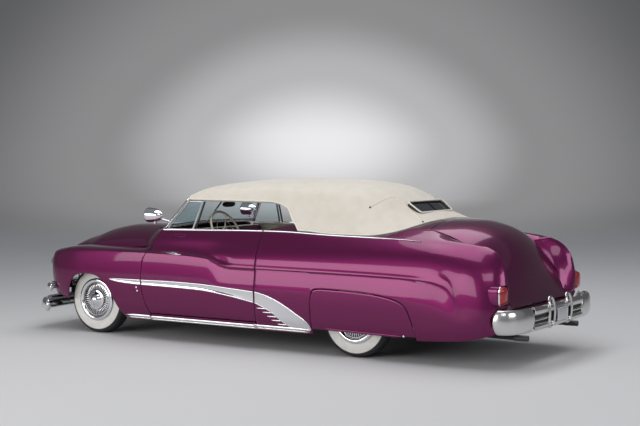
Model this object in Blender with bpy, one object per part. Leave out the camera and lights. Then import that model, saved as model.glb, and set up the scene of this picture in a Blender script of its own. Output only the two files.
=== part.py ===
"""Custom coupe of about 1950 with a padded removable top.

Metres. +X is the nose, +Y the car's left side, +Z up. The origin is on the floor, under the middle
of the car. Every body panel is a patch of one body surface, which is lofted across the feature lines
below (rocker, widest line, crest, belt and so on), so neighbouring panels follow each other.
"""
import math

import bmesh
import bpy
import numpy as np
from mathutils import Matrix, Vector

# Driving dimensions
WHEELBASE = 2.997
FRONT_AXLE_X = 1.893
REAR_AXLE_X = FRONT_AXLE_X - WHEELBASE
HALF_TRACK = 0.733
TYRE_RADIUS = 0.335
TYRE_WIDTH = 0.165
RIM_RADIUS = 0.200
WHITEWALL_RADIUS = 0.277
COVER_RADIUS = 0.215
KINGPIN_Y = 0.635
LAMP_X, LAMP_Y, LAMP_Z, LAMP_RADIUS = 2.505, 0.700, 0.665, 0.100

# The shapes below are drawn for these places of the wheels; DOOR_SPAN is the stretch of x that takes
# up a change of wheelbase, and MIDDLE_STRIP the half width that takes up a change of track
DRAWN_REAR_X = -1.104
DRAWN_HALF_TRACK = 0.733
DOOR_SPAN = (-0.700, 0.350)
MIDDLE_STRIP = 0.150

# Facets round a lamp and round a wheel
LAMP_SEGMENTS = 20
WHEEL_SEGMENTS = 24

SEAM = 0.006
FIT = 0.0003
SKIN = 0.012
LID_SKIN = 0.022
PAD = 0.035
GLASS = 0.006

# Panel ends along the car
DOOR_REAR_X = -0.120
COWL_FRONT_X = 1.357
LID_FRONT_X = -1.745
DOOR_BOTTOM_Z = 0.262
LID_BOTTOM_Z = 0.500
LID_HALF = 0.620
LID_SIDE = LID_HALF + 0.005
DOOR_TOP_Y = 0.725
DOOR_FOOT_Y = 0.800

# Joint axes
DOOR_HINGE = (1.150, 0.968, 0.650)
HOOD_HINGE = (COWL_FRONT_X, 0.0, 1.083)
TRUNK_HINGE = (LID_FRONT_X, 0.0, 1.216)

# Hinge post inside each front door gap, and the leaves of the hinges
POST_X = (1.198, 1.230)
POST_Y = (0.704, 0.738)
LEAF_Z = 0.800
HINGE_LEAF = 0.008
HOOD_LEAF_Y = 0.200
LID_LEAF_Y = 0.300

# The hood's rear corners swing forward as it opens, so there its edge starts this share up its side
HOOD_CORNER_LIFT = 0.007

# How far up the windshield pillar the spotlight's stem sits
SPOT_FOOT_SHARE = 0.20

# Feature lines of the left side. A knot is (s, y, z) where the line runs straight and x equals s,
# and (s, x, y, z) round the nose and round the tail. Named from the rocker up to the belt.
ROCKER = [
    (-2.80, -2.510, LID_SIDE, 0.320), (-2.65, -2.495, 0.740, 0.315), (-2.50, -2.450, 0.830, 0.300),
    (-2.35, -2.345, 0.885, 0.270), (-2.20, 0.905, 0.240), (-1.80, 0.912, 0.212), (-0.90, 0.905, 0.195),
    (-0.60, 0.890, 0.187), (0.50, 0.885, 0.180), (1.30, 0.890, 0.186), (1.60, 0.905, 0.205),
    (2.00, 0.915, 0.280), (2.20, 0.905, 0.345), (2.35, 2.335, 0.880, 0.375), (2.50, 2.430, 0.820, 0.395),
    (2.65, 2.475, 0.735, 0.400), (2.80, 2.487, 0.630, 0.400), (2.95, 2.490, 0.520, 0.400)]
LOWER = [
    (-2.80, -2.528, LID_SIDE, 0.390), (-2.65, -2.513, 0.750, 0.385), (-2.50, -2.463, 0.848, 0.365),
    (-2.35, -2.358, 0.908, 0.345), (-2.20, 0.930, 0.320), (-1.80, 0.940, 0.310), (-0.60, 0.940, 0.320),
    (1.30, 0.940, 0.330), (2.00, 0.938, 0.390), (2.20, 0.925, 0.430), (2.35, 2.342, 0.900, 0.460),
    (2.50, 2.443, 0.842, 0.480), (2.65, 2.494, 0.750, 0.485), (2.80, 2.508, 0.635, 0.485),
    (2.95, 2.511, 0.520, 0.485)]
WIDEST = [
    (-2.80, -2.531, LID_SIDE, 0.470), (-2.65, -2.517, 0.757, 0.460), (-2.50, -2.470, 0.856, 0.435),
    (-2.35, -2.366, 0.915, 0.405), (-2.20, 0.940, 0.400), (-1.95, 0.952, 0.470), (-1.60, 0.960, 0.530),
    (-0.60, 0.960, 0.540), (1.20, 0.958, 0.550), (2.00, 0.953, 0.590), (2.20, 0.940, 0.620),
    (2.35, 2.346, 0.915, 0.635), (2.50, 2.450, 0.855, 0.645), (2.65, 2.508, 0.760, 0.650),
    (2.80, 2.522, 0.640, 0.650), (2.95, 2.525, 0.520, 0.650)]
CREST = [
    (-2.80, -2.525, LID_SIDE, 0.560), (-2.65, -2.511, 0.757, 0.545), (-2.50, -2.466, 0.856, 0.510),
    (-2.35, -2.366, 0.914, 0.465), (-2.20, 0.938, 0.470), (-2.155, 0.941, 0.530), (-2.118, 0.943, 0.605),
    (-2.05, 0.945, 0.680), (-1.90, 0.950, 0.727), (-1.60, 0.954, 0.745), (-1.00, 0.956, 0.752),
    (0.15, 0.954, 0.755), (0.26, 0.951, 0.770), (0.36, 0.947, 0.802), (0.50, 0.945, 0.822),
    (0.80, 0.944, 0.836), (1.20, 0.943, 0.840), (1.60, 0.940, 0.838), (2.00, 0.933, 0.828),
    (2.20, 0.917, 0.812), (2.35, 2.330, 0.892, 0.800), (2.50, 2.428, 0.835, 0.790),
    (2.65, 2.482, 0.748, 0.785), (2.80, 2.497, 0.635, 0.785), (2.95, 2.500, 0.520, 0.785)]
CAP = [
    (-2.80, -2.508, LID_SIDE, 0.660), (-2.65, -2.495, 0.754, 0.650), (-2.50, -2.452, 0.850, 0.620),
    (-2.35, -2.358, 0.908, 0.600), (-2.20, 0.932, 0.610), (-2.05, 0.940, 0.735), (-1.90, 0.944, 0.765),
    (-1.00, 0.948, 0.785), (0.10, 0.946, 0.790), (0.30, 0.925, 0.812), (0.50, 0.910, 0.848),
    (0.80, 0.902, 0.860), (1.15, 0.898, 0.863), (1.40, 0.885, 0.867), (2.00, 0.880, 0.862),
    (2.20, 0.862, 0.850), (2.35, 2.290, 0.835, 0.838), (2.50, 2.375, 0.785, 0.830),
    (2.65, 2.425, 0.715, 0.826), (2.80, 2.440, 0.620, 0.826), (2.95, 2.443, 0.520, 0.824)]
SHELF = [
    (-2.80, -2.480, LID_SIDE, 0.775), (-2.65, -2.466, 0.748, 0.760), (-2.50, -2.425, 0.838, 0.735),
    (-2.35, -2.340, 0.897, 0.715), (-2.20, 0.922, 0.720), (-1.90, 0.934, 0.820), (-1.00, 0.935, 0.845),
    (0.10, 0.932, 0.845), (0.50, 0.895, 0.868), (0.80, 0.888, 0.876), (1.15, 0.884, 0.878),
    (1.40, 0.760, 0.872), (1.60, 0.745, 0.876), (2.00, 0.740, 0.875), (2.20, 0.725, 0.864),
    (2.35, 2.240, 0.700, 0.858), (2.50, 2.300, 0.670, 0.853), (2.65, 2.345, 0.630, 0.850),
    (2.80, 2.362, 0.575, 0.848), (2.95, 2.368, 0.518, 0.846)]
STEP = [
    (-2.80, -2.440, LID_SIDE, 0.870), (-2.65, -2.426, 0.736, 0.857), (-2.50, -2.388, 0.820, 0.838),
    (-2.35, -2.312, 0.876, 0.820), (-2.20, 0.902, 0.825), (-1.90, 0.910, 0.905), (-1.00, 0.905, 0.930),
    (0.10, 0.895, 0.930), (0.50, 0.878, 0.910), (0.80, 0.875, 0.900), (1.10, 0.873, 0.900),
    (1.20, 0.835, 0.895), (1.34, 0.660, 0.870), (1.46, 0.610, 0.862), (1.80, 0.600, 0.866),
    (2.10, 0.597, 0.862), (2.20, 0.585, 0.857), (2.35, 2.215, 0.565, 0.855), (2.50, 2.240, 0.548, 0.853),
    (2.65, 2.262, 0.534, 0.851), (2.80, 2.280, 0.524, 0.849), (2.95, 2.295, 0.516, 0.847)]
UPPER = [
    (-2.80, -2.385, LID_SIDE, 0.945), (-2.65, -2.372, 0.715, 0.935), (-2.50, -2.342, 0.786, 0.924),
    (-2.35, -2.282, 0.838, 0.915), (-2.20, 0.860, 0.925), (-1.90, 0.868, 0.985), (-1.00, 0.860, 1.005),
    (0.10, 0.855, 1.005), (0.80, 0.845, 0.985), (1.15, 0.840, 0.975)]
BELT = [
    (-2.80, -2.330, LID_SIDE, 0.990), (-2.65, -2.320, 0.680, 0.987), (-2.50, -2.298, 0.730, 0.986),
    (-2.35, -2.255, 0.772, 0.988), (-2.20, 0.790, 1.003), (-2.00, 0.797, 1.028), (-1.80, 0.800, 1.045),
    (-1.50, 0.801, 1.060), (-0.85, 0.801, 1.070), (-0.30, 0.801, 1.086), (0.10, 0.801, 1.082),
    (0.60, 0.801, 1.070), (1.15, 0.796, 1.058)]
LEDGE = [
    (-2.80, -2.318, LID_SIDE, 1.000), (-2.50, -2.275, 0.690, 1.015), (-2.20, 0.745, 1.030),
    (-2.00, 0.752, 1.055), (-1.80, 0.755, 1.073), (-1.50, 0.755, 1.088), (-0.10, 0.755, 1.088)]
LID_EDGE = [
    (-2.80, -2.300, LID_SIDE, 1.010), (-2.50, -2.250, LID_SIDE, 1.040), (-2.20, LID_SIDE, 1.070),
    (-2.00, LID_SIDE, 1.108), (-1.75, LID_SIDE, 1.140), (-1.50, LID_SIDE, 1.150),
    (-0.10, LID_SIDE, 1.150)]
SIDE = [ROCKER, LOWER, WIDEST, CREST, CAP, SHELF, STEP, UPPER, BELT, LEDGE, LID_EDGE]
K_CREST, K_STEP, K_BELT = 3, 6, 8

# Centreline of hood and deck, as (s, x, z)
HOOD_CENTRE = [
    (1.00, 1.00, 1.086), (1.36, 1.36, 1.082), (1.87, 1.87, 1.069), (2.14, 2.14, 1.035),
    (2.28, 2.28, 1.000), (2.42, 2.41, 0.957), (2.55, 2.510, 0.905), (2.65, 2.565, 0.850),
    (2.74, 2.582, 0.795), (2.80, 2.578, 0.745)]
HOOD_EDGE = [
    (1.00, 1.00, 0.873, 0.900), (1.10, 1.10, 0.873, 0.900), (1.20, 1.20, 0.835, 0.895),
    (1.34, 1.34, 0.660, 0.870), (1.46, 1.46, 0.610, 0.862), (1.80, 1.80, 0.600, 0.866),
    (2.10, 2.10, 0.597, 0.862), (2.30, 2.28, 0.530, 0.858), (2.45, 2.39, 0.512, 0.848),
    (2.60, 2.465, 0.505, 0.826), (2.72, 2.505, 0.500, 0.790), (2.80, 2.515, 0.498, 0.745)]
DECK_CENTRE = [
    (0.00, -1.000, 1.190), (0.25, -1.400, 1.208), (0.42, -1.745, 1.214), (0.50, -1.930, 1.206),
    (0.58, -2.090, 1.170), (0.66, -2.235, 1.110), (0.73, -2.345, 1.022), (0.79, -2.415, 0.920),
    (0.85, -2.462, 0.800), (0.91, -2.495, 0.680), (0.96, -2.517, 0.570), (1.00, -2.530, 0.480)]
DECK_SIDE = [
    (0.00, -1.000, 1.130), (0.25, -1.400, 1.150), (0.42, -1.745, 1.140), (0.50, -1.930, 1.119),
    (0.58, -2.080, 1.092), (0.66, -2.210, 1.060), (0.73, -2.310, 0.998), (0.79, -2.385, 0.940),
    (0.85, -2.450, 0.845), (0.91, -2.490, 0.730), (0.96, -2.517, 0.600), (1.00, -2.530, 0.480)]

# The padded top: centreline and side wall, as (s, x, z) and (s, x, y, z)
ROOF_CENTRE = [
    (0.845, 0.860, 1.415), (0.80, 0.812, 1.462), (0.70, 0.70, 1.502), (0.50, 0.50, 1.527),
    (0.20, 0.20, 1.549), (-0.35, -0.35, 1.560), (-0.70, -0.70, 1.553), (-1.00, -0.92, 1.538),
    (-1.30, -1.02, 1.518), (-1.60, -1.08, 1.502), (-2.00, -1.10, 1.496)]
ROOF_SHOULDER = [
    (0.845, 0.866, 0.340, 1.408), (0.80, 0.816, 0.345, 1.450), (0.70, 0.70, 0.355, 1.482),
    (0.20, 0.20, 0.370, 1.520), (-0.35, -0.35, 0.375, 1.530), (-0.80, -0.80, 0.370, 1.520),
    (-1.05, -1.04, 0.330, 1.490), (-1.30, -1.17, 0.220, 1.468), (-1.60, -1.22, 0.120, 1.462),
    (-2.00, -1.24, 0.000, 1.460)]
ROOF_EDGE = [
    (0.845, 0.872, 0.560, 1.392), (0.80, 0.824, 0.565, 1.416), (0.70, 0.70, 0.575, 1.432),
    (0.20, 0.20, 0.590, 1.455), (-0.35, -0.35, 0.600, 1.462), (-0.80, -0.80, 0.590, 1.450),
    (-1.05, -1.08, 0.530, 1.415), (-1.30, -1.26, 0.370, 1.390), (-1.60, -1.34, 0.200, 1.380),
    (-2.00, -1.36, 0.000, 1.378)]
CANT = [
    (0.845, 0.876, 0.618, 1.358), (0.70, 0.70, 0.635, 1.362), (0.20, 0.20, 0.650, 1.365),
    (-0.35, -0.35, 0.662, 1.360), (-0.80, -0.80, 0.660, 1.345), (-1.05, -1.10, 0.615, 1.315),
    (-1.30, -1.33, 0.470, 1.290), (-1.60, -1.46, 0.270, 1.280), (-2.00, -1.49, 0.000, 1.278)]
TOP_WALL = [
    (0.845, 0.855, 0.700, 1.210), (0.20, 0.20, 0.725, 1.215), (-0.80, -0.80, 0.728, 1.205),
    (-1.05, -1.14, 0.700, 1.190), (-1.30, -1.40, 0.590, 1.200), (-1.60, -1.56, 0.340, 1.233),
    (-2.00, -1.590, 0.000, 1.246)]
TOP_HEM = [
    (0.845, 0.855, 0.780, 1.062), (0.20, 0.20, 0.788, 1.078), (-0.30, -0.30, 0.787, 1.105),
    (-0.60, -0.60, 0.787, 1.103), (-0.80, -0.80, 0.787, 1.086), (-1.05, -1.18, 0.776, 1.083),
    (-1.30, -1.45, 0.690, 1.122), (-1.60, -1.625, 0.400, 1.198), (-2.00, -1.662, 0.000, 1.218)]
TOP_LINES = [TOP_HEM, TOP_WALL, CANT, ROOF_EDGE, ROOF_SHOULDER, ROOF_CENTRE]
TOP_FRONT_S, TOP_REAR_S = 0.845, -2.00

# Side window opening in the top: height of its upper edge along x
WINDOW_TOP = [
    (-0.495, 1.000), (-0.480, 1.125), (-0.435, 1.182), (-0.400, 1.228), (-0.326, 1.298),
    (-0.215, 1.337), (-0.100, 1.352), (0.855, 1.356)]

# Front edge of the fixed deck behind the hem: along v beside the lid, and against y between
DECK_HEM = [(8.0, -1.200), (8.5, -1.300), (9.0, -1.390), (9.5, -1.490), (10.0, -1.562)]
DECK_FRONT = [(0.0, 0.388), (0.20, 0.385), (0.42, 0.372), (LID_HALF, 0.332)]

# Front edge of the door, and wheel openings, as seen from the side
DOOR_FRONT = [
    (0.200, 1.100), (0.264, 1.118), (0.358, 1.161), (0.481, 1.197), (0.568, 1.207), (0.752, 1.190),
    (0.842, 1.150), (0.900, 1.128), (0.985, 1.100), (1.070, 1.070)]
FRONT_ARCH = [
    (1.405, 0.180), (1.47, 0.232), (1.52, 0.300), (1.57, 0.385), (1.62, 0.468), (1.70, 0.550),
    (1.78, 0.592), (1.88, 0.608), (1.98, 0.604), (2.06, 0.580), (2.12, 0.530), (2.155, 0.460),
    (2.172, 0.390), (2.180, 0.330)]
SKIRT_ARCH = [
    (-1.780, 0.180), (-1.755, 0.320), (-1.725, 0.415), (-1.690, 0.490), (-1.630, 0.535),
    (-1.520, 0.568), (-1.384, 0.588), (-1.200, 0.600), (-1.033, 0.606), (-0.850, 0.608),
    (-0.770, 0.600), (-0.735, 0.570), (-0.722, 0.500), (-0.716, 0.180)]
SKIRT_BOTTOM_Z = 0.240


def clear_scene():
    for obj in list(bpy.data.objects):
        bpy.data.objects.remove(obj, do_unlink=True)


# Curves

def monotone(knots, values, t):
    """Smooth curve through the knots that never swings past them."""
    k = np.asarray(knots, float)
    v = np.asarray(values, float).reshape(len(k), -1)
    t = np.atleast_1d(np.asarray(t, float))
    h = np.diff(k)[:, None]
    d = np.diff(v, axis=0) / h
    slope = np.zeros_like(v)
    slope[0], slope[-1] = d[0], d[-1]
    w1 = 2 * h[1:] + h[:-1]
    w2 = h[1:] + 2 * h[:-1]
    same = d[:-1] * d[1:] > 0
    safe_a = np.where(same, d[:-1], 1.0)
    safe_b = np.where(same, d[1:], 1.0)
    slope[1:-1] = np.where(same, (w1 + w2) / (w1 / safe_a + w2 / safe_b), 0.0)
    i = np.clip(np.searchsorted(k, t, side="right") - 1, 0, len(k) - 2)
    u = np.clip((t - k[i]) / (k[i + 1] - k[i]), 0.0, 1.0)[:, None]
    step = h[i]
    return ((2 * u**3 - 3 * u**2 + 1) * v[i] + (u**3 - 2 * u**2 + u) * step * slope[i]
            + (-2 * u**3 + 3 * u**2) * v[i + 1] + (u**3 - u**2) * step * slope[i + 1])


def profile_at(table, t):
    """One value of a two-column table at t."""
    return float(monotone([row[0] for row in table], [row[1] for row in table], t)[0, 0])


def feature(line, s):
    """Point of a feature line of the side at s."""
    knots = [row[0] for row in line]
    points = [row[1:] if len(row) == 4 else (row[0], row[1], row[2]) for row in line]
    return monotone(knots, points, s)[0]


def along(points, v):
    """Point at v, counted in points, on a smooth curve through the points."""
    points = np.asarray(points, float)
    chord = np.concatenate([[0.0], np.cumsum(np.linalg.norm(np.diff(points, axis=0), axis=1) + 1e-6)])
    t = np.interp(v, range(len(points)), chord)
    return monotone(chord, points, t)


def lower_edge(s):
    """Height at which the body side ends at s: the rocker, or a wheel opening."""
    if FRONT_ARCH[0][0] < s < FRONT_ARCH[-1][0]:
        return profile_at(FRONT_ARCH, s)
    if SKIRT_ARCH[0][0] < s < SKIRT_ARCH[-1][0]:
        return profile_at(SKIRT_ARCH, s)
    return 0.0


def side_point(s, v, floor_z=None):
    """Point of the left body side; below the crest, v is squeezed above the opening's edge."""
    points = [feature(line, s) for line in SIDE[:K_STEP + 1]] if s > 1.15 else [
        feature(line, s) for line in SIDE]
    limit = lower_edge(s) if floor_z is None else floor_z
    if v < K_CREST and points[0][2] < limit:
        fine = np.linspace(0, K_CREST, 61)
        heights = along(points, fine)[:, 2]
        start = float(np.interp(limit, heights, fine))
        v = start + v * (1 - start / K_CREST)
    return along(points, v)[0]


def hood_point(s, w):
    """Point of hood and cowl; w is 0 on the edge and 1 on the centreline."""
    edge = monotone([r[0] for r in HOOD_EDGE], [r[1:] for r in HOOD_EDGE], s)[0]
    mid = monotone([r[0] for r in HOOD_CENTRE], [r[1:] for r in HOOD_CENTRE], s)[0]
    round_off = profile_at([(1.00, 9.0), (1.12, 8.0), (1.45, 2.5), (2.80, 2.3)], s)
    y = 1 - w
    rise = (1 - y**round_off)**0.78
    x = edge[0] + (mid[0] - edge[0]) * (1 - y**2)
    return np.array([x, edge[1] * y, edge[2] + (mid[1] - edge[2]) * rise])


def deck_point(s, y):
    """Point of deck and trunk lid between the centreline and the lid's edge."""
    side = monotone([r[0] for r in DECK_SIDE], [r[1:] for r in DECK_SIDE], s)[0]
    mid = monotone([r[0] for r in DECK_CENTRE], [r[1:] for r in DECK_CENTRE], s)[0]
    share = 1 - abs(y / LID_HALF)**2.3
    return np.array([side[0] + (mid[0] - side[0]) * share, y, side[1] + (mid[1] - side[1]) * share])


def top_point(s, v):
    """Point of the padded top's outside; v runs from the hem up to the centreline."""
    points = []
    for line in TOP_LINES:
        p = monotone([-row[0] for row in line], [row[1:] for row in line], -s)[0]
        points.append(p if len(p) == 3 else np.array([p[0], 0.0, p[1]]))
    x = points[0][0]
    if WINDOW_TOP[0][0] < x and v < 3:
        limit = profile_at(WINDOW_TOP, min(x, WINDOW_TOP[-1][0]))
        fine = np.linspace(0, 3, 61)
        heights = along(points, fine)[:, 2]
        if limit > heights[0]:
            start = float(np.interp(limit, heights, fine))
            v = start + v * (1 - start / 3)
    return along(points, v)[0]


# Meshes

def material(name, colour, roughness, metallic=0.0):
    mat = bpy.data.materials.get(name) or bpy.data.materials.new(name)
    mat.use_nodes = True
    shader = mat.node_tree.nodes["Principled BSDF"]
    shader.inputs["Base Color"].default_value = (*colour, 1.0)
    shader.inputs["Roughness"].default_value = roughness
    shader.inputs["Metallic"].default_value = metallic
    return mat


def paint():
    return material("magenta_paint", (0.22, 0.02, 0.12), 0.25, 0.5)


def chrome():
    return material("chrome", (0.80, 0.80, 0.82), 0.12, 1.0)


def black_steel():
    return material("black_steel", (0.03, 0.03, 0.035), 0.5)


def canvas():
    return material("cream_canvas", (0.75, 0.70, 0.62), 0.9)


def glass():
    return material("clear_glass", (0.55, 0.65, 0.66), 0.05)


def rubber():
    return material("tyre_rubber", (0.03, 0.03, 0.03), 0.8)


def leather():
    return material("cream_leather", (0.72, 0.66, 0.56), 0.6)


def red_lens():
    return material("red_lens", (0.5, 0.02, 0.02), 0.15)


def make_object(name, bm, mat):
    bmesh.ops.remove_doubles(bm, verts=bm.verts, dist=0.00005)
    bmesh.ops.recalc_face_normals(bm, faces=bm.faces)
    mesh = bpy.data.meshes.new(name)
    bm.to_mesh(mesh)
    bm.free()
    obj = bpy.data.objects.new(name, mesh)
    bpy.context.scene.collection.objects.link(obj)
    mesh.materials.append(mat)
    mesh.shade_smooth()
    mesh.set_sharp_from_angle(angle=math.radians(35))
    return obj


def grid_faces(bm, grid, keep=None):
    """Quads over a grid of points; keep(i, j) leaves faces out."""
    verts = [[bm.verts.new(p) for p in row] for row in grid]
    for i in range(len(grid) - 1):
        for j in range(len(grid[0]) - 1):
            if keep is None or keep(i, j):
                bm.faces.new((verts[i][j], verts[i + 1][j], verts[i + 1][j + 1], verts[i][j + 1]))
    for vert in [v for v in bm.verts if not v.link_faces]:
        bm.verts.remove(vert)
    return verts


def skin(name, grid, thickness, mat, toward, keep=None, grow=0.0):
    """Panel with its outside on the grid and its thickness inwards; grow adds to both faces."""
    bm = bmesh.new()
    grid_faces(bm, grid, keep)
    bmesh.ops.remove_doubles(bm, verts=bm.verts, dist=0.00005)
    bm.normal_update()
    if sum(f.normal.dot(Vector(toward)) * f.calc_area() for f in bm.faces) > 0:
        bmesh.ops.reverse_faces(bm, faces=bm.faces)
    mesh = bpy.data.meshes.new(name)
    bm.to_mesh(mesh)
    bm.free()
    obj = bpy.data.objects.new(name, mesh)
    bpy.context.scene.collection.objects.link(obj)
    mesh.materials.append(mat)
    mesh.shade_smooth()
    solid = obj.modifiers.new("thickness", "SOLIDIFY")
    solid.thickness = thickness + 2 * grow
    solid.offset = 2 * grow / solid.thickness - 1
    solid.use_even_offset = False
    solid.use_quality_normals = True
    return obj


def shell(name, outer, inner, mat):
    """Closed solid between two grids of the same size."""
    bm = bmesh.new()
    a = grid_faces(bm, outer)
    b = grid_faces(bm, inner)
    rows, cols = len(a), len(a[0])
    for i in range(rows - 1):
        bm.faces.new((a[i][0], a[i + 1][0], b[i + 1][0], b[i][0]))
        bm.faces.new((a[i][-1], a[i + 1][-1], b[i + 1][-1], b[i][-1]))
    for j in range(cols - 1):
        bm.faces.new((a[0][j], a[0][j + 1], b[0][j + 1], b[0][j]))
        bm.faces.new((a[-1][j], a[-1][j + 1], b[-1][j + 1], b[-1][j]))
    return make_object(name, bm, mat)


def box(name, low, high, mat):
    bm = bmesh.new()
    bmesh.ops.create_cube(bm, size=1.0)
    for vert in bm.verts:
        for axis in range(3):
            mid = (low[axis] + high[axis]) / 2
            vert.co[axis] = mid + vert.co[axis] * (high[axis] - low[axis])
    return make_object(name, bm, mat)


def side_box(name, sign, low, high, mat=None):
    """Box given for the left side, made on the side of sign."""
    y = sorted((low[1] * sign, high[1] * sign))
    return box(name, (low[0], y[0], low[2]), (high[0], y[1], high[2]), mat or black_steel())


def prism(name, outline, axis, start, end, mat, other=None):
    """Outline in the plane across the axis, drawn out from start to end."""
    def place(p, depth):
        point = [p[0], p[1]]
        point.insert(axis, depth)
        return point
    bm = bmesh.new()
    first = [bm.verts.new(place(p, start)) for p in outline]
    last = [bm.verts.new(place(p, end)) for p in (other or outline)]
    bm.faces.new(first)
    bm.faces.new(last[::-1])
    for i in range(len(outline)):
        j = (i + 1) % len(outline)
        bm.faces.new((first[i], first[j], last[j], last[i]))
    return make_object(name, bm, mat)


def turned(name, profile, centre, axis, mat, segments=32, closed=False):
    """Profile of (radius, depth) points turned round an axis through centre."""
    bm = bmesh.new()
    rings = []
    direction = Vector(axis).normalized()
    turn = Vector((0, 0, 1)).rotation_difference(direction).to_matrix()
    for radius, depth in profile:
        if radius < 1e-6:
            rings.append([bm.verts.new(Vector(centre) + direction * depth)])
            continue
        ring = []
        for i in range(segments):
            a = 2 * math.pi * i / segments
            ring.append(bm.verts.new(Vector(centre) + turn @ Vector(
                (radius * math.cos(a), radius * math.sin(a), depth))))
        rings.append(ring)
    pairs = list(zip(rings, rings[1:]))
    if closed:
        pairs.append((rings[-1], rings[0]))
    for low, high in pairs:
        for i in range(segments):
            j = (i + 1) % segments
            corners = [low[i % len(low)], low[j % len(low)], high[j % len(high)], high[i % len(high)]]
            unique = list(dict.fromkeys(corners))
            if len(unique) > 2:
                bm.faces.new(unique)
    return make_object(name, bm, mat)


def tube(name, points, radius, mat, sides=10, extend=0.0):
    """Round bar along the points, longer by extend at both ends."""
    points = [Vector(p) for p in points]
    first = (points[0] - points[1]).normalized() * extend
    last = (points[-1] - points[-2]).normalized() * extend
    points[0] += first
    points[-1] += last
    bm = bmesh.new()
    rings = []
    normal = None
    for i, point in enumerate(points):
        ahead = points[min(i + 1, len(points) - 1)] - points[max(i - 1, 0)]
        ahead.normalize()
        if normal is None:
            normal = ahead.orthogonal().normalized()
        normal = (normal - ahead * normal.dot(ahead)).normalized()
        side = ahead.cross(normal)
        size = radius[i] if isinstance(radius, (list, tuple)) else radius
        rings.append([bm.verts.new(point + (normal * math.cos(a) + side * math.sin(a)) * size)
                      for a in (2 * math.pi * k / sides for k in range(sides))])
    for low, high in zip(rings, rings[1:]):
        for k in range(sides):
            j = (k + 1) % sides
            bm.faces.new((low[k], low[j], high[j], high[k]))
    bm.faces.new(rings[0][::-1])
    bm.faces.new(rings[-1])
    return make_object(name, bm, mat)


def boolean(obj, other, operation):
    """Join or cut with another object, which is then only a guide."""
    mod = obj.modifiers.new(operation.lower(), "BOOLEAN")
    mod.operation = operation
    mod.solver = "EXACT"
    mod.object = other
    other.hide_render = True
    other.display_type = "WIRE"
    return obj


def join(base, others):
    for other in others:
        boolean(base, other, "UNION")
    return base


def cut(base, others):
    for other in others:
        boolean(base, other, "DIFFERENCE")
    return base


def for_sides(make):
    """Makes a piece for the left and for the right side."""
    return [make("L", 1), make("R", -1)]


def flip(grid, sign):
    return [[(p[0], p[1] * sign, p[2]) for p in row] for row in grid]


# Body panels

def spread(low, high, count):
    return [low + (high - low) * i / (count - 1) for i in range(count)]


SIDE_V = [0, 1, 2, 2.6, 3, 3.4, 4, 5, 6, 7, 8]


def door_edge(v, floor_z=0.0):
    """Where the door's front edge is at v."""
    return profile_at(DOOR_FRONT, side_point(1.149, v, floor_z)[2])


def front_fenders():
    stations = [1.15, 1.25, 1.33, 1.40, 1.47, 1.55, 1.63, 1.73, 1.88, 2.02, 2.11, 2.16, 2.185,
                2.30, 2.42, 2.54, 2.66, 2.80, 2.95]
    columns = [0, 0.5, 1, 1.5] + [v for v in SIDE_V if 2 <= v <= K_STEP]
    grid = []
    for s in stations:
        row = []
        for v in columns:
            fade = max(0.0, 1 - (s - 1.15) / 0.18)
            shift = (door_edge(v) + SEAM - 1.15) * fade
            row.append(side_point(s + shift if fade else s, v))
        grid.append(row)

    def make(side, sign):
        toward = (-0.3, -sign, -0.6)
        panel = skin("front_fender_" + side, flip(grid, sign), SKIN, paint(), toward)
        radius = LAMP_RADIUS + FIT
        lamp = turned("headlamp_hole_" + side, [(0, -0.2), (radius, -0.2), (radius, 0.2), (0, 0.2)],
                      (LAMP_X, LAMP_Y * sign, LAMP_Z), (1, 0, 0), chrome(), LAMP_SEGMENTS)
        cut(panel, [lamp])
        return skin("fender_guide_" + side, flip(grid, sign), SKIN, paint(), toward, grow=FIT)
    return for_sides(make)


def headlamps():
    profile = [(0, -0.060), (0.075, -0.050), (LAMP_RADIUS, -0.020), (LAMP_RADIUS, 0.020), (0.096, 0.040),
               (0.088, 0.048), (0.082, 0.044), (0.078, 0.044), (0.055, 0.055), (0.028, 0.061), (0, 0.063)]
    for_sides(lambda side, sign: turned("headlamp_" + side, profile, (LAMP_X, LAMP_Y * sign, LAMP_Z),
                                        (1, 0, 0), chrome(), LAMP_SEGMENTS))


def hem_x(v):
    """How far forward the quarter panel reaches at v before the hem of the top."""
    return DOOR_REAR_X if v <= K_BELT else profile_at(DECK_HEM, v)


def quarter_panels():
    columns = SIDE_V + [8.5, 9, 10]
    stations = [-2.80, -2.65, -2.50, -2.35, -2.20, -2.15, -2.10, -1.98, -1.785, -1.765, -1.735, -1.690,
                -1.630, -1.52, -1.30, -1.033, -0.85, -0.77, -0.735, -0.720, -0.712, -0.50, -0.30,
                DOOR_REAR_X - SEAM]
    grid = []
    for s in stations:
        grid.append([side_point(min(s, hem_x(v)), v) for v in columns])

    def keep(i, j):
        return columns[j] < K_BELT or stations[i] < hem_x(columns[j]) - FIT

    def make(side, sign):
        toward = (0.3, -sign, -0.4)
        panel = skin("quarter_panel_" + side, flip(grid, sign), SKIN, paint(), toward, keep)
        cut(panel, [tail_holes(side, sign)])
        return skin("quarter_guide_" + side, flip(grid, sign), SKIN, paint(), toward, keep, FIT)
    return for_sides(make)


def side_y(x, z):
    """How far out the left body side is at a place seen from the side."""
    points = [feature(line, x) for line in SIDE]
    fine = np.linspace(0, K_BELT, 161)
    heights = along(points, fine)[:, 2]
    return float(along(points, float(np.interp(z, heights, fine)))[0][1])


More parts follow.
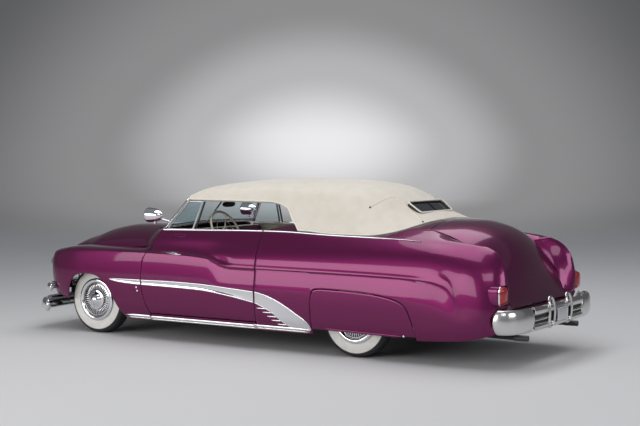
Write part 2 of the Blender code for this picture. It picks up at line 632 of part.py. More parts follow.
def fender_skirts():
    stations = spread(SKIRT_ARCH[0][0] + 3 * SEAM, SKIRT_ARCH[-1][0] - 2 * SEAM, 19)
    grid = []
    for s in stations:
        inward = -SEAM if s < -1.2 else SEAM
        top = min(profile_at(SKIRT_ARCH, s), profile_at(SKIRT_ARCH, s + inward)) - 1.5 * SEAM
        row = []
        points = [feature(line, s) for line in SIDE]
        fine = np.linspace(0, K_CREST, 61)
        heights = along(points, fine)[:, 2]
        for share in spread(0, 1, 6):
            z = SKIRT_BOTTOM_Z + (max(top, SKIRT_BOTTOM_Z + 0.02) - SKIRT_BOTTOM_Z) * share
            row.append(along(points, float(np.interp(z, heights, fine)))[0])
        grid.append(row)

    def make(side, sign):
        panel = skin("fender_skirt_" + side, flip(grid, sign), SKIN, paint(), (0, -sign, 0))
        tabs = []
        for x in (-0.90, -1.25):
            low = profile_at(SKIRT_ARCH, x) - 0.040
            reach = min(side_y(x, z) for z in (low + 0.045, low + 0.080)) - SKIN - 2 * FIT
            tabs.append(side_box("skirt_tab", sign, (x, reach - 0.012, low), (x + 0.04, reach, low + 0.080)))
            tabs.append(side_box("skirt_tab_foot", sign, (x, reach - 0.012, low),
                                 (x + 0.04, reach + 0.006, low + 0.020)))
        return join(panel, tabs)
    for_sides(make)


def doors():
    columns = SIDE_V
    outer, inner = [], []
    for u in spread(0, 1, 12):
        row, back = [], []
        for v in columns:
            front = door_edge(v, DOOR_BOTTOM_Z)
            s = DOOR_REAR_X + (front - DOOR_REAR_X) * u
            p = side_point(min(s, 1.149), v, DOOR_BOTTOM_Z)
            if s > 1.149:
                q = side_point(s, min(v, K_STEP), DOOR_BOTTOM_Z)
                p = q if v <= K_STEP else np.array([s, p[1], p[2]])
            row.append(p)
            z = p[2]
            y = DOOR_FOOT_Y + (DOOR_TOP_Y - DOOR_FOOT_Y) * (z - DOOR_BOTTOM_Z) / (1.07 - DOOR_BOTTOM_Z)
            depth = DOOR_HINGE[1] - y
            shift = 0.17 * depth * (1 - u)**4 - 0.02 * u**4
            back.append(np.array([p[0] + shift, y, z]))
        outer.append(row)
        inner.append(back)

    def make(side, sign):
        panel = shell("door_" + side, flip(outer, sign), flip(inner, sign), paint())
        leaf = side_box("door_leaf", sign, (POST_X[0] - 0.090, 0.712, LEAF_Z - HINGE_LEAF),
                        (POST_X[0] - 0.008, 0.772, LEAF_Z), paint())
        return join(panel, [leaf])
    for_sides(make)


def hood():
    rows = []
    for s in [COWL_FRONT_X + SEAM, 1.42, 1.52, 1.70, 1.90, 2.10, 2.28, 2.42, 2.54, 2.64, 2.72, 2.80]:
        half = []
        lift = HOOD_CORNER_LIFT * max(0.0, 1 - (s - COWL_FRONT_X) / 0.30)
        for w in [0.0, 0.08, 0.18, 0.32, 0.5, 0.75, 1.0]:
            p = hood_point(s, w + lift * (1 - w))
            edge = hood_point(s, 0)[1]
            p[1] *= (edge - SEAM) / edge
            half.append(p)
        rows.append(half + [(p[0], -p[1], p[2]) for p in half[-2::-1]])
    panel = skin("hood", rows, LID_SKIN, paint(), (-0.3, 0, -1))
    leaves = []
    for sign in (1, -1):
        leaves.append(side_box("hood_leaf", sign, (COWL_FRONT_X - 0.047, HOOD_LEAF_Y, 0.995),
                               (COWL_FRONT_X + 0.073, HOOD_LEAF_Y + HINGE_LEAF, 1.057), paint()))
    join(panel, leaves)


def cowl():
    columns = [0.0, 0.03, 0.07, 0.12, 0.17, 0.22, 0.32, 0.5, 0.75, 1.0]
    rows = []
    for u in spread(0, 1, 6):
        half = []
        for w in columns:
            beside = hood_point(1.11, w)
            share = 1 - min(beside[1] / PILLAR_BASE[1], 1)
            rear = on_bar(PILLAR_BASE, SCREEN_BASE, share)[0] + SCREEN_BAR_RADIUS + FIT
            if beside[1] > DOOR_TOP_Y - 2 * SEAM:
                rear = profile_at(DOOR_FRONT, min(beside[2], 1.07)) + SEAM
            p = hood_point(rear + (COWL_FRONT_X - SEAM / 2 - rear) * u, w)
            edge = hood_point(rear, 0)[1]
            p[1] *= (edge - 2 * SEAM) / edge
            half.append(p)
        rows.append(half + [(p[0], -p[1], p[2]) for p in half[-2::-1]])
    panel = skin("cowl", rows, SKIN, paint(), (0, 0, -1))
    parts = [box("firewall", (FIREWALL_X, -0.58, 0.30), (FIREWALL_X + 0.015, 0.58, 1.072), black_steel())]
    for sign in (1, -1):
        leaf_y = HOOD_LEAF_Y + HINGE_LEAF + FIT
        parts += [
            side_box("hinge_post", sign, (POST_X[0], POST_Y[0], FLOOR_Z + FIT), (POST_X[1], POST_Y[1], 0.890)),
            side_box("kick_panel", sign, (POST_X[1] - 0.006, 0.570, FLOOR_Z + FIT),
                     (FIREWALL_X + 0.009, POST_Y[1] - 0.004, 0.880)),
            side_box("post_leaf", sign, (POST_X[0] - 0.030, 0.712, LEAF_Z + FIT),
                     (POST_X[0] + 0.010, 0.735, LEAF_Z + FIT + HINGE_LEAF)),
            side_box("cowl_leaf", sign, (FIREWALL_X + 0.008, leaf_y, 0.990),
                     (COWL_FRONT_X + 0.043, leaf_y + HINGE_LEAF, 1.038))]
    join(panel, parts)


def deck_panel(guides):
    rows = []
    last = 0.42 - SEAM / 2
    for u in spread(0, 1, 4):
        row = []
        for y in spread(-LID_HALF, LID_HALF, 13):
            first = profile_at(DECK_FRONT, abs(y))
            row.append(deck_point(first + (last - first) * u, y))
        rows.append(row)
    panel = skin("deck_panel", rows, SKIN, paint(), (0, 0, -1))
    parts = []
    for sign in (1, -1):
        leaf = LID_LEAF_Y + HINGE_LEAF
        parts += [
            side_box("deck_tab_foot", sign, (-1.700, LID_HALF - 0.035, 1.100), (-1.640, LID_HALF - 0.008, 1.138)),
            side_box("deck_tab", sign, (-1.700, LID_HALF - 0.020, 1.100), (-1.640, LID_HALF + 0.042, 1.124)),
            side_box("deck_leaf", sign, (LID_FRONT_X + 0.010, LID_LEAF_Y, 1.130),
                     (LID_FRONT_X + 0.055, leaf, 1.193)),
            side_box("deck_leaf_arm", sign, (LID_FRONT_X - 0.055, LID_LEAF_Y, 1.130),
                     (LID_FRONT_X + 0.015, leaf, 1.160))]
    join(panel, parts)
    cut(panel, guides)


def trunk_lid():
    rows = []
    edge = LID_HALF - SEAM
    for s in [0.42, 0.47, 0.52, 0.57, 0.62, 0.66, 0.70, 0.74, 0.78, 0.82, 0.87, 0.92, 0.965, 0.99]:
        rows.append([deck_point(s, edge * k) for k in (-1, -0.93, -0.8, -0.6, -0.35, 0, 0.35, 0.6, 0.8, 0.93, 1)])
    panel = skin("trunk_lid", rows, LID_SKIN, paint(), (0.5, 0, -0.8))
    leaves = []
    for sign in (1, -1):
        low = LID_LEAF_Y + HINGE_LEAF + FIT
        high = low + HINGE_LEAF
        leaves += [
            side_box("lid_leaf", sign, (LID_FRONT_X - 0.055, low, 1.130),
                     (LID_FRONT_X - 0.012, high, 1.184), paint()),
            side_box("lid_leaf_arm", sign, (LID_FRONT_X - 0.020, low, 1.130),
                     (LID_FRONT_X + 0.055, high, 1.166), paint())]
    join(panel, leaves)


def padded_top():
    stations = [TOP_FRONT_S, 0.80, 0.72, 0.50, 0.15, -0.10, -0.22, -0.32, -0.40, -0.45, -0.485,
                -0.60, -0.80, -1.02, -1.18, -1.35, -1.55, -1.78, TOP_REAR_S]
    columns = [0, 1, 1.6, 2, 2.5, 3, 4, 5]
    left = [[top_point(s, v) for v in columns] for s in stations]
    rows = []
    for half in left:
        rows.append(list(half) + [(p[0], -p[1], p[2]) for p in half[-2::-1]])
    top = skin("padded_top", rows, PAD, canvas(), (0.2, 0, -1))
    return top


# Glass and its frames

PILLAR_BASE = (1.056, 0.740, 1.080)
PILLAR_TOP = (0.880, 0.612, 1.350)
SCREEN_BASE = (1.125, 0.0, 1.094)
SCREEN_TOP = (0.868, 0.0, 1.392)
PILLAR_RADIUS = 0.017
HEADER_RADIUS = 0.016
SCREEN_BAR_RADIUS = 0.009
SCREEN_STEPS = 7


def bend(a, b, c, count):
    """Smooth run of points from a over b to c."""
    return [tuple(p) for p in along([a, b, c], np.linspace(0, 2, count))]


def other_side(p):
    return (p[0], -p[1], p[2])


def on_bar(a, b, share):
    """Point on the straight runs of the bar from a over b to the mirror image of a; share is 1 at b."""
    run = bend(a, b, other_side(a), SCREEN_STEPS)
    return np.array([np.interp(share, np.linspace(0, 2, SCREEN_STEPS), [p[k] for p in run]) for k in range(3)])


def bar_gap(a, b, share, up, radius):
    """How far along up a pane starts from the middle of the bar."""
    run = on_bar(a, b, share + 0.05) - on_bar(a, b, share - 0.05)
    run /= np.linalg.norm(run)
    return (radius + 2 * FIT) / math.sqrt(1 - float(run @ up)**2)


def screen_header(extra):
    """The header bar, thicker by extra."""
    path = bend(PILLAR_TOP, SCREEN_TOP, other_side(PILLAR_TOP), SCREEN_STEPS)
    return tube("windshield_frame", path, HEADER_RADIUS + extra, chrome(), 8, extra)


def screen_pillars(extra):
    """Left and right pillar, thicker by extra."""
    return for_sides(lambda side, sign: tube(
        "screen_pillar_" + side, [(p[0], p[1] * sign, p[2]) for p in (PILLAR_BASE, PILLAR_TOP)],
        PILLAR_RADIUS + extra, chrome(), 8, extra))


def screen_bars():
    """Pillars, base and centre bar of the windshield frame."""
    steel = chrome()
    return screen_pillars(0.0) + [
        tube("screen_base", bend(PILLAR_BASE, SCREEN_BASE, other_side(PILLAR_BASE), SCREEN_STEPS),
             SCREEN_BAR_RADIUS, steel, 8),
        tube("screen_bar", [SCREEN_BASE, SCREEN_TOP], SCREEN_BAR_RADIUS, steel, 8)]


def windshield():
    join(screen_header(0.0), screen_bars())

    def pane(side, sign):
        first = (PILLAR_RADIUS + 0.0025) / PILLAR_TOP[1]
        last = 1 - (SCREEN_BAR_RADIUS + FIT) / PILLAR_TOP[1]
        outer, inner = [[], []], [[], []]
        for share in [first, 1 / 3, 2 / 3, last]:
            low = on_bar(PILLAR_BASE, SCREEN_BASE, share)
            high = on_bar(PILLAR_TOP, SCREEN_TOP, share)
            up = (high - low) / np.linalg.norm(high - low)
            half = np.array([up[2], 0, -up[0]]) * GLASS / 2
            low = low + up * bar_gap(PILLAR_BASE, SCREEN_BASE, share, up, SCREEN_BAR_RADIUS)
            high = high - up * bar_gap(PILLAR_TOP, SCREEN_TOP, share, up, HEADER_RADIUS)
            for row, p in enumerate((low, high)):
                outer[row].append(p + half)
                inner[row].append(p - half)
        outer, inner = flip(outer, sign), flip(inner, sign)
        return shell("windshield_glass_" + side, outer, inner, glass())
    for_sides(pane)


def vent_windows():
    low_rear, low_front = (0.690, 0.750), (1.046, 0.746)
    high_rear, high_front = (0.668, 0.628), (0.865, 0.622)
    lean = 0.007

    def make(side, sign):
        def plate(shift):
            row_low = []
            for x, y in (low_rear, low_front):
                row_low.append((x, y + shift, feature(BELT, x)[2] + 0.0008))
            row_high = [(x, y + shift, 1.338) for x, y in (high_rear, high_front)]
            return [row_low, row_high]
        return shell("vent_window_" + side, flip(plate(lean), sign), flip(plate(-lean), sign), glass())
    for_sides(make)


WINDOW_MIDDLE = (-1.436, 0.0, 1.318)
WINDOW_SIZE = (0.150, 0.660)


def tilted_box(name, size, middle, angle, mat):
    """Box turned about Y by angle."""
    obj = box(name, tuple(-0.5 * k for k in size), tuple(0.5 * k for k in size), mat)
    obj.data.transform(Matrix.Translation(middle) @ Matrix.Rotation(angle, 4, "Y"))
    return obj


def rear_window(top):
    angle = math.radians(-37.0)
    hole = tilted_box("rear_window_hole", (WINDOW_SIZE[0], WINDOW_SIZE[1], 0.20), WINDOW_MIDDLE, angle, glass())
    cut(top, [hole])
    normal = Vector((math.sin(angle), 0, math.cos(angle)))
    middle = Vector(WINDOW_MIDDLE) - normal * 0.020
    tilted_box("rear_window", (WINDOW_SIZE[0] - 2 * FIT, WINDOW_SIZE[1] - 2 * FIT, GLASS), middle, angle, glass())


# Inner body, chassis and engine

SILL_TOP_Z = 0.254
FLOOR_Z = 0.300
FLOOR_SHEET = 0.015
RAIL_Y = (0.345, 0.415)
RAIL_LOW_Z = 0.200
RAIL_HEIGHT = FLOOR_Z - FLOOR_SHEET - FIT - RAIL_LOW_Z
SILL_INNER_Y = 0.790
REAR_FLOOR_X = -0.700
HOUSE_Y = 0.585
FIREWALL_X = 1.262
CROSS_Z = (0.263, 0.283)
PIPE = 0.024


def sills():
    outline = [(SILL_INNER_Y, 0.195), (0.872, 0.187), (0.905, 0.205), (0.922, 0.232), (0.926, SILL_TOP_Z),
               (SILL_INNER_Y, SILL_TOP_Z)]
    ends = (DOOR_REAR_X + SEAM, DOOR_FRONT[0][1] - FIT)
    for_sides(lambda side, sign: prism("sill_" + side, [(y * sign, z) for y, z in outline], 0, *ends, paint()))


def tunnel_guide(name):
    """Space the floor tunnel takes, with a fit gap."""
    half = [(0.166, FLOOR_Z - 0.01), (0.165 + FIT, FLOOR_Z + FIT), (0.124 + FIT, 0.400 + 2 * FIT),
            (0, 0.415 + 2 * FIT)]
    outline = half + [(-p[0], p[1]) for p in half[-2::-1]]
    return prism(name, outline, 0, REAR_FLOOR_X - 0.05, FIREWALL_X, black_steel())


def floor_pan():
    under = FLOOR_Z - FLOOR_SHEET
    edge = SILL_INNER_Y - FIT
    half = [(0, 0.400), (0.112, 0.385), (0.150, under), (edge - FLOOR_SHEET, under), (edge - FLOOR_SHEET, 0.200),
            (edge, 0.200), (edge, FLOOR_Z), (0.165, FLOOR_Z), (0.124, 0.400), (0, 0.415)]
    lower = half[:6]
    upper = half[6:]
    outline = lower + upper + [(-p[0], p[1]) for p in upper[-2::-1]] + [(-p[0], p[1]) for p in lower[:0:-1]]
    prism("floor_pan", outline, 0, REAR_FLOOR_X + FIT, FIREWALL_X - FIT, black_steel())


def rear_body(guides):
    """Rear floor over the axle, wheelhouse walls, seat bulkhead and shelf."""
    sheet = FLOOR_SHEET
    top_path = [(REAR_FLOOR_X, FLOOR_Z - sheet), (REAR_FLOOR_X, 0.510), (-1.430, 0.510), (-1.600, 0.425),
                (-2.440, 0.425)]
    low_path = [(-2.440, 0.410), (-1.605, 0.410), (-1.435, 0.495), (REAR_FLOOR_X - sheet, 0.495),
                (REAR_FLOOR_X - sheet, FLOOR_Z - sheet)]
    floor = prism("rear_body", top_path + low_path, 1, -HOUSE_Y, HOUSE_Y, black_steel())
    steel = black_steel()
    parts = [
        box("bulkhead", (-0.990, -HOUSE_Y - 0.01, 0.50), (-0.978, HOUSE_Y + 0.01, 1.035), steel),
        box("shelf", (-1.480, -0.60, 1.023), (-0.970, 0.60, 1.035), steel),
        box("trunk_cross", (-2.440, -0.56, 0.400), (-2.428, 0.56, 0.47), steel)]
    for sign in (1, -1):
        parts += [
            side_box("wheelhouse", sign, (-1.650, HOUSE_Y - 0.002, 0.400),
                     (REAR_FLOOR_X - 0.002, HOUSE_Y + 0.013, 1.030)),
            side_box("house_front", sign, (REAR_FLOOR_X - 0.012, HOUSE_Y - 0.001, FLOOR_Z + FIT),
                     (REAR_FLOOR_X, 0.716, 1.028)),
            side_box("side_trim", sign, (REAR_FLOOR_X - 0.010, 0.702, FLOOR_Z + FIT),
                     (-0.135, 0.714, 1.026))]
        for x in (-1.40, -0.40):
            start = HOUSE_Y + 0.005 if x < -1 else 0.704
            reach = side_y(x, 1.024) - SKIN / 2
            parts.append(side_box("quarter_tab", sign, (x - 0.02, start, 1.008), (x + 0.02, reach, 1.024)))
    join(floor, parts)
    cut(floor, guides)


def chassis_frame():
    low = [(2.400, 0.300), (1.480, 0.300), (1.300, RAIL_LOW_Z), (-0.720, RAIL_LOW_Z), (-0.930, 0.395),
           (-1.420, 0.395), (-1.620, 0.310), (-2.420, 0.310)]
    top = [(x, z + RAIL_HEIGHT) for x, z in low[::-1]]
    rails = []
    for sign in (1, -1):
        y = sorted(k * sign for k in RAIL_Y)
        rails.append(prism("rail", low + top, 1, y[0], y[1], black_steel()))
    frame = rails[0]
    frame.name = "chassis_frame"
    steel = black_steel()
    reach = RAIL_Y[0] + 0.02
    cross = [
        rails[1],
        box("cross_front", (2.300, -reach, 0.315), (2.360, reach, 0.370), steel),
        box("cross_engine", (FRONT_AXLE_X - 0.05, -reach, 0.310), (FRONT_AXLE_X + 0.05, reach, 0.345), steel),
        box("cross_gearbox", (0.900, -reach, CROSS_Z[0]), (0.960, reach, CROSS_Z[1]), steel),
        box("cross_middle", (0.200, -reach, CROSS_Z[0]), (0.260, reach, CROSS_Z[1]), steel),
        box("cross_seat", (-0.520, -reach, CROSS_Z[0]), (-0.460, reach, CROSS_Z[1]), steel),
        box("cross_tank", (-1.700, -reach, 0.325), (-1.640, reach, 0.380), steel),
        box("cross_rear", (-2.380, -reach, 0.325), (-2.320, reach, 0.380), steel)]
    join(frame, cross)


APRON_Y = 0.445


def engine_bay(guides):
    """Aprons beside the engine and the radiator support across the front."""
    steel = black_steel()
    base = box("engine_bay_panels", (2.285, -0.500, 0.3853), (2.300, 0.500, 0.800), steel)
    parts = []
    for sign in (1, -1):
        parts += [
            side_box("apron", sign, (FIREWALL_X + 0.015 + FIT, APRON_Y, 0.465), (2.290, APRON_Y + 0.012, 0.815)),
            side_box("apron_flange", sign, (1.40, APRON_Y, 0.803), (2.10, 0.662, 0.815))]
        for x in (1.60, 1.98):
            parts.append(side_box("apron_tab", sign, (x, 0.650, 0.805), (x + 0.03, 0.662, tab_height(x, 0.656))))
    join(base, parts)
    cut(base, guides)


def tab_height(x, y):
    """Height inside the front fender's skin at y on its top."""
    points = [feature(line, x) for line in SIDE[:K_STEP + 1]]
    fine = np.linspace(4, K_STEP, 81)
    run = along(points, fine)
    i = int(np.argmin(np.abs(run[:, 1] - y)))
    return float(run[i][2]) - SKIN / 2


def engine():
    outline = [(1.420, 0.400), (1.560, 0.3453), (2.130, 0.3453), (2.180, 0.420), (2.180, 0.640), (2.100, 0.800),
               (1.480, 0.800), (1.420, 0.700)]
    prism("engine_block", outline, 1, -0.230, 0.230, black_steel())


# Running gear

def wheel_profile():
    return [(0, 0.027), (0.150, 0.027), (0.180, -0.070), (RIM_RADIUS, -0.074), (RIM_RADIUS, -0.058),
            (0.186, -0.045), (0.186, 0.045), (RIM_RADIUS, 0.060), (COVER_RADIUS, 0.082), (0.190, 0.099),
            (0.150, 0.086), (0.095, 0.090), (0.050, 0.124), (0.022, 0.138), (0, 0.142)]


def tyre_profile():
    half = [(RIM_RADIUS + FIT, 0.060), (0.225, 0.0725), (WHITEWALL_RADIUS, TYRE_WIDTH / 2),
            (0.310, 0.0760), (0.329, 0.0560), (TYRE_RADIUS, 0.0300)]
    return half + [(r, -d) for r, d in half[::-1]]


def wheels():
    for axle, x in (("front", FRONT_AXLE_X), ("rear", DRAWN_REAR_X)):
        for side, sign in (("L", 1), ("R", -1)):
            centre = (x, DRAWN_HALF_TRACK * sign, TYRE_RADIUS)
            turned(f"wheel_{axle}_{side}", wheel_profile(), centre, (0, sign, 0), chrome(), WHEEL_SEGMENTS)
            turned(f"tyre_{axle}_{side}", tyre_profile(), centre, (0, sign, 0), rubber(), WHEEL_SEGMENTS, True)


HUB_Y = DRAWN_HALF_TRACK + 0.027 - FIT
ARM_LOW_Z = (0.200, 0.232)
ARM_HIGH_Z = (0.432, 0.458)


def knuckles():
    def make(side, sign):
        steel = black_steel()
        post = turned("knuckle_" + side, [(0, ARM_LOW_Z[1] + FIT), (0.016, ARM_LOW_Z[1] + FIT),
                      (0.016, ARM_HIGH_Z[0] - FIT), (0, ARM_HIGH_Z[0] - FIT)],
                      (FRONT_AXLE_X, KINGPIN_Y * sign, 0), (0, 0, 1), steel, 12)
        drum = [(0, 0.0), (0.030, 0.0), (0.030, 0.040), (0.140, 0.043), (0.140, 0.080), (0.040, 0.086),
                (0.022, 0.092), (0.022, HUB_Y - KINGPIN_Y), (0, HUB_Y - KINGPIN_Y)]
        spindle = turned("spindle", drum, (FRONT_AXLE_X, KINGPIN_Y * sign, TYRE_RADIUS), (0, sign, 0), steel, 14)
        return join(post, [spindle])
    for_sides(make)


def front_suspension():
    steel = black_steel()
    half = 0.035
    x0, x1 = FRONT_AXLE_X - half, FRONT_AXLE_X + half
    reach = KINGPIN_Y + 0.018
    base = box("front_suspension", (x0, -reach, ARM_LOW_Z[0]), (x1, reach, ARM_LOW_Z[1]), steel)
    parts = []
    for sign in (1, -1):
        parts += [
            side_box("arm_tower", sign, (x0, RAIL_Y[1] + FIT, ARM_LOW_Z[1] - 0.01),
                     (x1, RAIL_Y[1] + 0.020, ARM_HIGH_Z[1] - 0.002)),
            side_box("arm_high", sign, (x0 + 0.003, RAIL_Y[1] + 0.010, ARM_HIGH_Z[0]),
                     (x1 - 0.003, reach - 0.001, ARM_HIGH_Z[1]))]
    join(base, parts)


def rear_axle():
    steel = black_steel()
    end = HUB_Y
    profile = [(0, -end), (0.022, -end), (0.022, -0.720), (0.140, -0.712), (0.140, -0.668), (0.040, -0.655),
               (0.040, -0.180), (0.120, -0.080), (0.135, 0.0), (0.120, 0.080), (0.040, 0.180), (0.040, 0.655),
               (0.140, 0.668), (0.140, 0.712), (0.022, 0.720), (0.022, end), (0, end)]
    axle = turned("rear_axle", profile, (DRAWN_REAR_X, 0, TYRE_RADIUS), (0, 1, 0), steel, 14)
    parts = []
    for sign in (1, -1):
        y = 0.475 * sign
        spring = [(-0.560, y, 0.228), (-0.80, y, 0.258), (DRAWN_REAR_X, y, 0.288), (-1.40, y, 0.310),
                  (-1.680, y, 0.350)]
        parts.append(tube("spring", along(spring, np.linspace(0, 4, 9)), 0.022, steel, 6))
        for x, z in ((-0.560, 0.228), (-1.680, 0.350)):
            low = (RAIL_Y[1] + FIT) * sign
            parts.append(tube("spring_pin", [(x, low, z), (x, y, z)], 0.012, steel, 8))
    join(axle, parts)


def exhaust():
    steel = black_steel()
    height = CROSS_Z[0] - FIT - PIPE
    route = [(1.300, 0.265, height), (0.60, 0.265, height), (-0.10, 0.265, height), (-0.70, 0.265, height),
             (-0.90, 0.265, 0.385), (-1.10, 0.265, 0.437), (-1.34, 0.265, 0.400), (-1.58, 0.280, 0.290),
             (-1.95, 0.480, 0.262), (-2.30, 0.560, 0.258), (-2.64, 0.570, 0.255)]
    left = tube("exhaust_system", along(route, np.linspace(0, 10, 21)), PIPE, steel, 6)
    right = tube("exhaust_right", [other_side(p) for p in along(route, np.linspace(0, 10, 21))], PIPE, steel, 6)
    cross = tube("crossover", [(0.500, -0.265, height), (0.500, 0.265, height)], 0.020, steel, 8)
    join(left, [right, cross])
    mufflers = []
    for sign in (1, -1):
        run = [(0.12, 0.258 * sign, height), (-0.40, 0.258 * sign, height)]
        mufflers.append(tube("muffler", run, 0.045, steel, 12))
    for x in (0.230, -0.490):
        mufflers += for_sides(lambda side, sign: side_box(
            "hanger", sign, (x - 0.012, 0.258, height), (x + 0.012, 0.272, CROSS_Z[0] - FIT)))
    join(left, mufflers)


# Bright work

def sweep_bar(name, path, section, mat):
    """Bar of one section carried along a path seen from above; section is (outward, z)."""
    path = [Vector((p[0], p[1], 0)) for p in path]
    grid = []
    for i, point in enumerate(path):
        ahead = path[min(i + 1, len(path) - 1)] - path[max(i - 1, 0)]
        out = Vector((ahead.y, -ahead.x, 0)).normalized()
        grid.append([point + out * d + Vector((0, 0, z)) for d, z in section])
    bm = bmesh.new()
    rings = [[bm.verts.new(p) for p in row] for row in grid]
    count = len(section)
    for low, high in zip(rings, rings[1:]):
        for k in range(count):
            j = (k + 1) % count
            bm.faces.new((low[k], low[j], high[j], high[k]))
    bm.faces.new(rings[0])
    bm.faces.new(rings[-1][::-1])
    return make_object(name, bm, mat)


def full_path(half):
    """Left half of a path, nose or tail first, made whole."""
    smooth = [tuple(p) for p in along(half, np.linspace(0, len(half) - 1, 2 * len(half)))]
    return [(p[0], -p[1]) for p in smooth[:0:-1]] + smooth


def bumper_section(low, high, depth, back):
    mid = (low + high) / 2
    height = (high - low) / 2
    face = [(depth * math.cos(a), mid + height * math.sin(a)) for a in
            (math.radians(k) for k in (-88, -60, -32, 0, 32, 60, 88))]
    return face + [(back, high - 0.008), (back, low + 0.008)]


def guard(sign, x, low_z, high_z, y):
    """Upright hoop of bar, open at the foot."""
    out = math.copysign(0.022, x)
    mid = (low_z + high_z) / 2
    hoop = [(x, y[0], low_z), (x + out, y[0], mid), (x + out / 2, y[0] + 0.010, high_z - 0.030),
            (x, (y[0] + y[1]) / 2, high_z), (x + out / 2, y[1] - 0.010, high_z - 0.030), (x + out, y[1], mid),
            (x, y[1], low_z)]
    run = along([(p[0], p[1] * sign, p[2]) for p in hoop], np.linspace(0, 6, 13))
    return tube("guard", run, 0.0135, chrome(), 8)


def bumpers():
    low_path = [(2.6885, 0.0), (2.680, 0.35), (2.645, 0.65), (2.553, 0.85), (2.425, 0.920)]
    high_path = [(2.600, 0.0), (2.598, 0.35), (2.582, 0.62), (2.530, 0.79), (2.455, 0.885), (2.385, 0.925)]
    bar = sweep_bar("front_bumper", full_path(low_path), bumper_section(0.190, 0.325, 0.037, -0.012), chrome())
    parts = [sweep_bar("upper_bar", full_path(high_path), bumper_section(0.400, 0.480, 0.028, -0.010), chrome())]
    for sign in (1, -1):
        parts += [
            side_box("bumper_arm", sign, (2.400 + FIT, RAIL_Y[0], 0.302), (2.683, RAIL_Y[1], 0.322)),
            side_box("bumper_stay", sign, (2.592, RAIL_Y[0], 0.312), (2.608, RAIL_Y[1], 0.450))]
    join(bar, parts)
    rear = [(-2.675, 0.0), (-2.673, 0.40), (-2.663, 0.68), (-2.635, 0.83), (-2.575, 0.905), (-2.480, 0.928)]
    back = sweep_bar("rear_bumper", full_path(rear)[::-1], bumper_section(0.315, 0.520, 0.030, -0.014), chrome())
    parts = []
    for sign in (1, -1):
        parts += [
            side_box("bumper_arm", sign, (-2.665, RAIL_Y[0], 0.330), (-2.420 - FIT, RAIL_Y[1], 0.350)),
            guard(sign, -2.690, 0.330, 0.585, (0.135, 0.215))]
    join(back, parts)


def grille():
    steel = chrome()

    def row(z, x):
        return [(x - 0.030 * (y / 0.5)**2, y, z) for y in spread(-0.500, 0.500, 7)]
    base = tube("grille", row(0.700, 2.510), 0.016, steel, 6)
    parts = [tube("grille_bar", row(0.445, 2.515), 0.020, steel, 6),
             tube("grille_bar", row(0.572, 2.530), 0.028, steel, 8)]
    for y in spread(-0.42, 0.42, 9):
        x = 2.506 - 0.030 * (y / 0.5)**2
        parts.append(tube("grille_tooth", [(x, y, 0.445), (x, y, 0.700)], 0.010, steel, 4))
    for y in (-0.3, 0.3):
        parts.append(box("grille_stay", (2.3003, y - 0.01, 0.56), (2.51, y + 0.01, 0.58), steel))
    join(base, parts)


def rounded_outline(cy, cz, half_y, half_z, power, count):
    points = []
    for i in range(count):
        a = 2 * math.pi * i / count
        c, s = math.cos(a), math.sin(a)
        y = cy + half_y * math.copysign(abs(c)**power, c)
        z = cz + half_z * math.copysign(abs(s)**power, s)
        points.append((y, z))
    return points


TAIL_Y, TAIL_Z = 0.825, 0.628
TAIL_HALF = (0.066, 0.086)


def stack(name, sections, mat):
    """Outlines of as many points, each at its own x, joined into a closed solid."""
    bm = bmesh.new()
    rings = [[bm.verts.new((x, y, z)) for y, z in outline] for x, outline in sections]
    bm.faces.new(rings[0])
    bm.faces.new(rings[-1][::-1])
    for low, high in zip(rings, rings[1:]):
        for i in range(len(low)):
            j = (i + 1) % len(low)
            bm.faces.new((low[i], low[j], high[j], high[i]))
    return make_object(name, bm, mat)


def tail_outline(sign, share, extra=0.0):
    half = [k * share + extra for k in TAIL_HALF]
    return rounded_outline(TAIL_Y * sign, TAIL_Z, *half, 0.7, 16)


def tail_lamps():
    """Lamp bodies seated in the quarter panels, with a domed lens."""
    dome = [(-2.420, 1.0), (-2.506, 1.0), (-2.514, 0.93), (-2.530, 0.80), (-2.546, 0.55), (-2.553, 0.25)]
    for_sides(lambda side, sign: stack(
        "tail_lamp_" + side, [(x, tail_outline(sign, share)) for x, share in dome], red_lens()))


def tail_holes(side, sign):
    """Cutter for the lamp body's hole in the quarter panel."""
    outline = tail_outline(sign, 1.0, 2 * FIT)
    return stack("tail_lamp_hole_" + side, [(-2.419, outline), (-2.560, outline)], red_lens())


# Gap between the tail panel and the quarter panels beside it
TAIL_GAP = 0.0022


def tail_panel():
    rows = []
    for z in (0.325, 0.40, 0.47, LID_BOTTOM_Z - 2 * SEAM):
        x = feature(ROCKER, -2.8)[0] - 0.021 * math.sin(min(1.0, (z - 0.32) / 0.12) * math.pi / 2)
        rows.append([(x, y, z) for y in spread(TAIL_GAP - LID_SIDE, LID_SIDE - TAIL_GAP, 5)])
    panel = skin("tail_panel", rows, SKIN, paint(), (1, 0, 0))
    holes = []
    for sign in (1, -1):
        holes.append(side_box("bumper_arm_hole", sign, (-2.60, RAIL_Y[0] - FIT, 0.330 - FIT),
                              (-2.45, RAIL_Y[1] + FIT, 0.350 + FIT)))
    cut(panel, holes)


SHIELD_TOP = [(-0.700, 0.262), (-0.665, 0.302), (-0.516, 0.382), (-0.300, 0.477), (-0.132, 0.536)]
SHIELD_LOW = [(-0.700, 0.238), (-0.484, 0.263), (-0.354, 0.317), (-0.212, 0.398), (-0.132, 0.436)]


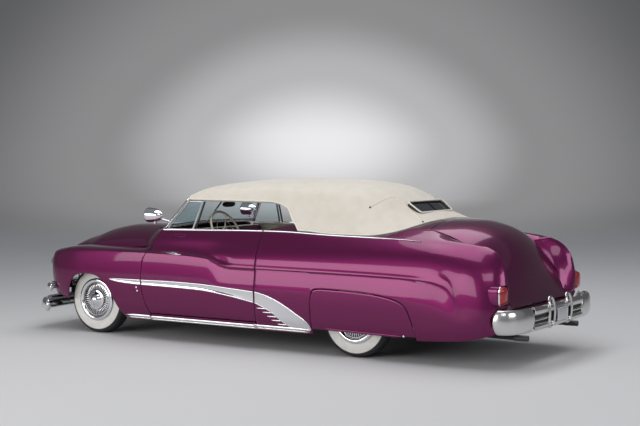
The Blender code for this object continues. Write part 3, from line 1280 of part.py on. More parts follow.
def gravel_shields(guides):
    stations = spread(-0.700, -0.132, 12)
    grid = []
    for s in stations:
        points = [feature(line, s) for line in SIDE]
        fine = np.linspace(0, K_CREST, 61)
        heights = along(points, fine)[:, 2]
        low, high = profile_at(SHIELD_LOW, s), profile_at(SHIELD_TOP, s)
        row = []
        for share in (0, 0.35, 0.7, 1):
            p = along(points, float(np.interp(low + (high - low) * share, heights, fine)))[0]
            row.append((p[0], p[1] + 0.0045, p[2]))
        grid.append(row)

    def make(side, sign):
        guide = guides[0] if sign > 0 else guides[1]
        return cut(skin("gravel_shield_" + side, flip(grid, sign), 0.006, chrome(), (0, -sign, 0)), [guide])
    for_sides(make)


def plate():
    box("blank_plate", (-2.7203, -0.105, 0.350), (-2.7053, 0.105, 0.475), chrome())


def spotlights(pillar_guides):
    def make(side, sign):
        profile = [(0, -0.100), (0.012, -0.096), (0.040, -0.070), (0.062, -0.025), (0.071, 0.030), (0.073, 0.070),
                   (0.070, 0.082), (0.064, 0.078), (0.040, 0.090), (0, 0.096)]
        lamp = turned("spotlight_" + side, profile, (1.150, 0.800 * sign, 1.200), (1, 0, 0), chrome(), 20)
        foot = np.array(PILLAR_BASE) + SPOT_FOOT_SHARE * (np.array(PILLAR_TOP) - np.array(PILLAR_BASE))
        run = [(p[0], p[1] * sign, p[2]) for p in (foot, (1.110, 0.775, 1.165), (1.150, 0.797, 1.185))]
        stem = tube("spot_stem", run, 0.009, chrome(), 8)
        join(lamp, [stem])
        cut(lamp, [pillar_guides[0] if sign > 0 else pillar_guides[1]])
    for_sides(make)


# Cabin

WHEEL_CENTRE = (0.620, 0.360, 1.045)
COLUMN_ANGLE = math.radians(28.0)


def steering():
    axis = Vector((-math.cos(COLUMN_ANGLE), 0, math.sin(COLUMN_ANGLE)))
    centre = Vector(WHEEL_CENTRE)
    profile = [(0.205 + 0.011 * math.cos(b), 0.011 * math.sin(b)) for b in (math.pi * k / 3 for k in range(6))]
    rim = turned("steering_wheel", profile, centre, axis, leather(), 24, closed=True)
    boss = [(0, -0.05), (0.020, -0.05), (0.032, -0.020), (0.034, 0.004), (0.02, 0.014), (0, 0.016)]
    hub = turned("steering_hub", boss, centre, axis, leather(), 16)
    turn = Vector((0, 0, 1)).rotation_difference(axis).to_matrix()
    spokes = []
    for k in range(3):
        a = math.radians(90 + 120 * k)
        out = turn @ Vector((math.cos(a), math.sin(a), 0))
        spokes.append(tube("spoke", [centre - axis * 0.012 + out * 0.015, centre + out * 0.204], 0.008, leather(), 6))
    join(rim, [hub] + spokes)
    start = centre - axis * (0.050 + FIT)
    end = start - axis * ((FIREWALL_X - 0.012 - start.x) / math.cos(COLUMN_ANGLE))
    tube("steering_column", [start, end], 0.022, black_steel(), 12)


def dashboard():
    outline = [(1.064, 1.040), (0.980, 1.042), (0.945, 1.030), (0.930, 0.990), (0.935, 0.905), (0.965, 0.860),
               (0.995, 0.860), (0.995, 0.985), (1.064, 0.985)]
    board = prism("dashboard", outline, 1, -0.700, 0.700, paint())
    tray = box("dash_tray", (1.050, -0.400, 0.990), (FIREWALL_X - FIT, 0.400, 1.005), paint())
    join(board, [tray])
    hole = tube("column_hole", [Vector(WHEEL_CENTRE), Vector(WHEEL_CENTRE) + Vector((
        0.7 * math.cos(COLUMN_ANGLE), 0, -0.7 * math.sin(COLUMN_ANGLE)))], 0.022 + FIT, paint(), 12)
    cut(board, [hole])


def seats():
    front = [(0.480, FLOOR_Z + FIT), (0.490, 0.400), (0.540, 0.430), (0.550, 0.530), (0.490, 0.585),
             (0.120, 0.560), (0.030, 0.960), (-0.010, 0.990), (-0.060, 0.985), (-0.085, 0.950),
             (-0.030, 0.400), (-0.010, FLOOR_Z + FIT)]
    bench = prism("front_seat", front, 1, -0.660, 0.660, leather())
    cut(bench, [tunnel_guide("front_tunnel_guide")])
    rear = [(REAR_FLOOR_X + FIT, FLOOR_Z + FIT), (-0.330, FLOOR_Z + FIT), (-0.280, 0.360), (-0.270, 0.510),
            (-0.330, 0.565), (-0.680, 0.545), (-0.790, 0.960), (-0.830, 0.995), (-0.900, 1.000),
            (-0.9777, 0.975), (-0.9777, 0.5103), (REAR_FLOOR_X + FIT, 0.5103)]
    bench = prism("rear_seat", rear, 1, -0.680, 0.680, leather())
    guides = [tunnel_guide("rear_tunnel_guide")]
    for sign in (1, -1):
        guides.append(side_box("house_guide", sign, (-1.200, HOUSE_Y - 0.002 - FIT, 0.200),
                               (REAR_FLOOR_X + FIT, 0.800, 1.100)))
    cut(bench, guides)


# What follows a change of wheelbase or track

def follow_x(x):
    """Places from the rear of the cabin back keep their distance to the rear axle."""
    share = min(max((DOOR_SPAN[1] - x) / (DOOR_SPAN[1] - DOOR_SPAN[0]), 0.0), 1.0)
    return x + (REAR_AXLE_X - DRAWN_REAR_X) * share


def follow_y(y):
    """Places outside the middle strip keep their distance to the wheels."""
    share = min(max(y / MIDDLE_STRIP, -1.0), 1.0)
    return y + (HALF_TRACK - DRAWN_HALF_TRACK) * share


def follow_wheels():
    """Lengthens and widens the drawn body with the wheelbase and the track."""
    for mesh in bpy.data.meshes:
        for vert in mesh.vertices:
            vert.co.x = follow_x(vert.co.x)
            vert.co.y = follow_y(vert.co.y)


def set_origins():
    """Puts the origin of each moving piece on the axis it turns about."""
    origins = {"hood": HOOD_HINGE, "trunk_lid": TRUNK_HINGE, "steering_wheel": WHEEL_CENTRE}
    for side, sign in (("L", 1), ("R", -1)):
        hinge = (DOOR_HINGE[0], DOOR_HINGE[1] * sign, DOOR_HINGE[2])
        origins["door_" + side] = hinge
        origins["vent_window_" + side] = hinge
        origins["knuckle_" + side] = (FRONT_AXLE_X, KINGPIN_Y * sign, TYRE_RADIUS)
        for axle, x in (("front", FRONT_AXLE_X), ("rear", DRAWN_REAR_X)):
            for piece in ("wheel", "tyre"):
                origins[f"{piece}_{axle}_{side}"] = (x, DRAWN_HALF_TRACK * sign, TYRE_RADIUS)
    for name, (x, y, z) in origins.items():
        obj = bpy.data.objects[name]
        origin = Vector((follow_x(x), follow_y(y), z))
        obj.data.transform(Matrix.Translation(-origin))
        obj.location = origin


def main():
    clear_scene()
    fender_guides = front_fenders()
    quarter_guides = quarter_panels()
    fender_skirts()
    doors()
    hood()
    cowl()
    deck_panel(quarter_guides)
    trunk_lid()
    tail_panel()
    headlamps()
    tail_lamps()
    top = padded_top()
    windshield()
    pillar_guides = screen_pillars(FIT)
    cut(top, [screen_header(FIT)] + pillar_guides)
    rear_window(top)
    vent_windows()
    sills()
    floor_pan()
    rear_body(quarter_guides)
    chassis_frame()
    engine_bay(fender_guides)
    engine()
    wheels()
    knuckles()
    front_suspension()
    rear_axle()
    exhaust()
    bumpers()
    plate()
    grille()
    gravel_shields(quarter_guides)
    spotlights(pillar_guides)
    steering()
    dashboard()
    seats()
    follow_wheels()
    set_origins()


main()
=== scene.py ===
"""Looks of the custom coupe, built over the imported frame. Metres, +X nose, +Y left, +Z up."""
import math

import bmesh
import bpy
import numpy as np
from mathutils import Matrix, Vector


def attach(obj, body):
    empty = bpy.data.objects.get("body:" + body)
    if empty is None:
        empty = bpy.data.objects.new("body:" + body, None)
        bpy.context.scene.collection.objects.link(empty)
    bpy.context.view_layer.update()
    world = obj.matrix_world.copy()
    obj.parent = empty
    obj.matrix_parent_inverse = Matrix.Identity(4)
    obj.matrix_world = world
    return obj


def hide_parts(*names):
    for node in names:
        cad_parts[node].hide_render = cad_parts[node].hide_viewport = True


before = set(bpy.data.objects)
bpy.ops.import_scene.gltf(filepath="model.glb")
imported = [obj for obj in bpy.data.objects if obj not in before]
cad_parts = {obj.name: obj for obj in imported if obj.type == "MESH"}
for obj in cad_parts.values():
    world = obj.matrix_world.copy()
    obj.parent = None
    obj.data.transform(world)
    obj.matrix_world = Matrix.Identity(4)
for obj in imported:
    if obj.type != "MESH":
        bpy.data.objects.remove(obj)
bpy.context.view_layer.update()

# Driving dimensions
WHEELBASE = 2.997
FRONT_AXLE_X = 1.893
REAR_AXLE_X = FRONT_AXLE_X - WHEELBASE
HALF_TRACK = 0.733
TYRE_RADIUS = 0.335
LAMP_X, LAMP_Y, LAMP_Z, LAMP_RADIUS = 2.505, 0.700, 0.665, 0.100

# Gap between panels, slack of touching hinge leaves, and thicknesses of panels, lids and top
SEAM = 0.006
FIT = 0.0003
SKIN = 0.012
LID_SKIN = 0.022
PAD = 0.035

# Panel ends along the car
DOOR_REAR_X = -0.120
COWL_FRONT_X = 1.357
LID_FRONT_X = -1.745
DOOR_BOTTOM_Z = 0.262
LID_BOTTOM_Z = 0.500
LID_HALF = 0.620
LID_SIDE = LID_HALF + 0.005
DOOR_TOP_Y = 0.725
DOOR_FOOT_Y = 0.800

# Hinge post inside each front door gap, and the leaves of the hinges
POST_X = (1.198, 1.230)
POST_Y = (0.704, 0.738)
LEAF_Z = 0.800
HINGE_LEAF = 0.008
HOOD_LEAF_Y = 0.200
LID_LEAF_Y = 0.300

# The hood's rear corners swing forward as it opens, so there its edge starts this share up its side
HOOD_CORNER_LIFT = 0.007

# Feature lines of the left side. A knot is (s, y, z) where the line runs straight and x equals s,
# and (s, x, y, z) round the nose and round the tail. Named from the rocker up to the belt.
ROCKER = [
    (-2.80, -2.510, LID_SIDE, 0.320), (-2.65, -2.495, 0.740, 0.315), (-2.50, -2.450, 0.830, 0.300),
    (-2.35, -2.345, 0.885, 0.270), (-2.20, 0.905, 0.240), (-1.80, 0.912, 0.212), (-0.90, 0.905, 0.195),
    (-0.60, 0.890, 0.187), (0.50, 0.885, 0.180), (1.30, 0.890, 0.186), (1.60, 0.905, 0.205),
    (2.00, 0.915, 0.280), (2.20, 0.905, 0.345), (2.35, 2.335, 0.880, 0.375), (2.50, 2.430, 0.820, 0.395),
    (2.65, 2.475, 0.735, 0.400), (2.80, 2.487, 0.630, 0.400), (2.95, 2.490, 0.520, 0.400)]
LOWER = [
    (-2.80, -2.528, LID_SIDE, 0.390), (-2.65, -2.513, 0.750, 0.385), (-2.50, -2.463, 0.848, 0.365),
    (-2.35, -2.358, 0.908, 0.345), (-2.20, 0.930, 0.320), (-1.80, 0.940, 0.310), (-0.60, 0.940, 0.320),
    (1.30, 0.940, 0.330), (2.00, 0.938, 0.390), (2.20, 0.925, 0.430), (2.35, 2.342, 0.900, 0.460),
    (2.50, 2.443, 0.842, 0.480), (2.65, 2.494, 0.750, 0.485), (2.80, 2.508, 0.635, 0.485),
    (2.95, 2.511, 0.520, 0.485)]
WIDEST = [
    (-2.80, -2.531, LID_SIDE, 0.470), (-2.65, -2.517, 0.757, 0.460), (-2.50, -2.470, 0.856, 0.435),
    (-2.35, -2.366, 0.915, 0.405), (-2.20, 0.940, 0.400), (-1.95, 0.952, 0.470), (-1.60, 0.960, 0.530),
    (-0.60, 0.960, 0.540), (1.20, 0.958, 0.550), (2.00, 0.953, 0.590), (2.20, 0.940, 0.620),
    (2.35, 2.346, 0.915, 0.635), (2.50, 2.450, 0.855, 0.645), (2.65, 2.508, 0.760, 0.650),
    (2.80, 2.522, 0.640, 0.650), (2.95, 2.525, 0.520, 0.650)]
CREST = [
    (-2.80, -2.482, LID_SIDE, 0.560), (-2.65, -2.540, 0.758, 0.545), (-2.50, -2.496, 0.856, 0.510),
    (-2.35, -2.380, 0.914, 0.465), (-2.20, 0.938, 0.470), (-2.155, 0.941, 0.530), (-2.118, 0.943, 0.605),
    (-2.05, 0.945, 0.680), (-1.90, 0.950, 0.727), (-1.60, 0.954, 0.745), (-1.00, 0.956, 0.752),
    (0.15, 0.954, 0.755), (0.26, 0.951, 0.770), (0.36, 0.947, 0.802), (0.50, 0.945, 0.822),
    (0.80, 0.944, 0.836), (1.20, 0.943, 0.840), (1.60, 0.940, 0.838), (2.00, 0.933, 0.828),
    (2.20, 0.917, 0.812), (2.35, 2.330, 0.892, 0.800), (2.50, 2.428, 0.835, 0.790),
    (2.65, 2.482, 0.748, 0.785), (2.80, 2.497, 0.635, 0.785), (2.95, 2.500, 0.520, 0.785)]
CAP = [
    (-2.80, -2.440, LID_SIDE, 0.660), (-2.65, -2.544, 0.757, 0.655), (-2.50, -2.494, 0.850, 0.630),
    (-2.35, -2.380, 0.908, 0.600), (-2.20, 0.932, 0.610), (-2.05, 0.940, 0.735), (-1.90, 0.944, 0.765),
    (-1.00, 0.948, 0.785), (0.10, 0.946, 0.790), (0.30, 0.925, 0.812), (0.50, 0.910, 0.848),
    (0.80, 0.902, 0.860), (1.15, 0.898, 0.863), (1.40, 0.885, 0.867), (2.00, 0.880, 0.862),
    (2.20, 0.862, 0.850), (2.35, 2.290, 0.835, 0.838), (2.50, 2.375, 0.785, 0.830),
    (2.65, 2.425, 0.715, 0.826), (2.80, 2.440, 0.620, 0.826), (2.95, 2.443, 0.520, 0.824)]
SHELF = [
    (-2.80, -2.388, LID_SIDE, 0.765), (-2.65, -2.530, 0.752, 0.765), (-2.50, -2.476, 0.840, 0.742),
    (-2.35, -2.368, 0.897, 0.715), (-2.20, 0.922, 0.720), (-1.90, 0.934, 0.820), (-1.00, 0.935, 0.845),
    (0.10, 0.932, 0.845), (0.50, 0.895, 0.868), (0.80, 0.888, 0.876), (1.15, 0.884, 0.878),
    (1.40, 0.760, 0.872), (1.60, 0.745, 0.876), (2.00, 0.740, 0.875), (2.20, 0.725, 0.864),
    (2.35, 2.240, 0.700, 0.858), (2.50, 2.300, 0.670, 0.853), (2.65, 2.345, 0.630, 0.850),
    (2.80, 2.362, 0.575, 0.848), (2.95, 2.368, 0.518, 0.846)]
STEP = [
    (-2.80, -2.322, LID_SIDE, 0.850), (-2.65, -2.502, 0.742, 0.868), (-2.50, -2.444, 0.824, 0.846),
    (-2.35, -2.342, 0.876, 0.822), (-2.20, 0.902, 0.825), (-1.90, 0.910, 0.905), (-1.00, 0.905, 0.930),
    (0.10, 0.895, 0.930), (0.50, 0.878, 0.910), (0.80, 0.875, 0.900), (1.10, 0.873, 0.900),
    (1.20, 0.835, 0.895), (1.34, 0.660, 0.870), (1.46, 0.610, 0.862), (1.80, 0.600, 0.866),
    (2.10, 0.597, 0.862), (2.20, 0.585, 0.857), (2.35, 2.215, 0.565, 0.855), (2.50, 2.240, 0.548, 0.853),
    (2.65, 2.262, 0.534, 0.851), (2.80, 2.280, 0.524, 0.849), (2.95, 2.295, 0.516, 0.847)]
UPPER = [
    (-2.80, -2.262, LID_SIDE, 0.912), (-2.65, -2.444, 0.726, 0.954), (-2.50, -2.392, 0.792, 0.934),
    (-2.35, -2.308, 0.840, 0.918), (-2.20, 0.860, 0.925), (-1.90, 0.868, 0.985), (-1.00, 0.860, 1.005),
    (0.10, 0.855, 1.005), (0.80, 0.845, 0.985), (1.15, 0.840, 0.975)]
BELT = [
    (-2.80, -2.207, LID_SIDE, 0.955), (-2.65, -2.362, 0.704, 1.006), (-2.50, -2.328, 0.752, 0.996),
    (-2.35, -2.272, 0.780, 0.994), (-2.20, 0.790, 1.006), (-2.00, 0.797, 1.028), (-1.80, 0.800, 1.045),
    (-1.50, 0.801, 1.060), (-0.85, 0.801, 1.070), (-0.30, 0.801, 1.086), (0.10, 0.801, 1.082),
    (0.60, 0.801, 1.070), (1.15, 0.796, 1.058)]
LEDGE = [(-2.80, -2.192, LID_SIDE, 0.965), (-2.65, -2.300, 0.684, 1.024), (-2.50, -2.276, 0.712, 1.026),
         (-2.20, -2.185, 0.735, 1.040), (-2.00, 0.745, 1.060), (-1.80, 0.755, 1.073),
         (-1.50, 0.755, 1.088), (-0.10, 0.755, 1.088)]
LID_EDGE = [
    (-2.80, -2.176, LID_SIDE, 0.976), (-2.50, -2.125, LID_SIDE, 1.008), (-2.20, -2.050, LID_SIDE, 1.041),
    (-2.00, -1.950, LID_SIDE, 1.082), (-1.75, LID_SIDE, 1.140), (-1.50, LID_SIDE, 1.150),
    (-0.10, LID_SIDE, 1.150)]
SIDE = [ROCKER, LOWER, WIDEST, CREST, CAP, SHELF, STEP, UPPER, BELT, LEDGE, LID_EDGE]
K_CREST, K_STEP, K_BELT = 3, 6, 8

# Where the panels' grids have rows across those lines, counted in lines
SIDE_V = [0, 1, 2, 2.6, 2.94, 3, 3.4, 4, 5, 6, 7, 8]
SIDES = (("L", 1), ("R", -1))

# Centreline of hood and deck, as (s, x, z)
HOOD_CENTRE = [
    (1.00, 1.00, 1.086), (1.36, 1.36, 1.082), (1.87, 1.87, 1.069), (2.14, 2.14, 1.035),
    (2.28, 2.28, 1.000), (2.42, 2.41, 0.957), (2.55, 2.510, 0.905), (2.65, 2.565, 0.850),
    (2.74, 2.582, 0.795), (2.80, 2.578, 0.745)]
HOOD_EDGE = [
    (1.00, 1.00, 0.873, 0.900), (1.10, 1.10, 0.873, 0.900), (1.20, 1.20, 0.835, 0.895),
    (1.34, 1.34, 0.660, 0.870), (1.46, 1.46, 0.610, 0.862), (1.80, 1.80, 0.600, 0.866),
    (2.10, 2.10, 0.597, 0.862), (2.30, 2.28, 0.530, 0.858), (2.45, 2.39, 0.512, 0.848),
    (2.60, 2.465, 0.505, 0.826), (2.72, 2.505, 0.500, 0.790), (2.80, 2.515, 0.498, 0.745)]
DECK_CENTRE = [
    (0.00, -1.000, 1.190), (0.25, -1.400, 1.208), (0.42, -1.745, 1.214), (0.50, -1.930, 1.206),
    (0.58, -2.090, 1.172), (0.66, -2.225, 1.112), (0.73, -2.330, 1.024), (0.79, -2.396, 0.920),
    (0.85, -2.438, 0.800), (0.91, -2.466, 0.680), (0.96, -2.496, 0.570), (1.00, -2.530, 0.480)]
DECK_SIDE = [
    (0.00, -1.000, 1.130), (0.25, -1.400, 1.150), (0.42, -1.745, 1.140), (0.50, -1.900, 1.102),
    (0.58, -2.025, 1.053), (0.66, -2.125, 1.007), (0.73, -2.200, 0.960), (0.79, -2.280, 0.895),
    (0.85, -2.362, 0.800), (0.91, -2.432, 0.680), (0.96, -2.478, 0.570), (1.00, -2.530, 0.480)]

# The padded top: centreline and side wall, as (s, x, z) and (s, x, y, z)
ROOF_CENTRE = [
    (0.845, 0.860, 1.415), (0.80, 0.812, 1.462), (0.70, 0.70, 1.502), (0.50, 0.50, 1.527),
    (0.20, 0.20, 1.549), (-0.35, -0.35, 1.560), (-0.70, -0.70, 1.553), (-1.00, -0.92, 1.538),
    (-1.30, -1.02, 1.518), (-1.60, -1.08, 1.502), (-2.00, -1.10, 1.496)]
ROOF_SHOULDER = [
    (0.845, 0.866, 0.340, 1.408), (0.80, 0.816, 0.345, 1.450), (0.70, 0.70, 0.355, 1.482),
    (0.20, 0.20, 0.370, 1.520), (-0.35, -0.35, 0.375, 1.530), (-0.80, -0.80, 0.370, 1.520),
    (-1.05, -1.04, 0.330, 1.490), (-1.30, -1.17, 0.220, 1.468), (-1.60, -1.22, 0.120, 1.462),
    (-2.00, -1.24, 0.000, 1.460)]
ROOF_EDGE = [
    (0.845, 0.872, 0.560, 1.392), (0.80, 0.824, 0.565, 1.416), (0.70, 0.70, 0.575, 1.432),
    (0.20, 0.20, 0.590, 1.455), (-0.35, -0.35, 0.600, 1.462), (-0.80, -0.80, 0.590, 1.450),
    (-1.05, -1.08, 0.530, 1.415), (-1.30, -1.26, 0.370, 1.390), (-1.60, -1.34, 0.200, 1.380),
    (-2.00, -1.36, 0.000, 1.378)]
CANT = [
    (0.845, 0.876, 0.618, 1.358), (0.70, 0.70, 0.635, 1.362), (0.20, 0.20, 0.650, 1.365),
    (-0.35, -0.35, 0.662, 1.360), (-0.80, -0.80, 0.660, 1.345), (-1.05, -1.10, 0.615, 1.315),
    (-1.30, -1.33, 0.470, 1.290), (-1.60, -1.46, 0.270, 1.280), (-2.00, -1.49, 0.000, 1.278)]
TOP_WALL = [
    (0.845, 0.855, 0.700, 1.210), (0.20, 0.20, 0.725, 1.215), (-0.80, -0.80, 0.728, 1.205),
    (-1.05, -1.14, 0.700, 1.190), (-1.30, -1.40, 0.590, 1.200), (-1.60, -1.56, 0.340, 1.233),
    (-2.00, -1.590, 0.000, 1.246)]
TOP_HEM = [
    (0.845, 0.855, 0.780, 1.062), (0.20, 0.20, 0.788, 1.078), (-0.30, -0.30, 0.787, 1.105),
    (-0.60, -0.60, 0.787, 1.103), (-0.80, -0.80, 0.787, 1.086), (-1.05, -1.18, 0.776, 1.083),
    (-1.30, -1.45, 0.690, 1.122), (-1.60, -1.625, 0.400, 1.198), (-2.00, -1.662, 0.000, 1.218)]
TOP_LINES = [TOP_HEM, TOP_WALL, CANT, ROOF_EDGE, ROOF_SHOULDER, ROOF_CENTRE]
TOP_FRONT_S, TOP_REAR_S = 0.845, -2.00

# Side window opening in the top: height of its upper edge along x
WINDOW_TOP = [
    (-0.495, 1.000), (-0.480, 1.125), (-0.435, 1.182), (-0.400, 1.228), (-0.326, 1.298),
    (-0.215, 1.337), (-0.100, 1.352), (0.855, 1.356)]

# Station of the deck curves at which the lid begins
LID_FRONT_S = 0.42

# Front edge of the fixed deck behind the hem: along v beside the lid, and against y between
DECK_HEM = [(8.0, -1.200), (8.5, -1.300), (9.0, -1.390), (9.5, -1.490), (10.0, -1.562)]
DECK_FRONT = [(0.0, 0.388), (0.20, 0.385), (0.42, 0.372), (LID_HALF, 0.332)]

# Front edge of the door, and wheel openings, as seen from the side
DOOR_FRONT = [
    (0.200, 1.100), (0.264, 1.118), (0.358, 1.161), (0.481, 1.197), (0.568, 1.207), (0.752, 1.190),
    (0.842, 1.150), (0.900, 1.128), (0.985, 1.100), (1.070, 1.070)]
FRONT_ARCH = [
    (1.405, 0.180), (1.47, 0.232), (1.52, 0.300), (1.57, 0.385), (1.62, 0.468), (1.70, 0.550),
    (1.78, 0.592), (1.88, 0.608), (1.98, 0.604), (2.06, 0.580), (2.12, 0.530), (2.155, 0.460),
    (2.172, 0.390), (2.180, 0.330)]
SKIRT_ARCH = [
    (-1.780, 0.180), (-1.755, 0.320), (-1.725, 0.415), (-1.690, 0.490), (-1.630, 0.535),
    (-1.520, 0.568), (-1.384, 0.588), (-1.200, 0.600), (-1.033, 0.606), (-0.850, 0.608),
    (-0.770, 0.600), (-0.735, 0.570), (-0.722, 0.500), (-0.716, 0.180)]
SKIRT_BOTTOM_Z = 0.240

# Station at which the fender begins behind the door gap, with fewer feature lines than the door side
FENDER_S = 1.15
DOOR_TOP_Z = 1.070
DOOR_SKIN_Y = 0.968

# Undercut below the crease along the side, and where it begins and ends
CREASE_DEPTH = 0.012
CREASE_FRONT_X, CREASE_REAR_X = 0.40, -2.16

# Rear window: tilt, middle and size along and across the car
WINDOW_ANGLE = -37.0
WINDOW_MIDDLE = (-1.436, 0.0, 1.318)
WINDOW_SIZE = (0.150, 0.660)

# Tail lamp: middle, half sizes, and the power that squares its outline
TAIL_Y, TAIL_Z = 0.825, 0.628
TAIL_HALF = (0.066, 0.086)
TAIL_POWER = 0.5

# Chassis rails, the rear bumper's guards and the inner end of its outer caps
RAIL_Y = (0.345, 0.415)
GUARD_X = -2.684
GUARD_POWER = 0.7
CAP_START = 0.560

# How far a cushion swells at most, the depth of its sewn channels and the rounding of its ends
SWELL_CAP = 0.010
CHANNEL_DEPTH = 0.010
END_ROUND = 0.030

# Glow on the studio wall: its centre, reach and grey levels, and the heights between which it begins
GLOW_CENTRE = (9.6, -15.8, -0.3)
GLOW_REACH = 10.0
GLOW_STEPS = ((0.24, 0.86), (0.40, 0.46), (0.56, 0.26))
WALL_FOOT = (0.01, 0.5)


# Curves

def monotone(knots, values, t):
    """Smooth curve through the knots that never swings past them."""
    k = np.asarray(knots, float)
    v = np.asarray(values, float).reshape(len(k), -1)
    t = np.atleast_1d(np.asarray(t, float))
    h = np.diff(k)[:, None]
    d = np.diff(v, axis=0) / h
    slope = np.zeros_like(v)
    slope[0], slope[-1] = d[0], d[-1]
    w1 = 2 * h[1:] + h[:-1]
    w2 = h[1:] + 2 * h[:-1]
    same = d[:-1] * d[1:] > 0
    safe_a = np.where(same, d[:-1], 1.0)
    safe_b = np.where(same, d[1:], 1.0)
    slope[1:-1] = np.where(same, (w1 + w2) / (w1 / safe_a + w2 / safe_b), 0.0)
    i = np.clip(np.searchsorted(k, t, side="right") - 1, 0, len(k) - 2)
    u = np.clip((t - k[i]) / (k[i + 1] - k[i]), 0.0, 1.0)[:, None]
    step = h[i]
    return ((2 * u**3 - 3 * u**2 + 1) * v[i] + (u**3 - 2 * u**2 + u) * step * slope[i]
            + (-2 * u**3 + 3 * u**2) * v[i + 1] + (u**3 - u**2) * step * slope[i + 1])


def profile_at(table, t):
    """One value of a two-column table at t."""
    return float(monotone([row[0] for row in table], [row[1] for row in table], t)[0, 0])


def feature(line, s):
    """Point of a feature line of the side at s."""
    points = [row[-3:] for row in line]
    return monotone([row[0] for row in line], points, s)[0]


def along(points, v):
    """Point at v, counted in points, on a smooth curve through the points."""
    points = np.asarray(points, float)
    chord = np.concatenate([[0.0], np.cumsum(np.linalg.norm(np.diff(points, axis=0), axis=1) + 1e-6)])
    t = np.interp(v, range(len(points)), chord)
    return monotone(chord, points, t)


def lower_edge(s):
    """Height at which the body side ends at s: the rocker, or a wheel opening."""
    if FRONT_ARCH[0][0] < s < FRONT_ARCH[-1][0]:
        return profile_at(FRONT_ARCH, s)
    if SKIRT_ARCH[0][0] < s < SKIRT_ARCH[-1][0]:
        return profile_at(SKIRT_ARCH, s)
    return 0.0


def hood_point(s, w):
    """Point of hood and cowl; w is 0 on the edge and 1 on the centreline."""
    edge = monotone([r[0] for r in HOOD_EDGE], [r[1:] for r in HOOD_EDGE], s)[0]
    mid = monotone([r[0] for r in HOOD_CENTRE], [r[1:] for r in HOOD_CENTRE], s)[0]
    round_off = profile_at([(1.00, 9.0), (1.12, 8.0), (1.45, 2.5), (2.00, 2.1), (2.40, 1.45),
                            (2.80, 1.40)], s)
    y = 1 - w
    rise = (1 - y**round_off)**0.78
    x = edge[0] + (mid[0] - edge[0]) * (1 - y**2)
    return np.array([x, edge[1] * y, edge[2] + (mid[1] - edge[2]) * rise])


def deck_point(s, y):
    """Point of deck and trunk lid between the centreline and the lid's edge."""
    side = monotone([r[0] for r in DECK_SIDE], [r[1:] for r in DECK_SIDE], s)[0]
    mid = monotone([r[0] for r in DECK_CENTRE], [r[1:] for r in DECK_CENTRE], s)[0]
    share = 1 - abs(y / LID_HALF)**2.3
    return np.array([side[0] + (mid[0] - side[0]) * share, y, side[1] + (mid[1] - side[1]) * share])


def side_row(s, vs, floor_z=None):
    """Points of the left body side at s for a list of v."""
    lines = SIDE[:K_STEP + 1] if s > FENDER_S else SIDE
    points = [feature(line, s) for line in lines]
    vs = np.array(vs, float)
    limit = lower_edge(s) if floor_z is None else floor_z
    if points[0][2] < limit:
        fine = np.linspace(0, K_CREST, 61)
        start = float(np.interp(limit, along(points, fine)[:, 2], fine))
        vs = np.where(vs < K_CREST, start + vs * (1 - start / K_CREST), vs)
    run = along(points, vs)
    fade = min(max((CREASE_FRONT_X - s) / 0.12, 0.0), 1.0) * min(max((s - CREASE_REAR_X) / 0.10, 0.0), 1.0)
    below = np.clip((vs - 2.2) / 0.7, 0.0, 1.0) * np.clip((K_CREST - vs) / 0.06, 0.0, 1.0)
    run[:, 1] -= CREASE_DEPTH * fade * below
    return run


def top_row(s, vs):
    """Points of the padded top's outside at s; v runs from the hem up to the centreline."""
    points = []
    for line in TOP_LINES:
        p = monotone([-row[0] for row in line], [row[1:] for row in line], -s)[0]
        points.append(p if len(p) == 3 else np.array([p[0], 0.0, p[1]]))
    x = points[0][0]
    vs = np.array(vs, float)
    if WINDOW_TOP[0][0] < x:
        limit = profile_at(WINDOW_TOP, min(x, WINDOW_TOP[-1][0]))
        fine = np.linspace(0, 3, 61)
        heights = along(points, fine)[:, 2]
        if limit > heights[0]:
            start = float(np.interp(limit, heights, fine))
            vs = np.where(vs < 3, start + vs * (1 - start / 3), vs)
    return along(points, vs)


def dense(values, count):
    """The values with each gap split into count steps."""
    out = []
    for a, b in zip(values, values[1:]):
        out += [a + (b - a) * k / count for k in range(count)]
    return out + [values[-1]]


def spread(low, high, count):
    """Evenly spaced values from low to high."""
    return [low + (high - low) * i / (count - 1) for i in range(count)]


def circle(count):
    """Cosine and sine of even steps round a circle."""
    return [(math.cos(2 * math.pi * k / count), math.sin(2 * math.pi * k / count)) for k in range(count)]


def squared(value, power):
    """A cosine or sine pushed outwards, so that a circle turns into a rounded square."""
    return math.copysign(abs(value) ** power, value)


def flip(grid, sign):
    """The grid itself for sign 1, and mirrored to the right side for sign -1."""
    return [[(p[0], p[1] * sign, p[2]) for p in row] for row in grid]


# Materials

def shader(name, colour, roughness, metallic=0.0, **more):
    """Material with a principled surface; more holds its other inputs, spaces as underscores."""
    mat = bpy.data.materials.new(name)
    mat.use_nodes = True
    values = {"Base Color": (*colour, 1.0), "Roughness": roughness, "Metallic": metallic}
    values.update({key.replace("_", " "): value for key, value in more.items()})
    for key, value in values.items():
        mat.node_tree.nodes["Principled BSDF"].inputs[key].default_value = value
    return mat


def add_node(tree, kind, inputs, **settings):
    """New shader node; an input takes a socket to link or a plain value."""
    node = tree.nodes.new("ShaderNode" + kind)
    for key, value in settings.items():
        setattr(node, key, value)
    for key, value in inputs.items():
        if isinstance(value, bpy.types.NodeSocket):
            tree.links.new(value, node.inputs[key])
        else:
            node.inputs[key].default_value = value
    return node


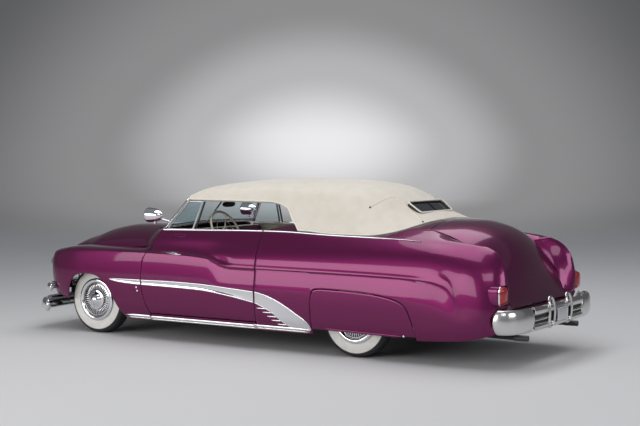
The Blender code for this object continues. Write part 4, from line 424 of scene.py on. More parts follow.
def add_noise(mat, scale, colours=None, rough=None, bump=0.0, distance=0.001):
    """Noise that varies colour between two colours, roughness between two values, and bump."""
    tree = mat.node_tree
    surface = tree.nodes["Principled BSDF"]
    coord = add_node(tree, "TexCoord", {})
    settings = {"Scale": scale, "Detail": 4.0, "Vector": coord.outputs["Object"]}
    noise = add_node(tree, "TexNoise", settings).outputs["Fac"]
    if colours:
        ramp = add_node(tree, "ValToRGB", {"Fac": noise})
        for stop, place, colour in zip(ramp.color_ramp.elements, (0.3, 0.7), colours):
            stop.position = place
            stop.color = (*colour, 1)
        tree.links.new(ramp.outputs["Color"], surface.inputs["Base Color"])
    if rough:
        between = add_node(tree, "MapRange", {"Value": noise, "To Min": rough[0], "To Max": rough[1]})
        tree.links.new(between.outputs["Result"], surface.inputs["Roughness"])
    if bump:
        add_bump(mat, noise, bump, distance)
    return mat


def add_bump(mat, height, strength, distance):
    """Bump from a height, laid over any bump that the material has."""
    tree = mat.node_tree
    normal = tree.nodes["Principled BSDF"].inputs["Normal"]
    bump = add_node(tree, "Bump", {"Strength": strength, "Distance": distance, "Height": height})
    if normal.links:
        tree.links.new(normal.links[0].from_socket, bump.inputs["Normal"])
    tree.links.new(bump.outputs["Normal"], normal)


def add_weave(mat, scale, strength, distance):
    """Crossed fine waves, as in woven cloth."""
    tree = mat.node_tree
    coord = add_node(tree, "TexCoord", {})
    settings = {"Scale": scale, "Distortion": 0.6, "Vector": coord.outputs["Object"]}
    waves = [add_node(tree, "TexWave", settings, bands_direction=d).outputs["Fac"] for d in "XYZ"]
    crossed = add_node(tree, "Math", {0: waves[0], 1: waves[1]}, operation="MULTIPLY")
    both = add_node(tree, "Math", {0: crossed.outputs[0], 1: waves[2]}, operation="ADD")
    add_bump(mat, both.outputs[0], strength, distance)
    return mat


PAINT = add_noise(shader("candy_paint", (0.15, 0.0035, 0.072), 0.32, 0.78, Coat_Weight=1.0,
                         Coat_Roughness=0.04, Coat_IOR=1.36), 900.0,
                  ((0.130, 0.0025, 0.062), (0.175, 0.0045, 0.086)), (0.27, 0.36), 0.04, 0.0002)
CHROME = add_noise(shader("polished_chrome", (0.82, 0.82, 0.84), 0.05, 1.0), 30.0, None, (0.03, 0.09))
SATIN = add_noise(shader("satin_chrome", (0.66, 0.65, 0.64), 0.22, 1.0), 40.0, None, (0.16, 0.26), 0.03,
                  0.0005)
BLACK = add_noise(shader("black_steel", (0.018, 0.018, 0.020), 0.5), 25.0,
                  ((0.014, 0.014, 0.015), (0.03, 0.03, 0.032)), (0.40, 0.60), 0.1, 0.001)
RUBBER = add_noise(shader("tyre_rubber", (0.020, 0.020, 0.021), 0.75), 60.0,
                   ((0.016, 0.016, 0.017), (0.028, 0.028, 0.03)), (0.65, 0.85), 0.15, 0.0008)
WHITEWALL = add_noise(shader("whitewall_rubber", (0.80, 0.79, 0.74), 0.45), 14.0,
                      ((0.74, 0.72, 0.67), (0.82, 0.81, 0.77)), (0.38, 0.52), 0.05, 0.0006)
CANVAS = add_weave(add_noise(shader("cream_canvas", (0.72, 0.67, 0.58), 0.88, Sheen_Weight=0.25,
                                    Sheen_Roughness=0.5), 9.0, ((0.70, 0.65, 0.56), (0.76, 0.71, 0.63)),
                             (0.82, 0.95), 0.08, 0.004), 260.0, 0.22, 0.0006)
BINDING = add_weave(add_noise(shader("cream_binding", (0.80, 0.76, 0.68), 0.7), 20.0,
                              ((0.78, 0.74, 0.66), (0.84, 0.80, 0.73)), (0.6, 0.8), 0.05, 0.001), 500.0,
                    0.2, 0.0004)
LEATHER = add_noise(shader("cream_leather", (0.66, 0.59, 0.48), 0.42, Coat_Weight=0.15), 240.0,
                    ((0.62, 0.55, 0.44), (0.70, 0.63, 0.52)), (0.36, 0.52), 0.25, 0.0008)
CARPET = add_noise(shader("dark_carpet", (0.08, 0.02, 0.05), 0.95), 500.0,
                   ((0.05, 0.012, 0.03), (0.11, 0.03, 0.07)), (0.9, 1.0), 0.6, 0.003)
LENS = add_noise(shader("red_lens", (0.36, 0.006, 0.014), 0.08, Coat_Weight=0.6), 60.0,
                 ((0.28, 0.004, 0.010), (0.42, 0.010, 0.020)), (0.05, 0.12), 0.12, 0.0012)
RESIN = add_noise(shader("cream_resin", (0.78, 0.72, 0.60), 0.22, Coat_Weight=0.4), 12.0,
                  ((0.75, 0.69, 0.57), (0.81, 0.76, 0.65)), (0.18, 0.28))
IRON = add_noise(shader("dark_iron", (0.05, 0.05, 0.055), 0.55, 0.4), 40.0,
                 ((0.03, 0.03, 0.034), (0.07, 0.07, 0.075)), (0.45, 0.7), 0.3, 0.002)
PLATE = add_noise(shader("blank_plate_metal", (0.62, 0.63, 0.66), 0.35, 0.6), 50.0, None, (0.28, 0.42),
                  0.05, 0.0005)
TIP = add_noise(shader("dark_pipe", (0.10, 0.10, 0.10), 0.45, 0.9), 60.0, None, (0.35, 0.6), 0.1, 0.001)
SEAL = add_noise(shader("black_seal", (0.012, 0.012, 0.012), 0.7), 90.0, None, (0.6, 0.8), 0.1, 0.0005)
GLASS_MAT = add_noise(shader("clear_glass", (0.80, 0.90, 0.93), 0.02, Transmission_Weight=1.0, IOR=1.12),
                      6.0, None, (0.0, 0.03))
# Darkened glass: painted shade standing in for the dark cabin seen through the rear window and in the
# mirror
DARK_GLASS_SHADE = add_noise(shader("dark_glass_painted_shade", (0.10, 0.11, 0.12), 0.04, Transmission_Weight=0.6, IOR=1.3), 6.0,
                   None, (0.02, 0.06))


# Meshes

def link(name, data):
    """New object in the scene."""
    obj = bpy.data.objects.new(name, data)
    bpy.context.scene.collection.objects.link(obj)
    return obj


def mesh_of(name, bm, mats):
    """The finished mesh, with its materials."""
    mesh = bpy.data.meshes.new(name)
    bm.to_mesh(mesh)
    bm.free()
    for mat in mats:
        mesh.materials.append(mat)
    return mesh


def to_object(name, bm, mats, angle=40):
    """Object with doubled points joined, its normals outwards, and edges sharp from the angle on."""
    bmesh.ops.remove_doubles(bm, verts=bm.verts, dist=0.00002)
    bmesh.ops.recalc_face_normals(bm, faces=bm.faces)
    mesh = mesh_of(name, bm, mats)
    mesh.shade_smooth()
    mesh.set_sharp_from_angle(angle=math.radians(angle))
    return link(name, mesh)


def turn_to(axis):
    """Rotation that takes Z to the axis."""
    return Vector((0, 0, 1)).rotation_difference(Vector(axis).normalized()).to_matrix()


def join_rings(bm, rings, closed=False, pick=None):
    """Faces from ring to ring; a ring may be one point, and pick(i) names the material after ring i."""
    following = rings[1:] + rings[:1] if closed else rings[1:]
    for number, (low, high) in enumerate(zip(rings, following)):
        count = max(len(low), len(high))
        for k in range(count):
            j = (k + 1) % count
            corners = (low[k % len(low)], low[j % len(low)], high[j % len(high)], high[k % len(high)])
            unique = list(dict.fromkeys(corners))
            if len(unique) > 2:
                face = bm.faces.new(unique)
                face.material_index = pick(number) if pick else 0


def grid_faces(bm, grid, keep=None, index=0):
    """Faces between the points of a grid, where keep(i, j) says so."""
    verts = [[bm.verts.new(p) for p in row] for row in grid]
    for i in range(len(grid) - 1):
        for j in range(len(grid[0]) - 1):
            if keep is None or keep(i, j):
                face = bm.faces.new((verts[i][j], verts[i + 1][j], verts[i + 1][j + 1], verts[i][j + 1]))
                face.material_index = index
    for vert in [v for v in bm.verts if not v.link_faces]:
        bm.verts.remove(vert)
    return verts


def apply_modifiers(obj):
    """Turns the object's modifiers into mesh."""
    evaluated = obj.evaluated_get(bpy.context.evaluated_depsgraph_get())
    mesh = bpy.data.meshes.new_from_object(evaluated)
    obj.modifiers.clear()
    obj.data = mesh
    return obj


def cut_out(piece, hole, angle=40):
    """Takes the hole's shape out of the piece, and the hole out of the scene."""
    cut = piece.modifiers.new("cut", "BOOLEAN")
    cut.operation = "DIFFERENCE"
    cut.solver = "EXACT"
    cut.object = hole
    apply_modifiers(piece)
    bpy.data.objects.remove(hole)
    piece.data.set_sharp_from_angle(angle=math.radians(angle))


def roll_edges(obj, width=0.0022):
    """Rounds the object's sharp edges."""
    bevel = obj.modifiers.new("edge", "BEVEL")
    bevel.width = width
    bevel.segments = 2
    bevel.limit_method = "ANGLE"
    bevel.angle_limit = math.radians(50)


def panel(name, grid, thickness, toward, mat, keep=None, edge=0.0022):
    """Sheet with its outside on the grid, its thickness inwards and rolled edges."""
    bm = bmesh.new()
    grid_faces(bm, grid, keep)
    bmesh.ops.remove_doubles(bm, verts=bm.verts, dist=0.00002)
    bm.normal_update()
    if sum(f.normal.dot(Vector(toward)) * f.calc_area() for f in bm.faces) > 0:
        bmesh.ops.reverse_faces(bm, faces=bm.faces)
    mesh = mesh_of(name, bm, [mat])
    mesh.shade_smooth()
    obj = link(name, mesh)
    solid = obj.modifiers.new("thickness", "SOLIDIFY")
    solid.thickness = thickness
    solid.offset = -1.0
    solid.use_quality_normals = True
    roll_edges(obj, edge)
    return obj


def shell(name, outer, inner, mats):
    """Closed solid between two grids; the inner side takes the second material."""
    bm = bmesh.new()
    a = grid_faces(bm, outer)
    b = grid_faces(bm, inner, index=len(mats) - 1)
    for i in range(len(a) - 1):
        for end in (0, -1):
            bm.faces.new((a[i][end], a[i + 1][end], b[i + 1][end], b[i][end]))
    for j in range(len(a[0]) - 1):
        for end in (0, -1):
            bm.faces.new((a[end][j], a[end][j + 1], b[end][j + 1], b[end][j]))
    obj = to_object(name, bm, mats)
    roll_edges(obj)
    return obj


def box(name, low, high, mat, edge=0.002):
    """Block between two corners with rounded edges."""
    bm = bmesh.new()
    bmesh.ops.create_cube(bm, size=1.0)
    for vert in bm.verts:
        for axis in range(3):
            vert.co[axis] = (low[axis] + high[axis]) / 2 + vert.co[axis] * (high[axis] - low[axis])
    bmesh.ops.bevel(bm, geom=list(bm.edges), offset=edge, segments=2, affect="EDGES", profile=0.5)
    return to_object(name, bm, [mat])


def side_box(name, sign, low, high, mat):
    """Block given on the left side, built on the side that sign names."""
    y = sorted((low[1] * sign, high[1] * sign))
    return box(name, (low[0], y[0], low[2]), (high[0], y[1], high[2]), mat)


def turned(name, profile, centre, axis, mats, segments=64, pick=None):
    """Profile of (radius, depth) turned about an axis; pick(i) names the material of ring i."""
    bm = bmesh.new()
    turn = turn_to(axis)
    rings = []
    for radius, depth in profile:
        steps = circle(segments)[:1 if radius < 1e-6 else segments]
        rings.append([bm.verts.new(Vector(centre) + turn @ Vector((radius * c, radius * s, depth)))
                      for c, s in steps])
    join_rings(bm, rings, pick=pick)
    return to_object(name, bm, mats, 35)


def tube(name, points, radius, mat, sides=10, flat=1.0, up=(0, 0, 1)):
    """Bar along the points; flat squashes it along up, and radius may be a list."""
    points = [Vector(p) for p in points]
    bm = bmesh.new()
    rings = []
    for i, point in enumerate(points):
        ahead = (points[min(i + 1, len(points) - 1)] - points[max(i - 1, 0)]).normalized()
        side = ahead.cross(Vector(up))
        if side.length < 1e-4:
            side = ahead.orthogonal()
        side.normalize()
        normal = side.cross(ahead)
        size = radius[i] if isinstance(radius, (list, tuple)) else radius
        rings.append([bm.verts.new(point + (side * c + normal * s * flat) * size) for c,
                      s in circle(sides)])
    join_rings(bm, rings)
    bm.faces.new(rings[0][::-1])
    bm.faces.new(rings[-1])
    return to_object(name, bm, [mat], 50)


def loop_tube(name, points, radius, mat, sides=8):
    """Closed ring of bar through the points."""
    points = [Vector(p) for p in points]
    bm = bmesh.new()
    rings = []
    for i, point in enumerate(points):
        ahead = (points[(i + 1) % len(points)] - points[i - 1]).normalized()
        side = ahead.orthogonal() if i == 0 else (side - ahead * side.dot(ahead))
        side.normalize()
        normal = ahead.cross(side)
        rings.append([bm.verts.new(point + (side * c + normal * s) * radius) for c, s in circle(sides)])
    join_rings(bm, rings, closed=True)
    return to_object(name, bm, [mat], 50)


def merge(name, pieces):
    """Joins mesh objects into one, keeping each one's materials."""
    bm = bmesh.new()
    mats = []
    for piece in pieces:
        if piece.modifiers:
            apply_modifiers(piece)
        mats += [mat for mat in piece.data.materials if mat not in mats]
        index = [mats.index(mat) for mat in piece.data.materials]
        start = len(bm.faces)
        bm.from_mesh(piece.data)
        bm.faces.ensure_lookup_table()
        for face in bm.faces[start:]:
            face.material_index = index[face.material_index]
    mesh = mesh_of(name, bm, mats)
    for piece in pieces:
        bpy.data.objects.remove(piece)
    return link(name, mesh)


def show(piece, slot, *nodes, on="body"):
    """Gives the piece its body and hides the frame's nodes that it replaces; slot is not used."""
    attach(piece, on)
    if nodes:
        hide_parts(*nodes)
    return piece


def fitted(name, profile, centre, axis, mat, segments, slot):
    """Turned piece of one material on the body."""
    show(turned(name, profile, centre, axis, [mat], segments), slot)


def for_sides(make):
    """Builds both sides of what make(side, sign) builds."""
    return [make(side, sign) for side, sign in SIDES]


def other_side(p):
    """The point mirrored across the car's middle."""
    return (p[0], -p[1], p[2])


def whole_row(half):
    """Left half of a row, from the edge to the middle, made whole."""
    return half + [other_side(p) for p in half[-2::-1]]


def smooth_run(points, count):
    """Points along a smooth curve through the given ones."""
    return [tuple(p) for p in along(points, np.linspace(0, len(points) - 1, count))]


def side_xz(x, z, out=0.0):
    """Point of the left body side seen at x and z, pushed outwards by out."""
    last = K_STEP if x > FENDER_S else K_BELT
    lines = SIDE[:K_STEP + 1] if x > FENDER_S else SIDE
    run = along([feature(line, x) for line in lines], np.linspace(0, last, 161))
    i = float(np.interp(z, run[:, 2], np.arange(len(run))))
    p = np.array([np.interp(i, np.arange(len(run)), run[:, k]) for k in range(3)])
    return p + np.array([0, out, 0])


def door_wall_y(z):
    """How far out the door's inner wall stands at a height."""
    return DOOR_FOOT_Y + (DOOR_TOP_Y - DOOR_FOOT_Y) * (z - DOOR_BOTTOM_Z) / (DOOR_TOP_Z - DOOR_BOTTOM_Z)


# Body panels

def door_edge(v, floor_z=0.0):
    """Where the door's front edge crosses the row v."""
    return profile_at(DOOR_FRONT, side_row(FENDER_S - 0.001, [v], floor_z)[0][2])


def front_fenders():
    """Front wings from the door gap round the nose, open at the wheel and the headlamp."""
    stations = [FENDER_S, 1.25, 1.33, 1.40, 1.47, 1.55, 1.63, 1.73, 1.88, 2.02, 2.11, 2.16, 2.185,
                2.30, 2.42, 2.54, 2.66, 2.80, 2.95]
    columns = dense([v for v in SIDE_V if v <= K_STEP], 5)
    edges = {v: door_edge(v) for v in columns}
    grid = []
    for s in dense(stations, 5):
        fade = max(0.0, 1 - (s - FENDER_S) / 0.18)
        if fade > 0:
            grid.append([side_row(s + (edges[v] + SEAM - FENDER_S) * fade, [v])[0] for v in columns])
        else:
            grid.append(side_row(s, columns))

    def make(side, sign):
        piece = panel("fender_skin_" + side, flip(grid, sign), SKIN, (-0.3, -sign, -0.6), PAINT)
        profile = [(0, -0.2), (LAMP_RADIUS, -0.2), (LAMP_RADIUS, 0.2), (0, 0.2)]
        cut_out(piece, turned("lamp_cutter", profile, (LAMP_X, LAMP_Y * sign, LAMP_Z), (1, 0, 0), [PAINT]))
        show(piece, "body_paint", "front_fender_" + side)
        lip = [side_xz(x, z + 0.004, -0.008) for x, z in smooth_arch(FRONT_ARCH, 60)]
        show(tube("arch_lip_front_" + side, flip([lip], sign)[0], 0.006, PAINT, 8), "body_paint")
    for_sides(make)


def smooth_arch(table, count):
    """Points (x, z) evenly spaced along an arch table."""
    line = monotone(range(len(table)), table, np.linspace(0, len(table) - 1, 400))
    length = np.concatenate([[0], np.cumsum(np.linalg.norm(np.diff(line, axis=0), axis=1))])
    at = np.linspace(0, length[-1], count)
    return list(zip(np.interp(at, length, line[:, 0]), np.interp(at, length, line[:, 1])))


def hem_x(v):
    """Front end of the quarter panel in the row v: the door's edge, or the top's hem above the belt."""
    return DOOR_REAR_X if v <= K_BELT else profile_at(DECK_HEM, v)


def quarter_panels():
    """Rear quarters from the door to the tail, with the wheel opening and the lamp's hole."""
    base = [-2.80, -2.65, -2.50, -2.35, -2.20, -2.15, -2.10, -1.98, -1.785, -1.765, -1.735, -1.690,
            -1.630, -1.52, -1.30, -1.033, -0.85, -0.77, -0.735, -0.720, -0.712, -0.50, -0.30,
            DOOR_REAR_X - SEAM]
    stations = dense(base, 5)
    columns = dense(SIDE_V + [8.5, 9, 10], 5)
    low = [v for v in columns if v <= K_BELT]
    high = [v for v in columns if v > K_BELT]
    ends = {v: side_row(hem_x(v), [v])[0] for v in high}
    grid = []
    for s in stations:
        row = list(side_row(s, low))
        upper = side_row(s, high)
        row += [ends[v] if s > hem_x(v) else upper[k] for k, v in enumerate(high)]
        grid.append(row)

    def keep(i, j):
        return columns[j] < K_BELT or stations[i] < hem_x(columns[j]) - 1e-4

    def make(side, sign):
        piece = panel("quarter_skin_" + side, flip(grid, sign), SKIN, (0.3, -sign, -0.4), PAINT, keep)
        cut_out(piece, stacked("tail_lamp_cutter", [(-2.419, 1.008), (-2.570, 1.008)], sign, PAINT))
        show(piece, "body_paint", "quarter_panel_" + side)
        lip = [side_xz(x, z + 0.004, -0.008) for x, z in smooth_arch(SKIRT_ARCH, 90)]
        show(tube("arch_lip_rear_" + side, flip([lip], sign)[0], 0.005, PAINT, 8), "body_paint")
    for_sides(make)


def fender_skirts():
    """Panels that close the rear wheel openings."""
    stations = spread(SKIRT_ARCH[0][0] + 3 * SEAM, SKIRT_ARCH[-1][0] - 2 * SEAM, 80)
    grid = []
    for s in stations:
        inward = -SEAM if s < -1.2 else SEAM
        top = min(profile_at(SKIRT_ARCH, s), profile_at(SKIRT_ARCH, s + inward)) - 1.5 * SEAM
        points = [feature(line, s) for line in SIDE]
        fine = np.linspace(0, K_CREST, 61)
        heights = along(points, fine)[:, 2]
        zs = [SKIRT_BOTTOM_Z + (max(top, SKIRT_BOTTOM_Z + 0.02) - SKIRT_BOTTOM_Z) * k
              for k in spread(0, 1, 24)]
        grid.append(along(points, np.interp(zs, heights, fine)))

    def make(side, sign):
        piece = panel("skirt_skin_" + side, flip(grid, sign), SKIN, (0, -sign, 0), PAINT)
        show(piece, "body_paint", "fender_skirt_" + side)
    for_sides(make)


def doors():
    """Door shells: the painted side outside and a trimmed wall inside."""
    columns = dense(SIDE_V, 5)
    fronts = {v: door_edge(v, DOOR_BOTTOM_Z) for v in columns}
    outer, inner = [], []
    for u in spread(0, 1, 56):
        row, back = [], []
        for v in columns:
            s = DOOR_REAR_X + (fronts[v] - DOOR_REAR_X) * u
            p = side_row(min(s, FENDER_S - 0.001), [v], DOOR_BOTTOM_Z)[0]
            if s > FENDER_S - 0.001:
                q = side_row(s, [min(v, K_STEP)], DOOR_BOTTOM_Z)[0]
                p = q if v <= K_STEP else np.array([s, p[1], p[2]])
            row.append(p)
            y = door_wall_y(p[2])
            shift = 0.17 * (DOOR_SKIN_Y - y) * (1 - u)**4 - 0.02 * u**4
            back.append(np.array([p[0] + shift, y, p[2]]))
        outer.append(row)
        inner.append(back)

    def make(side, sign):
        body = "door_" + side
        show(shell("door_skin_" + side, flip(outer, sign), flip(inner, sign), [PAINT, LEATHER]),
             "body_paint", body, on=body)
    for_sides(make)


def hood():
    """Hood across the whole nose, with corners lifted beside its hinges."""
    rows = []
    stations = dense([COWL_FRONT_X + SEAM, 1.42, 1.52, 1.70, 1.90, 2.10, 2.28, 2.42, 2.54, 2.64, 2.72,
                      2.80], 5)
    for s in stations:
        half = []
        edge = hood_point(s, 0)[1]
        lift = HOOD_CORNER_LIFT * max(0.0, 1 - (s - COWL_FRONT_X) / 0.30)
        for w in dense([0.0, 0.08, 0.18, 0.32, 0.5, 0.75, 1.0], 6):
            p = hood_point(s, w + lift * (1 - w))
            p[1] *= (edge - SEAM) / edge
            half.append(p)
        rows.append(whole_row(half))
    show(panel("hood_skin", rows, LID_SKIN, (-0.3, 0, -1), PAINT), "body_paint", "hood", on="hood")


def cowl():
    """Panel between hood and windshield, with three vent slats."""
    columns = dense([0.0, 0.03, 0.07, 0.12, 0.17, 0.22, 0.32, 0.5, 0.75, 1.0], 4)
    rows = []
    for u in spread(0, 1, 22):
        half = []
        for w in columns:
            beside = hood_point(1.11, w)
            share = 1 - min(beside[1] / PILLAR_BASE[1], 1)
            rear = on_bar(PILLAR_BASE, SCREEN_BASE, share)[0] + SCREEN_BAR_RADIUS
            if beside[1] > DOOR_TOP_Y - 2 * SEAM:
                rear = profile_at(DOOR_FRONT, min(beside[2], DOOR_TOP_Z)) + SEAM
            p = hood_point(rear + (COWL_FRONT_X - SEAM / 2 - rear) * u, w)
            edge = hood_point(rear, 0)[1]
            p[1] *= (edge - 2 * SEAM) / edge
            half.append(p)
        rows.append(whole_row(half))
    show(panel("cowl_skin", rows, SKIN, (0, 0, -1), PAINT), "body_paint")
    across = spread(-0.16, 0.16, 9)
    for k, letter in enumerate("abc"):
        x = 1.19 + 0.025 * k
        slat = [hood_point(x, 1 - abs(y) / hood_point(x, 0)[1]) for y in across]
        run = [(p[0], y, p[2] + 0.0008) for p, y in zip(slat, across)]
        show(tube("cowl_vent_" + letter, run, 0.005, CHROME, 8, 0.4), "chrome")


def deck():
    """Fixed deck behind the top, the trunk lid, and the panel below it."""
    rows = []
    last = LID_FRONT_S - SEAM / 2
    for u in spread(0, 1, 18):
        across = [(y, profile_at(DECK_FRONT, abs(y))) for y in spread(-LID_HALF, LID_HALF, 61)]
        rows.append([deck_point(first + (last - first) * u, y) for y, first in across])
    show(panel("deck_skin", rows, SKIN, (0, 0, -1), PAINT), "body_paint", "deck_panel")
    stations = [LID_FRONT_S, 0.47, 0.52, 0.57, 0.62, 0.66, 0.70, 0.74, 0.78, 0.82, 0.87, 0.92, 0.965, 0.99]
    across = dense([-1, -0.93, -0.8, -0.6, -0.35, 0, 0.35, 0.6, 0.8, 0.93, 1], 5)
    rows = [[deck_point(s, (LID_HALF - SEAM) * k) for k in across] for s in dense(stations, 5)]
    show(panel("trunk_skin", rows, LID_SKIN, (0.5, 0, -0.8), PAINT), "body_paint", "trunk_lid",
         on="trunk_lid")
    rows = []
    for z in spread(0.325, LID_BOTTOM_Z - 2 * SEAM, 14):
        x = feature(ROCKER, -2.8)[0] - 0.021 * math.sin(min(1.0, (z - 0.32) / 0.12) * math.pi / 2)
        rows.append([(x, y, z) for y in spread(0.0022 - LID_SIDE, LID_SIDE - 0.0022, 9)])
    show(panel("tail_skin", rows, SKIN, (1, 0, 0), PAINT), "body_paint", "tail_panel")


# Padded top

def padded_top():
    """Padded cloth top with the rear window in it."""
    stations = dense([TOP_FRONT_S, 0.80, 0.72, 0.50, 0.15, -0.10, -0.22, -0.32, -0.40, -0.45, -0.485,
                      -0.60, -0.80, -1.02, -1.18, -1.35, -1.55, -1.78, TOP_REAR_S], 6)
    columns = dense([0, 1, 1.6, 2, 2.5, 3, 4, 5], 6)
    rows = [whole_row([tuple(p) for p in top_row(s, columns)]) for s in stations]
    top = apply_modifiers(panel("top_cloth", rows, PAD, (0.2, 0, -1), CANVAS, edge=0.008))
    turn = Matrix.Translation(WINDOW_MIDDLE) @ Matrix.Rotation(math.radians(WINDOW_ANGLE), 4, "Y")
    cut_out(top, prism("window_cutter", window_outline(0.0), -0.12, 0.12, CANVAS, turn), 38)
    show(top, "canvas", "padded_top")
    for name, shrink, depth, radius, mat in (("window_binding", -0.004, 0.002, 0.0075, BINDING),
                                             ("window_gasket", 0.004, -0.010, 0.006, SEAL)):
        ring = [turn @ Vector((x, y, depth)) for x, y in window_outline(shrink)]
        show(loop_tube(name, ring, radius, mat), "canvas")
    # The rear pane is darkened glass, painted shade for the dark cabin behind it
    glass = prism("window_pane", window_outline(0.003), -0.022, -0.017, DARK_GLASS_SHADE, turn)
    show(glass, "glass", "rear_window")
    divider = [turn @ Vector((x, -0.055, -0.012)) for x in spread(-0.074, 0.074, 8)]
    show(tube("window_divider", divider, 0.005, SEAL, 8), "canvas")
    top_piping()


def top_piping():
    """Bindings along the top's hem, side windows, front edge and rear panel."""
    hem = [tuple(top_row(s, [0.0])[0]) for s in spread(-0.49, TOP_REAR_S, 70)]
    show(tube("hem_piping", whole_row(hem), 0.0075, BINDING), "canvas")
    for side, sign in SIDES:
        edge = [top_row(s, [0.0])[0] for s in spread(TOP_FRONT_S, -0.494, 90)]
        show(tube("window_piping_" + side, flip([edge], sign)[0], 0.0065, BINDING), "canvas")
        seam = seam_arc()
        show(tube("side_seam_" + side, flip([seam], sign)[0], 0.0042, BINDING, 8), "canvas")
        for k, spot in enumerate((seam[0], seam[-1])):
            out = (spot[0] + 0.35, spot[1] * sign, spot[2] - 1.15)
            fitted(f"snap_{side}_{k}", [(0, 0.006), (0.007, 0.005), (0.010, 0.0), (0.010, -0.003)],
                   (spot[0], spot[1] * sign, spot[2]), out, SEAL, 20, "canvas")
    front = [tuple(p) for p in top_row(TOP_FRONT_S, spread(0.9, 5, 40))]
    show(tube("front_piping", whole_row(front), 0.006, BINDING), "canvas")


def window_outline(shrink):
    """Rear window's rounded outline; its lower edge is a little shorter than its upper one."""
    half_x = WINDOW_SIZE[0] / 2 - shrink
    corner = 0.035 - shrink / 2
    points = []
    for cx, cy, start in ((1, 1, 0), (-1, 1, 90), (-1, -1, 180), (1, -1, 270)):
        half_y = WINDOW_SIZE[1] / 2 - shrink - (0.012 if cx < 0 else 0.0)
        for k in range(7):
            a = math.radians(start + 15 * k)
            points.append(((half_x - corner) * cx + corner * math.cos(a),
                           (half_y - corner) * cy + corner * math.sin(a)))
    return points


def prism(name, outline, low, high, mat, turn=None):
    """Outline in X and Y drawn out along Z, then moved by turn."""
    bm = bmesh.new()
    first = [bm.verts.new((x, y, low)) for x, y in outline]
    last = [bm.verts.new((x, y, high)) for x, y in outline]
    bm.faces.new(first[::-1])
    bm.faces.new(last)
    for i in range(len(outline)):
        j = (i + 1) % len(outline)
        bm.faces.new((first[i], first[j], last[j], last[i]))
    if turn:
        bm.transform(turn)
    return to_object(name, bm, [mat])


def seam_arc():
    """Seam round the rear window's panel, from the side of the top down to the hem."""
    knots = [(-1.086, 2.08), (-1.134, 2.45), (-1.166, 2.70), (-1.213, 2.99), (-1.261, 3.14), (-1.325, 3.14),
             (-1.373, 2.90), (-1.421, 2.50), (-1.469, 2.10), (-1.501, 1.36), (-1.533, 0.22)]
    line = monotone(range(len(knots)), knots, np.linspace(0, len(knots) - 1, 60))
    return [top_row(s, [v])[0] for s, v in line]


# Windshield and vent windows

PILLAR_BASE = (1.056, 0.740, 1.080)
PILLAR_TOP = (0.880, 0.612, 1.350)
SCREEN_BASE = (1.125, 0.0, 1.094)
SCREEN_TOP = (0.868, 0.0, 1.392)
PILLAR_RADIUS = 0.017
HEADER_RADIUS = 0.016
SCREEN_BAR_RADIUS = 0.009


def bend(a, b, c):
    """Points on a smooth curve through three."""
    return smooth_run([a, b, c], 41)


def on_bar(a, b, share):
    """Point of a bowed bar, from its left end at 0 to its middle at 1."""
    run = np.array(bend(a, b, other_side(a)))
    return np.array([np.interp(share, np.linspace(0, 2, len(run)), run[:, k]) for k in range(3)])


def windshield():
    """Bright frame, the two panes and the mirror."""
    pieces = [tube("header", bend(PILLAR_TOP, SCREEN_TOP, other_side(PILLAR_TOP)), HEADER_RADIUS, CHROME,
                   16), tube("base_bar", bend(PILLAR_BASE, SCREEN_BASE, other_side(PILLAR_BASE)),
                             SCREEN_BAR_RADIUS, CHROME, 14),
              tube("centre_bar", [SCREEN_BASE, SCREEN_TOP], SCREEN_BAR_RADIUS, CHROME, 14)]
    for side, sign in SIDES:
        ends = flip([[PILLAR_BASE, PILLAR_TOP]], sign)[0]
        pieces.append(tube("pillar_" + side, ends, PILLAR_RADIUS, CHROME, 18))
    show(merge("windshield_bright_frame", pieces), "chrome", "windshield_frame")
    for_sides(screen_half)
    arm = tube("mirror_arm", [(0.874, 0, 1.374), (0.862, 0, 1.345), (0.856, 0, 1.300)], 0.005, CHROME)
    case = superbox("mirror_case", (0.846, 0.0, 1.284), (0.011, 0.108, 0.028), SEAL, 2.6)
    face = superbox("mirror_face", (0.8405, 0.0, 1.284), (0.0070, 0.100, 0.023), DARK_GLASS_SHADE, 2.6)
    for piece in (arm, case, face):
        show(piece, "chrome")


def screen_half(side, sign):
    """Half of the windshield glass with its seal, and the knob on the pillar beside it."""
    outer, inner = [[], []], [[], []]
    for share in spread(0.030, 0.983, 24):
        low = on_bar(PILLAR_BASE, SCREEN_BASE, share)
        high = on_bar(PILLAR_TOP, SCREEN_TOP, share)
        up = (high - low) / np.linalg.norm(high - low)
        half = np.array([up[2], 0, -up[0]]) * 0.0025
        for row, p in enumerate((low + up * 0.006, high - up * 0.012)):
            outer[row].append(p + half)
            inner[row].append(p - half)
    pane = shell("screen_pane_" + side, flip(outer, sign), flip(inner, sign), [GLASS_MAT])
    show(pane, "glass", "windshield_glass_" + side)
    run = [p + np.array([0, 0, 0.012]) for p in outer[0]]
    show(tube("screen_seal_" + side, flip([run], sign)[0], 0.006, SEAL, 8), "black_steel")
    knob = [(0, 0.020), (0.006, 0.019), (0.010, 0.012), (0.009, 0.004), (0.005, 0.0), (0.005, -0.010),
            (0, -0.010)]
    spot = (PILLAR_TOP[0] - 0.01, (PILLAR_TOP[1] + 0.020) * sign, PILLAR_TOP[2] - 0.004)
    show(turned("pillar_knob_" + side, knob, spot, (0, sign, 0), [CHROME], 24), "chrome")


def superbox(name, middle, half, mat, power):
    """Rounded block: a superellipsoid with its half sizes."""
    bm = bmesh.new()
    rings = []
    for i in range(1, 20):
        lat = math.pi * (i / 20 - 0.5)
        wide, high = squared(math.cos(lat), 2 / power), squared(math.sin(lat), 2 / power)
        rings.append([bm.verts.new((middle[0] + half[0] * wide * squared(c, 2 / power),
                                    middle[1] + half[1] * wide * squared(s, 2 / power),
                                    middle[2] + half[2] * high)) for c, s in circle(40)])
    join_rings(bm, rings)
    bm.faces.new(rings[0][::-1])
    bm.faces.new(rings[-1])
    return to_object(name, bm, [mat], 60)


